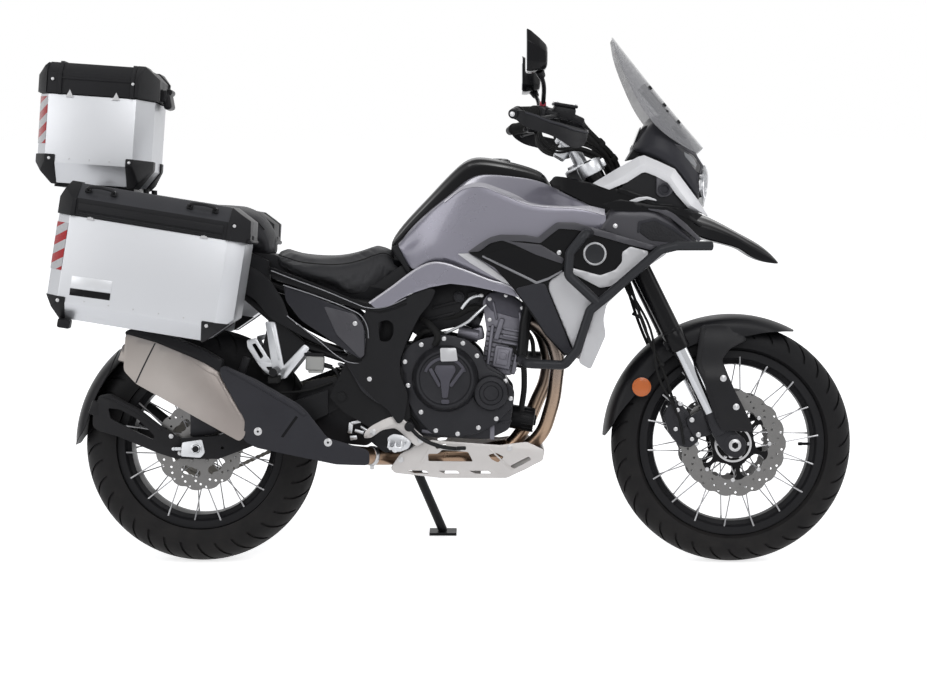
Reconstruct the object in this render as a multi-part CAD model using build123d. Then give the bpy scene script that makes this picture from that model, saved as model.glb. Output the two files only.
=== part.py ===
from build123d import *
import math
import os

os.makedirs("parts", exist_ok=True)

# An adventure motorcycle with a top case and two side cases, parked on its side stand.
# Everything is modelled upright in the bike frame: +X forward, +Y to the rider's left, +Z up,
# with the origin on the ground midway between the axles. park() then leans it onto the stand.

# ---------------------------------------------------------------- driving dimensions (mm, degrees)
WHEELBASE = 1455.0
LEAN = 8.0
RAKE = 26.5
PARK_SHIFT = (47.0, -143.0, 0.73)
CONTACT_GAP = 0.3
RUNNING_GAP = 0.5

FRONT_TYRE_RADIUS = 329.0
FRONT_TYRE_HALF = 55.0
FRONT_BEAD_RADIUS = 241.0
FRONT_BEAD_HALF = 34.0
FRONT_FLANGE_Y = 36.0
REAR_TYRE_RADIUS = 321.0
REAR_TYRE_HALF = 75.0
REAR_BEAD_RADIUS = 216.0
REAR_BEAD_HALF = 54.0
REAR_FLANGE_Y = 52.0
RIM_FLANGE_HEIGHT = 13.0
RIM_FLANGE_WIDTH = 6.0
RIM_DEPTH = 18.0
SPOKE_RADIUS = 1.8
SPOKES_PER_SIDE = 18
HUB_FLANGE_RADIUS = 42.0
HUB_SHOULDER_RADIUS = 36.0
HUB_END_RADIUS = 22.0

DISC_THICKNESS = 5.0
DISC_SLOT_HALF = 7.5
FRONT_DISC_RADIUS = 145.0
FRONT_DISC_Y = 68.0
REAR_DISC_RADIUS = 120.0
REAR_DISC_Y = 90.0

AXLE_RADIUS = 12.0
AXLE_OFFSET = 16.0
CLAMP_OFFSET = 35.0
LEG_HALF_SPACING = 105.0
FORK_LENGTH = 860.0
OUTER_TUBE_RADIUS = 27.0
OUTER_TUBE_START = 300.0
OUTER_BORE_END = 430.0
STANCHION_RADIUS = 20.5
FORK_BOTTOM_END = 98.0
LOWER_CLAMP_AT = 640.0
UPPER_CLAMP_AT = 828.0
CLAMP_HEIGHT = 30.0
CLAMP_EYE_RADIUS = 34.0
STEM_RADIUS = 15.0
HEAD_TUBE_RADIUS = 30.0

BAR_RADIUS = 14.3
GRIP_BAR_RADIUS = 11.0
GRIP_RADIUS = 17.0
BAR_HALF_WIDTH = 430.0
BAR_CENTRE = (280.0, 1158.0)
RISER_Y = 45.0

MAIN_TUBE_RADIUS = 19.0
DOWN_TUBE_RADIUS = 15.0
SUBFRAME_TUBE_RADIUS = 12.0
CRASH_BAR_RADIUS = 12.5
CRASH_BAR_Y = 246.0
RACK_TUBE_RADIUS = 8.0
PLATE_Y = (128.0, 148.0)
CRANKCASE_HALF = PLATE_Y[0] - CONTACT_GAP
CYLINDER_HALF = 98.0

SWINGARM_PIVOT = (-335.0, 462.0)
ARM_Y = (122.0, 150.0)
SPOOL_THREAD_RADIUS = 4.0
FRONT_SPROCKET = (-262.0, 478.0)
FRONT_SPROCKET_RADIUS = 43.0
REAR_SPROCKET_RADIUS = 104.0
CHAIN_Y = 104.0
CHAIN_WIDTH = 18.0
CHAIN_HEIGHT = 15.0
PIPE_Y = 177.0
PIPE_RADIUS = 24.0
HEADER_RADIUS = 19.0
SILENCER_Y = (152.0, 228.0)

FAIRING_Y = (LEG_HALF_SPACING + 45.0, LEG_HALF_SPACING + 65.7)
SHROUD_Y = (FAIRING_Y[1] + CONTACT_GAP, FAIRING_Y[1] + 35.3)
SPAR_END_Y = 138.0
COVER_Y = (SPAR_END_Y + MAIN_TUBE_RADIUS + CONTACT_GAP, SPAR_END_Y + MAIN_TUBE_RADIUS + 13.0)
SCREEN_THICKNESS = 4.0

PANNIER_TILT = 9.2
PANNIER_CENTRE = (-800.0, 800.0)
PANNIER_Y = (235.0, 475.0)
TOP_CASE_TILT = 4.0
TOP_CASE_CENTRE = (-970.0, 1190.0)
TOP_CASE_HALF_WIDTH = 205.0
CASE_WALL = 3.0
SEAM_GAP = 0.9

STAND_PIVOT = (-160.0, 162.0, 275.0)
STAND_FOOT = (-70.0, 285.0)
STAND_AXIS_TILT = 20.0
STAND_LEG_RADIUS = 13.0

# ---------------------------------------------------------------- places that follow from them
AXLE_FRONT = Vector(WHEELBASE / 2, 0, FRONT_TYRE_RADIUS)
AXLE_REAR = Vector(-WHEELBASE / 2, 0, REAR_TYRE_RADIUS)
FORK_UP = Vector(-math.sin(math.radians(RAKE)), 0, math.cos(math.radians(RAKE)))
FORK_AHEAD = Vector(math.cos(math.radians(RAKE)), 0, math.sin(math.radians(RAKE)))
STEER_FOOT = AXLE_FRONT - FORK_AHEAD * (AXLE_OFFSET + CLAMP_OFFSET)


# ---------------------------------------------------------------- helpers
def park(shape):
    """Lean the upright bike onto its stand and put the floor and the box centre at the origin."""
    return Pos(*PARK_SHIFT) * Rot(-LEAN, 0, 0) * shape


def save(node, *shapes):
    """Write one node of one or more separate solids."""
    solids = [solid for shape in shapes for solid in shape.solids()]
    shape = solids[0] if len(solids) == 1 else Compound(children=solids)
    export_step(park(shape), f"parts/{node}.step")
    print(f"{node:20s} {len(solids)} solid(s)")


def slab(outline, y_low, y_high):
    """A plate whose outline is (x, z) points, between two side planes."""
    plane = Plane((0, y_high, 0), x_dir=(1, 0, 0), z_dir=(0, -1, 0))
    return extrude(plane * make_face(Polyline(*outline, close=True)), amount=y_high - y_low)


def column(outline, z_low, z_high):
    """A prism whose outline is (x, y) points, between two heights."""
    return extrude(Pos(0, 0, z_low) * make_face(Polyline(*outline, close=True)), amount=z_high - z_low)


def beam(outline, x_low, x_high):
    """A prism whose outline is (y, z) points, between two stations along the bike."""
    plane = Plane((x_low, 0, 0), x_dir=(0, 1, 0), z_dir=(1, 0, 0))
    return extrude(plane * make_face(Polyline(*outline, close=True)), amount=x_high - x_low)


def symmetric(half):
    """Close an outline of (along, across) points with its mirror image in across = 0."""
    return list(half) + [(along, -across) for along, across in reversed(half) if across]


def mirrored(shape):
    """The same piece on the other side of the bike."""
    return mirror(shape, Plane.XZ)


def both(shape):
    """A piece and its mirror image as two separate solids."""
    return shape, mirrored(shape)


def rod(start, end, radius):
    """A round bar between two points."""
    start, end = Vector(*start), Vector(*end)
    return extrude(Plane(start, z_dir=end - start) * Circle(radius), amount=(end - start).length)


def tube(points, radius, bend):
    """A round bar through (x, y, z) points, with one bend radius."""
    path = FilletPolyline(*points, radius=bend)
    return sweep(Plane(path @ 0, z_dir=path % 0) * Circle(radius), path=path)


def cross_bar(x, z, radius, y_low, y_high):
    """A round bar across the bike."""
    return rod((x, y_low, z), (x, y_high, z), radius)


def lathe(profile, centre):
    """A ring turned about a wheel's axle from (radius, y) points."""
    face = make_face(Polyline(*profile, close=True))
    return Pos(centre.X, 0, centre.Z) * revolve(face, Axis.Y)


def arc_guard(section, start, end, centre):
    """A mudguard: a symmetric (radius, y) section turned from one angle to another above the axle."""
    face = make_face(Polyline(*symmetric(section), close=True))
    guard = revolve(Rot(0, -start, 0) * face, Axis.Y, revolution_arc=start - end)
    return Pos(centre.X, 0, centre.Z) * guard


def on_fork(along, ahead, side=0.0):
    """A point given along the steering axis, ahead of it and to the left of it."""
    point = STEER_FOOT + FORK_UP * along + FORK_AHEAD * ahead
    return Vector(point.X, side, point.Z)


def on_leg(along):
    """A point on the left fork leg's own axis."""
    return on_fork(along, CLAMP_OFFSET, LEG_HALF_SPACING)


def flat(points):
    """Side-view (x, z) pairs of some points."""
    return [(point.X, point.Z) for point in points]


# ---------------------------------------------------------------- wheels
def tyre(radius, half, bead_radius, bead_half, centre):
    """A round-crowned tyre whose beads sit between the rim's flanges."""
    shoulder = radius - half
    flange = bead_radius + RIM_FLANGE_HEIGHT
    crown = ThreePointArc((shoulder, -half), (radius, 0), (shoulder, half))
    walls = Polyline((shoulder, half), (flange + 3, bead_half + 6), (flange, bead_half),
                     (bead_radius, bead_half), (bead_radius, -bead_half), (flange, -bead_half),
                     (flange + 3, -bead_half - 6), (shoulder, -half))
    return Pos(centre.X, 0, centre.Z) * revolve(make_face([crown, walls]), Axis.Y)


def rim(bead_radius, bead_half, centre):
    """A spoked rim: a barrel with a flange on each side."""
    flange = bead_radius + RIM_FLANGE_HEIGHT
    outer = bead_half + RIM_FLANGE_WIDTH
    half = [(flange, bead_half), (flange, outer), (bead_radius - 8, outer),
            (bead_radius - RIM_DEPTH, bead_half - 12)]
    back = [(radius, -y) for radius, y in reversed(half)]
    return lathe(half + back + [(bead_radius, -bead_half), (bead_radius, bead_half)], centre)


def spokes(bead_radius, bead_half, flange_y, centre):
    """Crossed spokes from each hub flange to the same side of the rim."""
    step = 360 / SPOKES_PER_SIDE
    hub_r, rim_r = HUB_FLANGE_RADIUS - 8, bead_radius - 4
    made = []
    for side in (1, -1):
        for number in range(SPOKES_PER_SIDE):
            lead = side if number % 2 else -side
            at_hub = math.radians(number * step + 5)
            at_rim = at_hub + lead * math.radians(2 * step)
            hub_y = side * (flange_y + lead * 5)
            rim_y = side * (bead_half + RIM_FLANGE_WIDTH - 3 + lead * 1.5)
            start = (centre.X + hub_r * math.cos(at_hub), hub_y, centre.Z + hub_r * math.sin(at_hub))
            end = (centre.X + rim_r * math.cos(at_rim), rim_y, centre.Z + rim_r * math.sin(at_rim))
            made.append(rod(start, end, SPOKE_RADIUS))
    return made


def hub(half, flange_y, disc_y, centre):
    """A hub with two spoke flanges, a shoulder for each disc, and a bore for the axle."""
    shoulder = disc_y - DISC_THICKNESS / 2
    left = [(HUB_FLANGE_RADIUS - 15, flange_y - 8), (HUB_FLANGE_RADIUS, flange_y - 8),
            (HUB_FLANGE_RADIUS, flange_y + 8), (HUB_SHOULDER_RADIUS, flange_y + 8),
            (HUB_SHOULDER_RADIUS, shoulder), (HUB_END_RADIUS, shoulder), (HUB_END_RADIUS, half)]
    right = [(radius, -y) for radius, y in reversed(left)]
    bore = AXLE_RADIUS + RUNNING_GAP
    return lathe(left + [(bore, half), (bore, -half)] + right, centre)


def pierced_plate(outer, y_low, y_high, windows, window_at, window_radius, centre):
    """A flat ring on the hub's end with a circle of round windows."""
    inner = HUB_END_RADIUS + CONTACT_GAP
    plate = lathe([(inner, y_low), (outer, y_low), (outer, y_high), (inner, y_high)], centre)
    for number in range(windows):
        angle = math.radians((number + 0.5) * 360 / windows)
        x = centre.X + window_at * math.cos(angle)
        z = centre.Z + window_at * math.sin(angle)
        plate -= cross_bar(x, z, window_radius, y_low - 1, y_high + 1)
    return plate


def brake_disc(radius, y, centre):
    half = DISC_THICKNESS / 2
    return pierced_plate(radius, y - half, y + half, 8, radius - 52, 17, centre)


def disc_slot(radius, y, centre):
    """The room that a caliper leaves for its disc."""
    low, high, reach = y - DISC_SLOT_HALF, y + DISC_SLOT_HALF, radius + 5
    return lathe([(0.1, low), (reach, low), (reach, high), (0.1, high)], centre)


front_hub_half = LEG_HALF_SPACING - OUTER_TUBE_RADIUS - 2
front_wheel = (FRONT_BEAD_RADIUS, FRONT_BEAD_HALF)
save("front_tyre", tyre(FRONT_TYRE_RADIUS, FRONT_TYRE_HALF, *front_wheel, AXLE_FRONT))
save("front_rim", rim(*front_wheel, AXLE_FRONT))
save("front_spokes", *spokes(*front_wheel, FRONT_FLANGE_Y, AXLE_FRONT))
save("front_hub", hub(front_hub_half, FRONT_FLANGE_Y, FRONT_DISC_Y, AXLE_FRONT))
save("front_discs", *both(brake_disc(FRONT_DISC_RADIUS, FRONT_DISC_Y, AXLE_FRONT)))

rear_hub_half = ARM_Y[0] - 2
rear_wheel = (REAR_BEAD_RADIUS, REAR_BEAD_HALF)
save("rear_tyre", tyre(REAR_TYRE_RADIUS, REAR_TYRE_HALF, *rear_wheel, AXLE_REAR))
save("rear_rim", rim(*rear_wheel, AXLE_REAR))
save("rear_spokes", *spokes(*rear_wheel, REAR_FLANGE_Y, AXLE_REAR))
save("rear_hub", hub(rear_hub_half, REAR_FLANGE_Y, REAR_DISC_Y, AXLE_REAR))
save("rear_disc", brake_disc(REAR_DISC_RADIUS, -REAR_DISC_Y, AXLE_REAR))
sprocket_low = CHAIN_Y - 4
rear_sprocket = pierced_plate(REAR_SPROCKET_RADIUS, sprocket_low, sprocket_low + 8, 6, 72, 18, AXLE_REAR)
carrier_low = REAR_DISC_Y - DISC_THICKNESS / 2
rear_sprocket += lathe([(HUB_END_RADIUS + CONTACT_GAP, carrier_low), (44, carrier_low),
                        (44, sprocket_low + 1), (HUB_END_RADIUS + CONTACT_GAP, sprocket_low + 1)], AXLE_REAR)
save("rear_sprocket", rear_sprocket)

# ---------------------------------------------------------------- fork
outer_tube = rod(on_leg(OUTER_TUBE_START), on_leg(FORK_LENGTH), OUTER_TUBE_RADIUS)
outer_tube -= rod(on_leg(OUTER_TUBE_START - 1), on_leg(OUTER_BORE_END), STANCHION_RADIUS + RUNNING_GAP)
save("fork_outer_tubes", *both(outer_tube))

LUG_Y = (94.3, 106.0)
slider = rod(on_leg(-8), on_leg(FORK_BOTTOM_END), OUTER_TUBE_RADIUS)
slider += rod(on_leg(FORK_BOTTOM_END - 20), on_leg(OUTER_BORE_END - 10), STANCHION_RADIUS)
slider += cross_bar(AXLE_FRONT.X, AXLE_FRONT.Z, 26, LEG_HALF_SPACING - 24, LEG_HALF_SPACING + 23)
lug_outline = flat([on_fork(58, 20), on_fork(58, -37), on_fork(118, -37), on_fork(118, 20)])
slider += slab(lug_outline, *LUG_Y)
axle_half = LEG_HALF_SPACING + 26
front_axle = cross_bar(AXLE_FRONT.X, AXLE_FRONT.Z, AXLE_RADIUS, -axle_half, axle_half)
sliders = slider + mirrored(slider) + front_axle
save("fork_sliders", sliders)


def clamp(along):
    """A fork clamp: one plate round both legs and the stem."""
    plane = Plane(on_fork(along, 0), x_dir=FORK_AHEAD, z_dir=FORK_UP)
    waist = symmetric([(-28, 24), (0, 84), (CLAMP_OFFSET + 26, 84), (CLAMP_OFFSET - 2, 24)])
    plate = extrude(plane * make_face(Polyline(*waist, close=True)), amount=CLAMP_HEIGHT)
    for side in (1, -1):
        low = on_fork(along, CLAMP_OFFSET, side * LEG_HALF_SPACING)
        high = on_fork(along + CLAMP_HEIGHT, CLAMP_OFFSET, side * LEG_HALF_SPACING)
        plate += rod(low, high, CLAMP_EYE_RADIUS)
        plate -= rod(low - FORK_UP, high + FORK_UP, OUTER_TUBE_RADIUS)
    return plate


stem = rod(on_fork(LOWER_CLAMP_AT + 1, 0), on_fork(UPPER_CLAMP_AT + 1, 0), STEM_RADIUS)
clamps = clamp(LOWER_CLAMP_AT) + clamp(UPPER_CLAMP_AT) + stem
save("triple_clamps", clamps)

# ---------------------------------------------------------------- front mudguard, calipers, hoses
fork_guard_y = LEG_HALF_SPACING + OUTER_TUBE_RADIUS + 2
guard_radius = FRONT_TYRE_RADIUS + 13
guard_section = [(guard_radius, 0), (guard_radius - 3, 34), (guard_radius - 14, 58),
                 (guard_radius - 34, 66), (guard_radius - 34, 70), (guard_radius - 12, 63),
                 (guard_radius + 1, 37), (guard_radius + 4, 0)]
mudguard = arc_guard(guard_section, 62, 171, AXLE_FRONT)
fork_guard_outline = [(613, 600), (621, 654), (650, 688), (700, 676), (700, 610), (684, 572),
                      (720, 479), (766, 377), (748, 362), (668, 372), (663, 452), (644, 528)]
web_outline = [(630, 628), (655, 668), (698, 672), (698, 622), (672, 606)]
wing = slab(fork_guard_outline, fork_guard_y, fork_guard_y + 4)
wing += slab(web_outline, 62, fork_guard_y + 1)
boss = on_leg(70)
wing += cross_bar(boss.X, boss.Z, 9, fork_guard_y - 2 + CONTACT_GAP, fork_guard_y + 1)
save("front_mudguard", mudguard + wing + mirrored(wing))

caliper_place = on_fork(105, CLAMP_OFFSET - 78)
caliper = fillet(Box(64, 42, 116).edges().filter_by(Axis.Y), 14)
caliper_y = LUG_Y[0] - CONTACT_GAP - 21
caliper = Pos(caliper_place.X, caliper_y, caliper_place.Z) * Rot(0, -RAKE, 0) * caliper
caliper -= disc_slot(FRONT_DISC_RADIUS, FRONT_DISC_Y, AXLE_FRONT)
save("front_calipers", *both(caliper))

hose_start = on_fork(105 + 58 + CONTACT_GAP, CLAMP_OFFSET - 78, 84)
hose_end = on_fork(LOWER_CLAMP_AT - CONTACT_GAP, 12, 72)
hose = tube([tuple(hose_start), (535, 94, 520), (470, 98, 660), (425, 88, 780), tuple(hose_end)], 4, 60)
save("brake_hoses", *both(hose - clamps - caliper))

# ---------------------------------------------------------------- handlebar
# Handlebar line, middle to left end: (x, y, z)
bar_x, bar_z = BAR_CENTRE
bar_line = [(bar_x, 0, bar_z), (bar_x, 78, bar_z), (bar_x - 22, 165, bar_z + 50),
            (bar_x - 66, 250, bar_z + 62), (bar_x - 146, BAR_HALF_WIDTH, bar_z + 50)]
grip_start, grip_end = Vector(*bar_line[3]), Vector(*bar_line[4])
grip_way = (grip_end - grip_start).normalized()


def on_grip(distance):
    """A point on the left grip's line, from the last bend outwards."""
    return grip_start + grip_way * distance


grip_length = (grip_end - grip_start).length
left_line = bar_line[1:4] + [tuple(on_grip(40))]
right_line = [(x, -y, z) for x, y, z in reversed(left_line)]
bar = tube(right_line + left_line, BAR_RADIUS, 45)
bar_side = rod(on_grip(38), on_grip(grip_length + 16), GRIP_BAR_RADIUS)
bar_side += rod(on_grip(80), on_grip(grip_length), GRIP_RADIUS)
riser_foot = on_fork(UPPER_CLAMP_AT + CLAMP_HEIGHT - 2, 18, RISER_Y)
bar_side += rod(riser_foot, (bar_x, RISER_Y, bar_z), 15)
bar_side += cross_bar(bar_x, bar_z, 23, RISER_Y - 16, RISER_Y + 16)
handlebar = bar + bar_side + mirrored(bar_side) - clamps
save("handlebar", handlebar)

perch_at = on_grip(58)
perch = rod(on_grip(46), on_grip(70), 20)
perch += rod(perch_at, perch_at + Vector(50, 2, -8), 9)
lever_line = [tuple(perch_at + Vector(46, -4, -7)), tuple(perch_at + Vector(40, 60, -12)),
              tuple(perch_at + Vector(0, 150, -20))]
perch += tube(lever_line, 6, 30)
perch -= rod(on_grip(30), on_grip(90), GRIP_BAR_RADIUS)
save("levers", *both(perch))

# Hand guard band in plan: (forward of the bar end, y)
guard_band = [(-8, 450), (30, 466), (112, 448), (176, 372), (184, 292), (150, 236), (102, 212)]
GUARD_SLOPE = 17.5
guard_plane = Plane((grip_end.X, 0, grip_end.Z - 30), x_dir=(1, 0, -math.tan(math.radians(GUARD_SLOPE))),
                    z_dir=(math.sin(math.radians(GUARD_SLOPE)), 0, math.cos(math.radians(GUARD_SLOPE))))
guard = extrude(guard_plane * trace(FilletPolyline(*guard_band, radius=22), 8), amount=46)
inner_clamp = Vector(bar_x - 43, 205, bar_z + 56)
bar_slope = (Vector(*bar_line[3]) - Vector(*bar_line[2])).normalized()
guard += rod(inner_clamp - bar_slope * 11, inner_clamp + bar_slope * 11, 20)
guard += rod(inner_clamp, inner_clamp + Vector(0, 6, -44), 7)
guard += rod(on_grip(grip_length + 4), on_grip(grip_length + 24), 13)
guard -= handlebar
save("hand_guards", *both(guard))

mirror_clamp = rod(on_grip(14), on_grip(34), 19)
mirror_root = on_grip(24) + Vector(-14, 0, 8)
mirror_stalk = tube([tuple(mirror_root), tuple(mirror_root + Vector(-12, 16, 40)), (168, 425, 1298),
                     (170, 427, 1330)], 6, 16)
shell_side = [(156, 1290), (198, 1308), (206, 1365), (166, 1420), (156, 1416)]
shell_front = [(345, 1318), (362, 1292), (478, 1288), (502, 1318), (505, 1385), (482, 1422),
               (372, 1416), (346, 1390)]
mirror_shell = slab(shell_side, 340, 510) & beam(shell_front, 100, 300)
save("mirrors", *both(mirror_stalk + mirror_shell + mirror_clamp - handlebar))

# ---------------------------------------------------------------- frame
head_low, head_high = on_fork(LOWER_CLAMP_AT + CLAMP_HEIGHT + 6, 0), on_fork(UPPER_CLAMP_AT - 6, 0)
frame = rod(head_low, head_high, HEAD_TUBE_RADIUS)
spar = tube([(340, 24, 985), (200, 105, 850), (-130, 128, 780), (-235, SPAR_END_Y, 700),
             (-262, SPAR_END_Y, 560)],
            MAIN_TUBE_RADIUS, 45)
down_tube = tube([(366, 20, 934), (190, 112, 800), (160, 116, 660), (150, 116, 552)], DOWN_TUBE_RADIUS, 40)
plate_outline = [(-330, 540), (-318, 575), (-215, 590), (-160, 525), (-150, 405), (-182, 372),
                 (-205, 330), (-240, 330), (-262, 380), (-330, 420), (-368, 462)]
side_frame = spar + down_tube + slab(plate_outline, *PLATE_Y) + cross_bar(150, 562, 12, 100, PLATE_Y[1])
frame += side_frame + mirrored(side_frame)
frame += slab([(-240, 400), (-180, 400), (-138, 300), (-138, 262), (-175, 255), (-205, 290)], 130, 146)
# Cross tubes: x, z, radius, half length
for x, z, radius, half in ((-228, 352, 12, 140), (-246, 700, 14, 138), (150, 562, 10, 112)):
    frame += cross_bar(x, z, radius, -half, half)
pivot_x, pivot_z = SWINGARM_PIVOT
stay_root, stay_end = on_fork(750, 20), on_fork(750, 176)
stay_half = FAIRING_Y[0] - CONTACT_GAP
stay = rod(stay_root, stay_end, 14) + cross_bar(stay_end.X, stay_end.Z, 12, -stay_half, stay_half)
frame += stay
frame -= rod(on_fork(LOWER_CLAMP_AT, 0), on_fork(UPPER_CLAMP_AT + 40, 0), STEM_RADIUS + RUNNING_GAP)
frame += cross_bar(pivot_x, pivot_z, 12, -158, 158)
save("main_frame", frame)

upper_rail = tube([(-240, 112, 706), (-480, 112, 745), (-640, 100, 795), (-930, 88, 890)],
                  SUBFRAME_TUBE_RADIUS, 60)
lower_rail = tube([(-300, 136, 556), (-440, 120, 600), (-610, 112, 745), (-655, 101, 799)],
                  SUBFRAME_TUBE_RADIUS, 50)
peg_plate = slab([(-529, 685), (-436, 606), (-500, 520), (-545, 520), (-560, 545)], 124, 136)
passenger_peg = peg_plate + cross_bar(-511, 532, 11, 130, 250)
subframe_side = upper_rail + lower_rail + passenger_peg
subframe = subframe_side + mirrored(subframe_side)
for x, z, half in ((-330, 720, 112), (-640, 795, 100), (-880, 873, 90)):
    subframe += cross_bar(x, z, 9, -half, half)
subframe -= frame
save("subframe", subframe)

# ---------------------------------------------------------------- engine
block = slab([(-172, 600), (-165, 400), (-118, 352), (60, 344), (118, 372), (128, 450), (98, 520),
              (38, 540), (-66, 612)], -CRANKCASE_HALF, CRANKCASE_HALF)
block += slab([(38, 540), (98, 520), (104, 515), (132, 588), (158, 690), (152, 748), (40, 742),
               (52, 640)], -CYLINDER_HALF, CYLINDER_HALF)
block += slab([(-172, 600), (-240, 530), (-285, 505), (-290, 450), (-250, 405), (-165, 400)], -88, 88)
gear_x, gear_z = FRONT_SPROCKET
block += cross_bar(gear_x, gear_z, 14, 80, CHAIN_Y)
block += cross_bar(gear_x, gear_z, FRONT_SPROCKET_RADIUS - 0.4, CHAIN_Y - 4, CHAIN_Y + 4)
block -= frame
save("engine_block", block)

# Engine covers: side, x, z, radius, inner and outer distance from the middle
ENGINE_COVERS = [(-1, -55, 508, 88, CRANKCASE_HALF, 182), (-1, -55, 508, 62, 182, 202),
                 (-1, 66, 462, 46, CRANKCASE_HALF, 176), (1, -40, 500, 84, CRANKCASE_HALF, 176),
                 (1, 66, 462, 40, CRANKCASE_HALF, 160)]
covers = {}
for side, x, z, radius, inner, outer in ENGINE_COVERS:
    cover = cross_bar(x, z, radius, *sorted((side * inner, side * outer)))
    covers[side] = cover if side not in covers else covers[side] + cover
save("engine_covers", covers[1], covers[-1])

radiator = slab([(262, 792), (300, 792), (312, 600), (274, 600)], -138, 138)
radiator_lug = slab([(165, 696), (268, 696), (268, 712), (165, 712)], 112, 119)
save("radiator", radiator + radiator_lug + mirrored(radiator_lug) - frame)

# ---------------------------------------------------------------- exhaust
exhaust = tube([(150, 20, 296), (40, -20, 296), (-150, -40, 294), (-250, -110, 298), (-320, -PIPE_Y, 308),
                (-420, -PIPE_Y, 332), (-520, -PIPE_Y - 4, 362), (-606, -PIPE_Y - 12, 388)], PIPE_RADIUS, 45)
for side in (1, -1):
    header = [(128, 60, 676), (205, 60, 640), (252, 52, 560), (240, 46, 440), (178, 40, 348), (60, 14, 296)]
    exhaust += tube([(x, side * y, z) for x, y, z in header], HEADER_RADIUS, 32)
exhaust -= block
save("exhaust_pipes", exhaust)

silencer_side = [(-908, 640), (-915, 530), (-889, 504), (-720, 405), (-603, 344), (-586, 364),
                 (-584, 408), (-651, 531), (-710, 568), (-817, 616)]
silencer = slab(silencer_side, -SILENCER_Y[1], -SILENCER_Y[0]) - exhaust
save("silencer", silencer)
shield_side = [(-649, 550), (-649, 532), (-584, 409), (-598, 351), (-561, 332), (-348, 289),
               (-265, 284), (-265, 319), (-361, 351), (-415, 404), (-468, 457), (-628, 556)]
shield_low = SILENCER_Y[1] + CONTACT_GAP
shield = slab(shield_side, -shield_low - 5, -shield_low)
for x, z in ((-330, 311), (-500, 356)):
    shield += cross_bar(x, z, 10, -shield_low - 1, -PIPE_Y - 10)
save("heat_shield", shield - exhaust)

# ---------------------------------------------------------------- swingarm, shock and chain
arm_side = [(AXLE_REAR.X - 42, AXLE_REAR.Z - 28), (AXLE_REAR.X - 42, AXLE_REAR.Z + 28),
            (AXLE_REAR.X + 60, AXLE_REAR.Z + 34), (-470, 447), (pivot_x - 12, pivot_z + 27),
            (pivot_x + 20, pivot_z + 16), (pivot_x + 20, pivot_z - 20), (-460, 372),
            (AXLE_REAR.X + 60, AXLE_REAR.Z - 28)]
spool_x, spool_z = AXLE_REAR.X + 70, AXLE_REAR.Z + 2
arm = slab(arm_side, *ARM_Y)
arm -= slab([(-372, 300), (-372, 600), (-100, 600), (-100, 300)], PLATE_Y[0] - RUNNING_GAP, 200)
arm -= cross_bar(spool_x, spool_z, SPOOL_THREAD_RADIUS, ARM_Y[1] - 20, ARM_Y[1] + 1)
brace = slab([(-398, 408), (-398, 462), (-352, 478), (-336, 470), (-336, 440)], -ARM_Y[0], ARM_Y[0])
swingarm = arm + mirrored(arm) + brace + cross_bar(pivot_x, pivot_z, 24, -ARM_Y[0], ARM_Y[0])
swingarm += cross_bar(AXLE_REAR.X, AXLE_REAR.Z, AXLE_RADIUS, -162, 162)
swingarm -= cross_bar(pivot_x, pivot_z, 12 + CONTACT_GAP, -200, 200)
save("swingarm", swingarm)

shock = rod((-349, 0, 486), (-250, 0, 693), 15) + rod((-334, 0, 516), (-270, 0, 652), 32)
save("shock_absorber", shock - swingarm - frame)


def chain_loop(front_radius, rear_radius, y_low, y_high):
    """The area inside an open belt round both sprockets."""
    way = Vector(AXLE_REAR.X - gear_x, 0, AXLE_REAR.Z - gear_z)
    slope = math.asin((rear_radius - front_radius) / way.length)
    sine, cosine = math.sin(slope), math.cos(slope)
    front_up = (-front_radius * sine, front_radius * cosine)
    rear_up = (way.length - rear_radius * sine, rear_radius * cosine)
    front_low, rear_low = (front_up[0], -front_up[1]), (rear_up[0], -rear_up[1])
    edges = [Line(front_up, rear_up), ThreePointArc(rear_up, (way.length + rear_radius, 0), rear_low),
             Line(rear_low, front_low), ThreePointArc(front_low, (-front_radius, 0), front_up)]
    plane = Plane((gear_x, y_high, gear_z), x_dir=way, z_dir=(0, -1, 0))
    return extrude(plane * make_face(edges), amount=y_high - y_low)


chain_low, chain_high = CHAIN_Y - CHAIN_WIDTH / 2, CHAIN_Y + CHAIN_WIDTH / 2
chain_bore = REAR_SPROCKET_RADIUS + RUNNING_GAP
chain = chain_loop(FRONT_SPROCKET_RADIUS + CHAIN_HEIGHT, chain_bore + CHAIN_HEIGHT, chain_low, chain_high)
chain -= chain_loop(FRONT_SPROCKET_RADIUS, chain_bore, chain_low - 1, chain_high + 1)
save("drive_chain", chain)

rear_caliper = Pos(AXLE_REAR.X + 20, -REAR_DISC_Y, AXLE_REAR.Z + 112) * Box(96, 44, 54)
rear_caliper -= disc_slot(REAR_DISC_RADIUS, -REAR_DISC_Y, AXLE_REAR)
rear_caliper += slab([(AXLE_REAR.X - 20, AXLE_REAR.Z + 29), (AXLE_REAR.X - 20, AXLE_REAR.Z + 110),
                      (AXLE_REAR.X + 55, AXLE_REAR.Z + 110), (AXLE_REAR.X + 55, AXLE_REAR.Z + 33)],
                     CONTACT_GAP - ARM_Y[0], -104)
save("rear_caliper", rear_caliper)

hugger_radius = REAR_TYRE_RADIUS + 14
hugger_section = [(hugger_radius, 0), (hugger_radius - 6, 50), (hugger_radius - 24, 84),
                  (hugger_radius - 22, 89), (hugger_radius - 3, 54), (hugger_radius + 4, 0)]
hugger = arc_guard(hugger_section, 130, 181, AXLE_REAR)
strut_y = ARM_Y[1] + 8 + CONTACT_GAP
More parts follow.
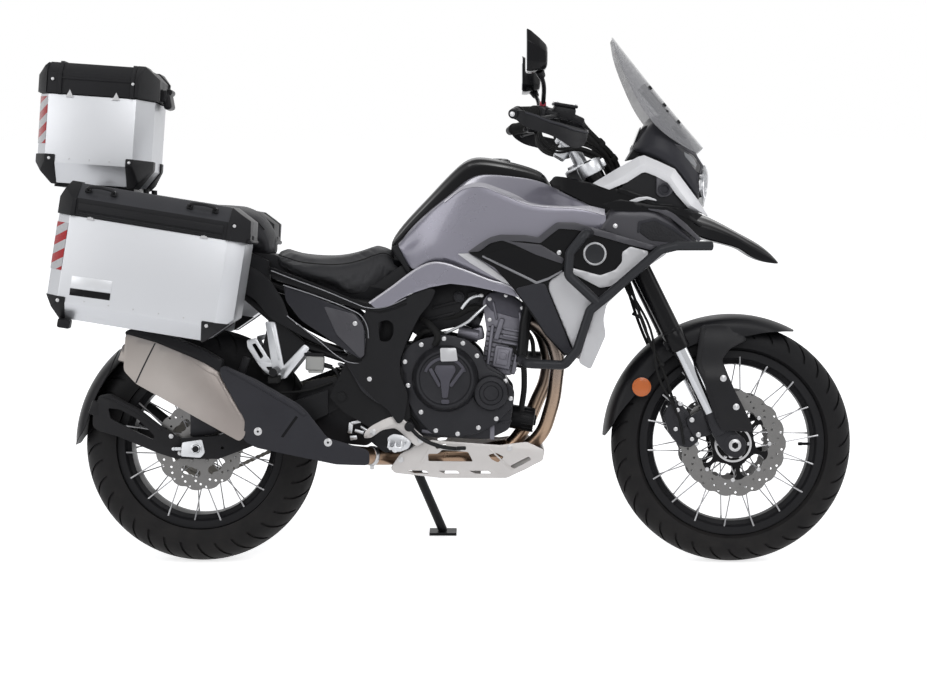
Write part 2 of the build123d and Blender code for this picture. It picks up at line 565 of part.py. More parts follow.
# Mudguard arms: x and z where each leaves the mudguard
for x, z in ((-948, 540), (-1000, 410)):
    strut_end = (AXLE_REAR.X - 20, strut_y, AXLE_REAR.Z + 14)
    strut = tube([(x, 80, z), (x + 40, strut_y, z - 35), strut_end], 8, 14)
    hugger += strut + mirrored(strut)
save("rear_mudguard", hugger)

# ---------------------------------------------------------------- tank, seats and tail
tank_side = [(-212, 872), (-180, 914), (-100, 1003), (-45, 1062), (5, 1112), (60, 1114), (175, 1086),
             (214, 1062), (276, 930), (292, 880), (240, 840), (60, 800.5), (-145, 800.5)]
tank_plan = symmetric([(-215, 70), (-170, 118), (-60, 150), (60, 168), (200, 168), (295, 120)])
tank_front = [(-168, 780), (-170, 900), (-150, 985), (-96, 1070), (-62, 1120), (62, 1120), (96, 1070),
              (150, 985), (170, 900), (168, 780)]
tank = slab(tank_side, -180, 180) & column(tank_plan, 780, 1130) & beam(tank_front, -220, 300)
save("fuel_tank", tank - frame)

rider_side = [(-520, 862), (-458, 843), (-375, 838), (-293, 846), (-235, 869), (-213, 866), (-148, 806),
              (-165, 797), (-255, 732), (-326, 742), (-448, 786), (-517, 818)]
rider_plan = symmetric([(-525, 140), (-430, 152), (-330, 140), (-220, 95), (-145, 78)])
save("rider_seat", (slab(rider_side, -160, 160) & column(rider_plan, 700, 900)) - tank)

passenger_side = [(-850, 986), (-575, 968), (-550, 948), (-525, 898), (-520.6, 864), (-517.8, 828),
                  (-600, 858), (-850, 930)]
passenger_plan = symmetric([(-850, 90), (-700, 118), (-560, 128), (-510, 124)])
save("passenger_seat", slab(passenger_side, -140, 140) & column(passenger_plan, 800, 1000))

knee_side = [(-258, 717), (-262, 728), (-145, 800), (-91, 822), (11, 800), (127, 760), (146, 722),
             (105, 733), (11, 754), (-43, 765), (-96, 754), (-177, 730)]
side_panel = [(-494, 765), (-397, 725), (-311, 690), (-282, 655), (-266, 601), (-272, 566),
              (-335, 562), (-485, 679), (-525, 722)]
side_cover = slab(side_panel, *COVER_Y) + cross_bar(-335, 574, 8, 130, COVER_Y[0] + 1) - subframe
save("side_covers", *both(slab(knee_side, *COVER_Y) - tank), *both(side_cover))

tail_side = [(-530, 827), (-600, 857.5), (-850, 929.5), (-985, 966), (-1010, 930), (-950, 896),
             (-800, 845), (-650, 770), (-560, 722), (-528, 742)]
tail_plan = symmetric([(-1010, 60), (-930, 96), (-800, 128), (-528, 150)])
tail = slab(tail_side, -160, 160) & column(tail_plan, 700, 1000)
tail -= slab([(-500, 700), (-500, 800), (-600, 838), (-880, 915), (-930, 880), (-700, 700)], -108, 108)
tail += slab([(-1012, 932), (-990, 932), (-1003, 770), (-1012, 770)], -12, 12)
tail += beam([(-90, 755), (-90, 895), (90, 895), (90, 755)], -1015, -1012)
tail += beam([(-55, 906), (-55, 936), (55, 936), (55, 906)], -1026, -1008)
save("tail_cover", tail - subframe)

# ---------------------------------------------------------------- front bodywork
panel = slab([(437, 1100), (456, 1134), (478, 1190), (511, 1192), (533, 1160), (505, 1150), (492, 1113)],
             -84, 84)
screen_bracket = slab([(484, 1182), (530, 1164), (574.3, 1199.5), (525.1, 1259.5), (500, 1248)], 62, 74)
panel += screen_bracket + mirrored(screen_bracket)
save("instrument_panel", panel)

lamp = slab([(512, 928.5), (512, 1030), (560, 1100), (628, 1098), (652, 1046), (640, 992), (600, 928.5)],
            -104, 104)
lamp += slab([(484, 1113), (503, 1160), (530, 1168), (575, 1142), (628, 1097), (560, 1090), (500, 1012)],
             -112, 112)
save("headlight", lamp - frame - panel)

fairing_side = [(341, 1036), (411, 1078), (462, 1108), (484, 1110), (540, 1085), (600, 1050),
                (632, 978), (640, 900), (600, 885), (519, 873), (420, 895), (356, 916), (379, 958)]
save("side_fairings", *both(slab(fairing_side, *FAIRING_Y)))

beak_side = [(526, 928), (600, 926), (641, 955), (747, 903), (831, 849), (859, 820), (815, 826),
             (761, 853), (679, 872), (611, 889), (526, 903)]
beak_half = FAIRING_Y[0] - CONTACT_GAP
beak_plan = symmetric([(520, beak_half), (600, beak_half), (650, 104), (747, 62), (830, 34), (862, 16)])
save("beak", slab(beak_side, -160, 160) & column(beak_plan, 800, 1000))

screen_foot, screen_top = Vector(651, 0, 1137), Vector(401, 0, 1440)
screen_plane = Plane(screen_foot, x_dir=(0, -1, 0), z_dir=screen_top - screen_foot)
SCREEN_HALF, SCREEN_BOW = 168.0, 92.0
screen_face = make_face([
    ThreePointArc((-SCREEN_HALF, -SCREEN_BOW), (0, 0), (SCREEN_HALF, -SCREEN_BOW)),
    Line((SCREEN_HALF, -SCREEN_BOW), (SCREEN_HALF - SCREEN_THICKNESS, -SCREEN_BOW)),
    ThreePointArc((SCREEN_HALF - SCREEN_THICKNESS, -SCREEN_BOW), (0, -SCREEN_THICKNESS),
                  (SCREEN_THICKNESS - SCREEN_HALF, -SCREEN_BOW)),
    Line((SCREEN_THICKNESS - SCREEN_HALF, -SCREEN_BOW), (-SCREEN_HALF, -SCREEN_BOW))])
screen = extrude(screen_plane * screen_face, amount=(screen_top - screen_foot).length + 40)
screen_side = [(660, 1122), (619, 1127), (532, 1192), (470, 1229), (403, 1289), (376, 1402), (386, 1436),
               (401, 1442), (520, 1330), (680, 1140)]
screen_front = [(-140, 1100), (140, 1100), (152, 1200), (138, 1340), (96, 1425), (50, 1445),
                (-50, 1445), (-96, 1425), (-138, 1340), (-152, 1200)]
screen = screen & slab(screen_side, -170, 170) & beam(screen_front, 350, 700)
save("windscreen", screen)

shroud_side = [(4, 851), (78, 897), (186, 886), (252, 926), (359, 913), (519, 871), (550, 841),
               (369, 686), (361, 590), (331, 534), (299, 556), (286, 585), (220, 769), (124, 745),
               (41, 830)]
save("radiator_shrouds", *both(slab(shroud_side, *SHROUD_Y)))

# ---------------------------------------------------------------- guards, racks and foot controls
bar_y = CRASH_BAR_Y
lower_bar = tube([(150, PLATE_Y[1] + CONTACT_GAP, 562), (162, bar_y, 556), (262, bar_y, 552),
                  (296, bar_y, 592), (330, bar_y, 698), (372, bar_y, 732), (516, bar_y, 858),
                  (560, bar_y - 12, 868), (655, 190, 868)], CRASH_BAR_RADIUS, 22)
upper_bar = tube([(330, SHROUD_Y[1] + CONTACT_GAP, 902), (316, bar_y, 900), (276, bar_y, 850),
                  (272, bar_y, 790), (352, bar_y, 716)], CRASH_BAR_RADIUS, 20)
shroud = slab(shroud_side, *SHROUD_Y)
save("crash_bars", *both(lower_bar + upper_bar - frame - shroud))

skid_outline = [(-202, 268), (-177, 304), (-118, 340), (-91, 342), (92, 329), (165, 338), (213, 312),
                (200, 291), (111, 245), (-70, 245), (-191, 256)]
skid_hollow = [(-210, 262), (-177, 360), (150, 360), (208, 318), (192, 294), (108, 250), (-68, 250)]
skid = slab(skid_outline, -124, 124) - slab(skid_hollow, -119, 119)
for x in (-60, 60):
    skid += cross_bar(x, 330, 8, 110, 124) + cross_bar(x, 330, 8, -124, -110)
    skid += slab([(x - 8, 322), (x + 8, 322), (x + 8, 350), (x - 8, 350)], 110, 114)
    skid += slab([(x - 8, 322), (x + 8, 322), (x + 8, 350), (x - 8, 350)], -114, -110)
save("skid_plate", skid - block)


def case_place(centre, tilt):
    """Turns case coordinates (along, y, up) into the bike frame."""
    return Pos(centre[0], 0, centre[1]) * Rot(0, tilt, 0)


pannier_place = case_place(PANNIER_CENTRE, PANNIER_TILT)
top_place = case_place(TOP_CASE_CENTRE, TOP_CASE_TILT)
TOP_CASE_Z = (-160.0, 75.0, 160.0)

hoop_y = PANNIER_Y[0] - RACK_TUBE_RADIUS - CONTACT_GAP
hoop = tube([(-900, 98, 905), (-900, hoop_y, 885), (-900, hoop_y, 705), (-680, hoop_y, 665),
             (-640, hoop_y, 800), (-640, 120, 812)], RACK_TUBE_RADIUS, 20)
rack = hoop + mirrored(hoop)
for x, z in ((-960, 940), (-870, 915)):
    post = rod((x, 78, z), (x, 78, 1026), RACK_TUBE_RADIUS)
    rack += post + mirrored(post)
rack_top = TOP_CASE_Z[0] - CONTACT_GAP
rack += top_place * slab([(-130, rack_top), (86, rack_top), (86, rack_top - 10), (-130, rack_top - 10)],
                         -125, 125)
top_case_floor = top_place * slab([(-400, rack_top), (400, rack_top), (400, 300), (-400, 300)], -300, 300)
save("luggage_racks", rack - tail - subframe - top_case_floor)

peg_side = slab([(-230, 395), (-138, 397), (-138, 362), (-165, 352), (-172, 328), (-205, 322)],
                PLATE_Y[1] + CONTACT_GAP, 158)
peg_side += cross_bar(-187, 339, 12, 150, 246) + cross_bar(-152, 380, 12, 150, 178)
pedal = tube([(-152, 171, 380), (-70, 176, 330), (-10, 178, 322)], 6, 20) + cross_bar(-10, 322, 9, 172, 196)
shifter = tube([(-152, 171, 380), (-70, 176, 372), (-20, 178, 370)], 6, 20)
shifter += cross_bar(-20, 370, 9, 172, 196)
save("foot_controls", mirrored(peg_side + pedal), peg_side + shifter)


# ---------------------------------------------------------------- cases
def inset(outline, wall, top_by, low_by):
    """An outline moved in by a wall at its ends, and by given amounts at its top and bottom."""
    middle = (min(x for x, z in outline) + max(x for x, z in outline)) / 2
    top, low = max(z for x, z in outline), min(z for x, z in outline)
    moved = []
    for x, z in outline:
        shift = -top_by if z == top else low_by if z == low else 0
        moved.append((x + wall if x < middle else x - wall, z + shift))
    return moved


def shell(plan, side, end, top_by, low_by):
    """A case half cut to its plan, side and end outlines, and hollowed by the case wall."""
    def cut(plan, side, end):
        return column(plan, -300, 300) & slab(side, -600, 600) & beam(end, -600, 600)

    middle = (min(y for x, y in plan) + max(y for x, y in plan)) / 2
    inside = inset(plan, CASE_WALL, 0, 0)
    hollow_plan = [(x, y + CASE_WALL if y < middle else y - CASE_WALL) for x, y in inside]
    outlines = [inset(outline, CASE_WALL, top_by, low_by) for outline in (side, end)]
    return cut(plan, side, end) - cut(hollow_plan, *outlines)


OPEN = -5.0
inner_y, outer_y = PANNIER_Y
seam = 113.0
body_side = [(-262, seam), (-262, -98), (-222, -154), (153, -154), (222, -88), (222, seam)]
body_plan = [(-262, inner_y), (-262, outer_y - 34), (-228, outer_y), (180, outer_y), (222, outer_y - 43),
             (222, inner_y)]
body_end = [(inner_y, seam), (outer_y, seam), (outer_y, -112), (outer_y - 42, -154), (inner_y, -154)]
save("panniers", *both(pannier_place * shell(body_plan, body_side, body_end, OPEN, CASE_WALL)))
lid_seam, lid_y = seam + SEAM_GAP, outer_y + 6
lid_side = [(-262, lid_seam), (-262, 158), (-240, 197), (172, 197), (226, 168), (232, lid_seam)]
lid_plan = [(-262, inner_y), (-262, lid_y - 34), (-228, lid_y), (186, lid_y), (232, lid_y - 43),
            (232, inner_y)]
lid_end = [(inner_y, lid_seam), (lid_y, lid_seam), (lid_y, 158), (lid_y - 39, 197), (inner_y, 197)]
lid = pannier_place * shell(lid_plan, lid_side, lid_end, CASE_WALL, OPEN)
save("left_pannier_lid", lid)
save("right_pannier_lid", mirrored(lid))

case_low, case_seam, case_top = TOP_CASE_Z
half_y = TOP_CASE_HALF_WIDTH
case_plan = symmetric([(-174, 160), (-146, half_y), (88, half_y), (125, 104)])
case_side = [(-174, case_seam), (-174, -112), (-134, case_low), (90, case_low), (125, -112),
             (125, case_seam)]
case_end = [(half_y, case_seam), (half_y, -108), (half_y - 46, case_low), (46 - half_y, case_low),
            (-half_y, -108), (-half_y, case_seam)]
save("top_case", top_place * shell(case_plan, case_side, case_end, OPEN, CASE_WALL))
top_seam, top_y = case_seam + SEAM_GAP, half_y + 4
top_plan = symmetric([(-179, 160), (-150, top_y), (92, top_y), (131, 106)])
top_side = [(-179, top_seam), (-179, 124), (-147, case_top), (104, case_top), (131, 134), (131, top_seam)]
top_end = [(top_y, top_seam), (top_y, 132), (top_y - 28, case_top), (28 - top_y, case_top), (-top_y, 132),
           (-top_y, top_seam)]
top_lid = shell(top_plan, top_side, top_end, CASE_WALL, OPEN) + Pos(146, 0, 92) * Box(32, 96, 30)
save("top_case_lid", top_place * top_lid)

# ---------------------------------------------------------------- side stand
pivot = Vector(*STAND_PIVOT)
foot_x, foot_y = STAND_FOOT
foot_z = foot_y * math.tan(math.radians(LEAN)) - PARK_SHIFT[2] / math.cos(math.radians(LEAN))
foot = Vector(foot_x, foot_y, foot_z)
stand_axis = Vector(0, math.cos(math.radians(STAND_AXIS_TILT)), math.sin(math.radians(STAND_AXIS_TILT)))
stand = rod(pivot, foot + Vector(0, 0, 8), STAND_LEG_RADIUS)
stand += rod(pivot - stand_axis * 9.3, pivot + stand_axis * 12, 20)
stand += Pos(foot.X, foot.Y, foot.Z) * Rot(LEAN, 0, 0) * Pos(0, 0, 4) * Box(78, 56, 8)
save("side_stand", stand)
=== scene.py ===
# %% [markdown]
# # An adventure motorcycle on its side stand
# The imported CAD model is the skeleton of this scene: it gives every piece its place, and its bodies
# carry the wheels, the steering, the stand and the lids. Here each visible piece gets its real shape
# and finish. The frame is loaded first and nothing in it is moved, so whatever is modelled later
# lands in the right place without any fitting.

# %% Load the frame
import math

import bpy
from mathutils import Matrix, Vector


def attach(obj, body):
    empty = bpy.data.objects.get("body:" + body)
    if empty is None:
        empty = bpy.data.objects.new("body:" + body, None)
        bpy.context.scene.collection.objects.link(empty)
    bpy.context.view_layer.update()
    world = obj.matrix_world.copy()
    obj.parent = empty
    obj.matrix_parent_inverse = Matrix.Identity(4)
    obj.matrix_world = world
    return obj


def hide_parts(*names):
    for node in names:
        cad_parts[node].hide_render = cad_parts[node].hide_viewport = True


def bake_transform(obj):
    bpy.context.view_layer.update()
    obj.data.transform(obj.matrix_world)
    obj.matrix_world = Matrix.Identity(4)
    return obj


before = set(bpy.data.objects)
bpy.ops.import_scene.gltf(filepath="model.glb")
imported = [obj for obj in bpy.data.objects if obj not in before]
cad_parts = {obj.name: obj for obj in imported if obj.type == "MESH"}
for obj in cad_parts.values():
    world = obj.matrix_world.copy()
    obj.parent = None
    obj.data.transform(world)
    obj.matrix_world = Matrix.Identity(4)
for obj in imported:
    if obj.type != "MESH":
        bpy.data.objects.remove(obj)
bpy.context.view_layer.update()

bpy.context.preferences.edit.undo_steps = 0

# %% [markdown]
# A parked bike leans, which is awkward to model in. So each piece is drawn upright, in millimetres,
# with +X forward and +Y to the rider's left, and the last step of every piece leans it 8 degrees
# onto the stand. The lean is baked into the mesh, so the finished object sits at the origin unturned.

# %% The bike's own upright space
MM = 0.001
LEAN = math.radians(8.0)
STAND_SHIFT = (0.047, -0.143, 0.00073)
PARKED = Matrix.Translation(STAND_SHIFT) @ Matrix.Rotation(-LEAN, 4, "X")
RAKE = math.radians(26.5)
AXLE_OFFSET = 51
FRONT_AXLE = Vector((727.5, 0, 329))
REAR_AXLE = Vector((-727.5, 0, 321))
FORK_UP = Vector((-math.sin(RAKE), 0, math.cos(RAKE)))
FORK_AHEAD = Vector((math.cos(RAKE), 0, math.sin(RAKE)))
STEER_FOOT = FRONT_AXLE - FORK_AHEAD * AXLE_OFFSET


def on_fork(along, ahead, side=0.0):
    """A point in mm along the steering axis, ahead of it and to its left."""
    point = STEER_FOOT + FORK_UP * along + FORK_AHEAD * ahead
    return Vector((point.x, side, point.z))

# %% [markdown]
# An operator acts on all that is selected, and freshly loaded pieces are selected. So everything is
# deselected before a piece is picked, and its faces are then chosen in code, by their place or normal.

# %% Picking and editing
def clear_selection():
    """Leave edit mode and deselect everything, as every new piece starts."""
    if bpy.context.mode != "OBJECT":
        bpy.ops.object.mode_set(mode="OBJECT")
    bpy.ops.object.select_all(action="DESELECT")


def pick(*objs):
    """Select these objects, the first one active."""
    clear_selection()
    for obj in objs:
        obj.select_set(True)
    bpy.context.view_layer.objects.active = objs[0]
    return objs[0]


def edit(obj, *steps):
    """Run edit-mode steps on the whole of one object."""
    pick(obj)
    bpy.ops.object.mode_set(mode="EDIT")
    bpy.ops.mesh.select_mode(type="VERT")
    bpy.ops.mesh.select_all(action="SELECT")
    for step in steps:
        step()
    bpy.ops.object.mode_set(mode="OBJECT")
    return obj


def select_faces(obj, chosen):
    """Open edit mode with only these faces selected."""
    edit(obj, lambda: bpy.ops.mesh.select_mode(type="FACE"),
         lambda: bpy.ops.mesh.select_all(action="DESELECT"))
    for index in chosen:
        obj.data.polygons[index].select = True
    bpy.ops.object.mode_set(mode="EDIT")


def tidy_mesh(obj, distance=0.00002):
    """Merge doubles and turn the faces outwards."""
    return edit(obj, lambda: bpy.ops.mesh.remove_doubles(threshold=distance),
                lambda: bpy.ops.mesh.normals_make_consistent(inside=False))

# %% Modifiers, walls and cuts
def modify(obj, kind, **values):
    """Add one modifier with its settings and apply it."""
    pick(obj)
    modifier = obj.modifiers.new(kind.title(), kind)
    for key, value in values.items():
        setattr(modifier, key, value)
    bpy.ops.object.modifier_apply(modifier=modifier.name)
    return obj


def bevelled(obj, width, segments=2, angle=40):
    """Round the sharp edges by a width in mm."""
    return modify(obj, "BEVEL", width=width * MM, segments=segments, limit_method="ANGLE",
                  angle_limit=math.radians(angle), harden_normals=False)


def walled(obj, thickness, offset=0):
    """Give an open sheet its wall in mm, inwards (-1) or to both sides (0)."""
    return modify(obj, "SOLIDIFY", thickness=thickness * MM, offset=offset)


def cut_out(obj, cutter):
    """Cut one closed piece out of another; the cutter is used up."""
    modify(obj, "BOOLEAN", object=cutter, operation="DIFFERENCE", solver="EXACT")
    bpy.data.objects.remove(cutter)
    return obj


def smooth(obj, angle=35):
    pick(obj)
    bpy.ops.object.shade_smooth_by_angle(angle=math.radians(angle))
    return obj

# %% Joining, copying and mirroring
def joined(objs, name="piece"):
    """Join several pieces into one object."""
    objs = list(objs)
    pick(*objs)
    if len(objs) > 1:
        bpy.ops.object.join()
    objs[0].name = objs[0].data.name = name
    return objs[0]


def copied(obj, matrix):
    """A copy of a piece with its own mesh, moved by a matrix in mm."""
    pick(obj)
    bpy.ops.object.duplicate(linked=False)
    twin = bpy.context.object
    place = matrix.copy()
    place.translation = place.translation * MM
    twin.data.transform(place)
    return twin


def one_piece(piece):
    """One object from a piece or from a list of its parts."""
    return joined(piece) if isinstance(piece, list) else piece


def both_sides(piece):
    """Add the mirror image across the middle of the bike."""
    return modify(one_piece(piece), "MIRROR", use_axis=(False, True, False), use_mirror_merge=False)

# %% [markdown]
# A finished piece is leaned onto the stand, gets its finish, and is told which body it rides on and
# which plain CAD shape it stands for. The list of finished pieces is printed cell by cell.

# %% Finishing a piece
NAMES, FRESH = [], []


def show_new():
    """Print the pieces finished since the last time, with their faces."""
    print(FRESH)
    FRESH.clear()


def finished(piece, name, body, finish, replaces=(), angle=35):
    """Lean a piece onto the stand and give it its finish. It rides on its body when one is named, and on no
    body otherwise.
    """
    obj = smooth(one_piece(piece), angle)
    obj.name = obj.data.name = name
    obj.data.transform(PARKED)
    obj.matrix_world = Matrix.Identity(4)
    if finish:
        obj.data.materials.clear()
        obj.data.materials.append(finish)
    if isinstance(body, str):
        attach(obj, body)
    else:
        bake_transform(obj)
    if replaces:
        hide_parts(*replaces)
    NAMES.append((name, len(obj.data.polygons)))
    FRESH.append(NAMES[-1])
    return obj


# %% [markdown]
# Most pieces start from five simple moves: a box, a rod, a turned ring, a bent tube, and a plate
# traced round its side view. Each one starts from a primitive, which is then placed and shaped.

# %% Boxes, rods and rings
def block(size, centre, turn=(0, 0, 0), bevel=0.0, segments=2):
    """A box of (x, y, z) mm, turned in degrees about its own centre."""
    clear_selection()
    bpy.ops.mesh.primitive_cube_add(size=1)
    obj = bpy.context.object
    angles = [math.radians(a) for a in turn]
    obj.data.transform(Matrix.Diagonal((*[s * MM for s in size], 1)))
    if bevel:
        bevelled(obj, bevel, segments)
    obj.data.transform(Matrix.LocRotScale(Vector(centre) * MM,
                                          Matrix.Rotation(angles[1], 3, "Y")
                                          @ Matrix.Rotation(angles[0], 3, "X")
                                          @ Matrix.Rotation(angles[2], 3, "Z"), None))
    return obj


def rod(start, end, radius, end_radius=None, sides=32, bevel=0.0):
    """A round bar or a cone between two points in mm."""
    start, end = Vector(start), Vector(end)
    clear_selection()
    length = (end - start).length
    bpy.ops.mesh.primitive_cone_add(vertices=sides, radius1=radius * MM, depth=length * MM,
                                    radius2=(radius if end_radius is None else end_radius) * MM)
    obj = bpy.context.object
    if bevel:
        bevelled(obj, bevel)
    turn = Vector((0, 0, 1)).rotation_difference(end - start).to_matrix().to_4x4()
    obj.data.transform(Matrix.Translation((start + end) / 2 * MM) @ turn)
    return obj

# %% Turned rings and bent tubes
def lathe(profile, centre, steps=64):
    """A ring spun about a cross axis from (radius, y) points in mm."""
    clear_selection()
    bpy.ops.mesh.primitive_circle_add(vertices=len(profile), fill_type="NOTHING")
    obj = bpy.context.object
    for vertex, (radius, y) in zip(obj.data.vertices, profile):
        vertex.co = ((centre[0] + radius) * MM, y * MM, centre[2] * MM)
    edit(obj, lambda: bpy.ops.mesh.spin(steps=steps, angle=math.tau, center=Vector(centre) * MM,
                                        axis=(0, 1, 0)))
    return tidy_mesh(obj)


def disc_stack(centre, steps, side=-1, sides=48, bevel=1.5):
    """Stacked round bosses on a cross axis: (radius, inner y, outer y) rows."""
    return joined([rod((centre[0], side * low, centre[1]), (centre[0], side * high, centre[1]), radius,
                       sides=sides, bevel=bevel) for radius, low, high in steps])


def pipe(points, radius, name="pipe", resolution=6, sides=3):
    """A bent round tube through (x, y, z) points in mm, along a smooth curve."""
    clear_selection()
    bpy.ops.curve.primitive_bezier_curve_add()
    obj = bpy.context.object
    curve = obj.data
    spline = curve.splines[0]
    spline.bezier_points.add(len(points) - len(spline.bezier_points))
    for knot, point in zip(spline.bezier_points, points):
        knot.co = Vector(point) * MM
        knot.handle_left_type = knot.handle_right_type = "AUTO"
    curve.bevel_depth = radius * MM
    curve.bevel_resolution = sides
    curve.resolution_u = resolution
    curve.use_fill_caps = True
    pick(obj)
    bpy.ops.object.convert(target="MESH")
    obj = bpy.context.object
    obj.name = name
    return obj


# %% [markdown]
# Bodywork is pressed or moulded sheet, so a panel is traced as a flat face first, cut into a grid,
# laid on a curved side surface, and given a wall. The curve comes from a short table of stations,
# read by a smooth interpolation, so a handful of numbers gives a fair surface.

# %% Panels on a curved side
def along(table, t):
    """Smooth interpolation in rows of (station, value)."""
    if t <= table[0][0]:
        return table[0][1]
    if t >= table[-1][0]:
        return table[-1][1]
    for i in range(len(table) - 1):
        if t <= table[i + 1][0]:
            break
    (x0, y0), (x1, y1) = table[i], table[i + 1]
    before = table[i - 1] if i else table[i]
    after = table[i + 2] if i + 2 < len(table) else table[i + 1]
    m0 = (y1 - before[1]) / (x1 - before[0])
    m1 = (after[1] - y0) / (after[0] - x0)
    h, s = x1 - x0, (t - x0) / (x1 - x0)
    return ((2 * s**3 - 3 * s**2 + 1) * y0 + (s**3 - 2 * s**2 + s) * h * m0 + (3 * s**2 - 2 * s**3) * y1
            + (s**3 - s**2) * h * m1)


def traced(points):
    """A flat face in the side view through (x, z) points in mm."""
    clear_selection()
    bpy.ops.mesh.primitive_circle_add(vertices=len(points), fill_type="NGON")
    obj = bpy.context.object
    for vertex, (x, z) in zip(obj.data.vertices, points):
        vertex.co = (x * MM, 0, z * MM)
    return obj

# %% Plates laid on a surface
OFF_CORNERS = 0.013


def gridded(obj, spacing):
    """Cut a flat side face both ways every so many mm, a little off its own corners."""
    corners = [v.co for v in obj.data.vertices]
    low = Vector([min(c[i] for c in corners) for i in range(3)])
    high = Vector([max(c[i] for c in corners) for i in range(3)])
    for axis in (0, 2):
        normal = [0, 0, 0]
        normal[axis] = 1
        count = int((high[axis] - low[axis]) / (spacing * MM))
        for number in range(count):
            place = [0, 0, 0]
            place[axis] = low[axis] + (number + 0.5 + OFF_CORNERS) * (high[axis] - low[axis]) / max(count, 1)
            edit(obj, lambda: bpy.ops.mesh.bisect(plane_co=place, plane_no=normal))
    return obj


def panel(points, side, wall=3.0, spacing=22.0, bevel=1.0, mirror=True):
    """A panel traced in the side view and laid at y = -side(x, z), its wall inwards."""
    obj = traced(points)
    if spacing:
        gridded(obj, spacing)
    reach = side if callable(side) else lambda x, z: side
    for vertex in obj.data.vertices:
        vertex.co.y = -reach(vertex.co.x / MM, vertex.co.z / MM) * MM
    middle = sum((f.normal.y * f.area for f in obj.data.polygons))
    if middle > 0:
        edit(obj, lambda: bpy.ops.mesh.flip_normals())
    walled(obj, wall, -1)
    if bevel:
        bevelled(obj, bevel, 2, 50)
    if mirror:
        both_sides(obj)
    return obj

# %% Skins over cross sections
def skin(sections, closed=True, caps=True, levels=1):
    """A grid primitive whose rows are laid on sections of (x, y, z) mm, then subdivided."""
    rows, columns = len(sections), len(sections[0]) + (1 if closed else 0)
    clear_selection()
    bpy.ops.mesh.primitive_grid_add(x_subdivisions=columns - 1, y_subdivisions=rows - 1)
    obj = bpy.context.object
    for r, section in enumerate(sections):
        for c in range(columns):
            obj.data.vertices[r * columns + c].co = Vector(section[c % len(section)]) * MM
    if closed:
        tidy_mesh(obj)
    if caps and closed:
        edit(obj, lambda: bpy.ops.mesh.select_all(action="DESELECT"),
             lambda: bpy.ops.mesh.select_non_manifold(), lambda: bpy.ops.mesh.fill_holes(sides=0))
        tidy_mesh(obj)
    if levels:
        modify(obj, "SUBSURF", levels=levels, render_levels=levels)
    return obj


def mirror_half(half):
    """A closed (y, z) section from its left half, top to bottom."""
    return [*half, *[(-y, z) for y, z in reversed(half) if abs(y) > 0.01]]

# %% [markdown]
# Painted, moulded and bare surfaces all carry small irregularities: a fine grain, a slow change of
# gloss, and road dust low down. These effects are needed by many finishes, so each one is a node group
# with named sockets, built once. Shaders stay in the material itself.

# %% Shared effects
def effect(name, inputs, outputs):
    """A shader node group with float inputs (name, default) and outputs (name, kind)."""
    group = bpy.data.node_groups.new(name, "ShaderNodeTree")
    for label, value in inputs:
        socket = group.interface.new_socket(name=label, in_out="INPUT", socket_type="NodeSocketFloat")
        socket.default_value = value
    for label, kind in outputs:
        group.interface.new_socket(name=label, in_out="OUTPUT", socket_type=f"NodeSocket{kind}")
    return group, group.nodes.new("NodeGroupInput"), group.nodes.new("NodeGroupOutput")


def node(tree, kind, links=(), **values):
    """Add a node, set its values (properties or socket defaults) and link its inputs."""
    made = tree.nodes.new("ShaderNode" + kind)
    for key, value in values.items():
        if key in made.inputs:
            made.inputs[key].default_value = value
        else:
            setattr(made, key, value)
    for socket, source in links:
        tree.links.new(source, made.inputs[socket])
    return made

# %% Fine grain and slow patina
grain, grain_in, grain_out = effect("fine grain", [("Scale", 900.0), ("Depth", 0.1), ("Distance", 0.0005)],
                                    [("Normal", "Vector")])
coords = node(grain, "TexCoord")
pebble = node(grain, "TexNoise", [("Vector", coords.outputs["Object"]), ("Scale", grain_in.outputs["Scale"])],
              Detail=3.0, Roughness=0.6)
bump = node(grain, "Bump", [("Height", pebble.outputs["Fac"]), ("Strength", grain_in.outputs["Depth"]),
                            ("Distance", grain_in.outputs["Distance"])])
grain.links.new(bump.outputs["Normal"], grain_out.inputs["Normal"])

patina, patina_in, patina_out = effect("slow patina", [("Scale", 9.0), ("Low", 0.3), ("High", 0.5)],
                                       [("Value", "Float"), ("Mask", "Float")])
coords = node(patina, "TexCoord")
cloud = node(patina, "TexNoise",
             [("Vector", coords.outputs["Object"]), ("Scale", patina_in.outputs["Scale"])], Detail=6.0,
             Roughness=0.62)
spread = node(patina, "MapRange", [("Value", cloud.outputs["Fac"]), ("To Min", patina_in.outputs["Low"]),
                                   ("To Max", patina_in.outputs["High"])])
spread.inputs["From Min"].default_value = 0.3
spread.inputs["From Max"].default_value = 0.7
patina.links.new(spread.outputs["Result"], patina_out.inputs["Value"])
patina.links.new(cloud.outputs["Fac"], patina_out.inputs["Mask"])

# %% Dust and brushed lines
dust, dust_in, dust_out = effect("road dust", [("Full Below", 0.05), ("None Above", 0.6), ("Amount", 0.3)],
                                 [("Mask", "Float")])
coords = node(dust, "TexCoord")
parts = node(dust, "SeparateXYZ", [("Vector", coords.outputs["Object"])])
height = node(dust, "MapRange", [("Value", parts.outputs["Z"]), ("From Min", dust_in.outputs["Full Below"]),
                                 ("From Max", dust_in.outputs["None Above"])])
height.inputs["To Min"].default_value = 1.0
height.inputs["To Max"].default_value = 0.0
blotch = node(dust, "TexNoise", [("Vector", coords.outputs["Object"])], Scale=26.0, Detail=8.0)
mixed = node(dust, "Math", [(0, height.outputs["Result"]), (1, blotch.outputs["Fac"])], operation="MULTIPLY")
scaled = node(dust, "Math", [(0, mixed.outputs[0]), (1, dust_in.outputs["Amount"])], operation="MULTIPLY",
              use_clamp=True)
dust.links.new(scaled.outputs[0], dust_out.inputs["Mask"])

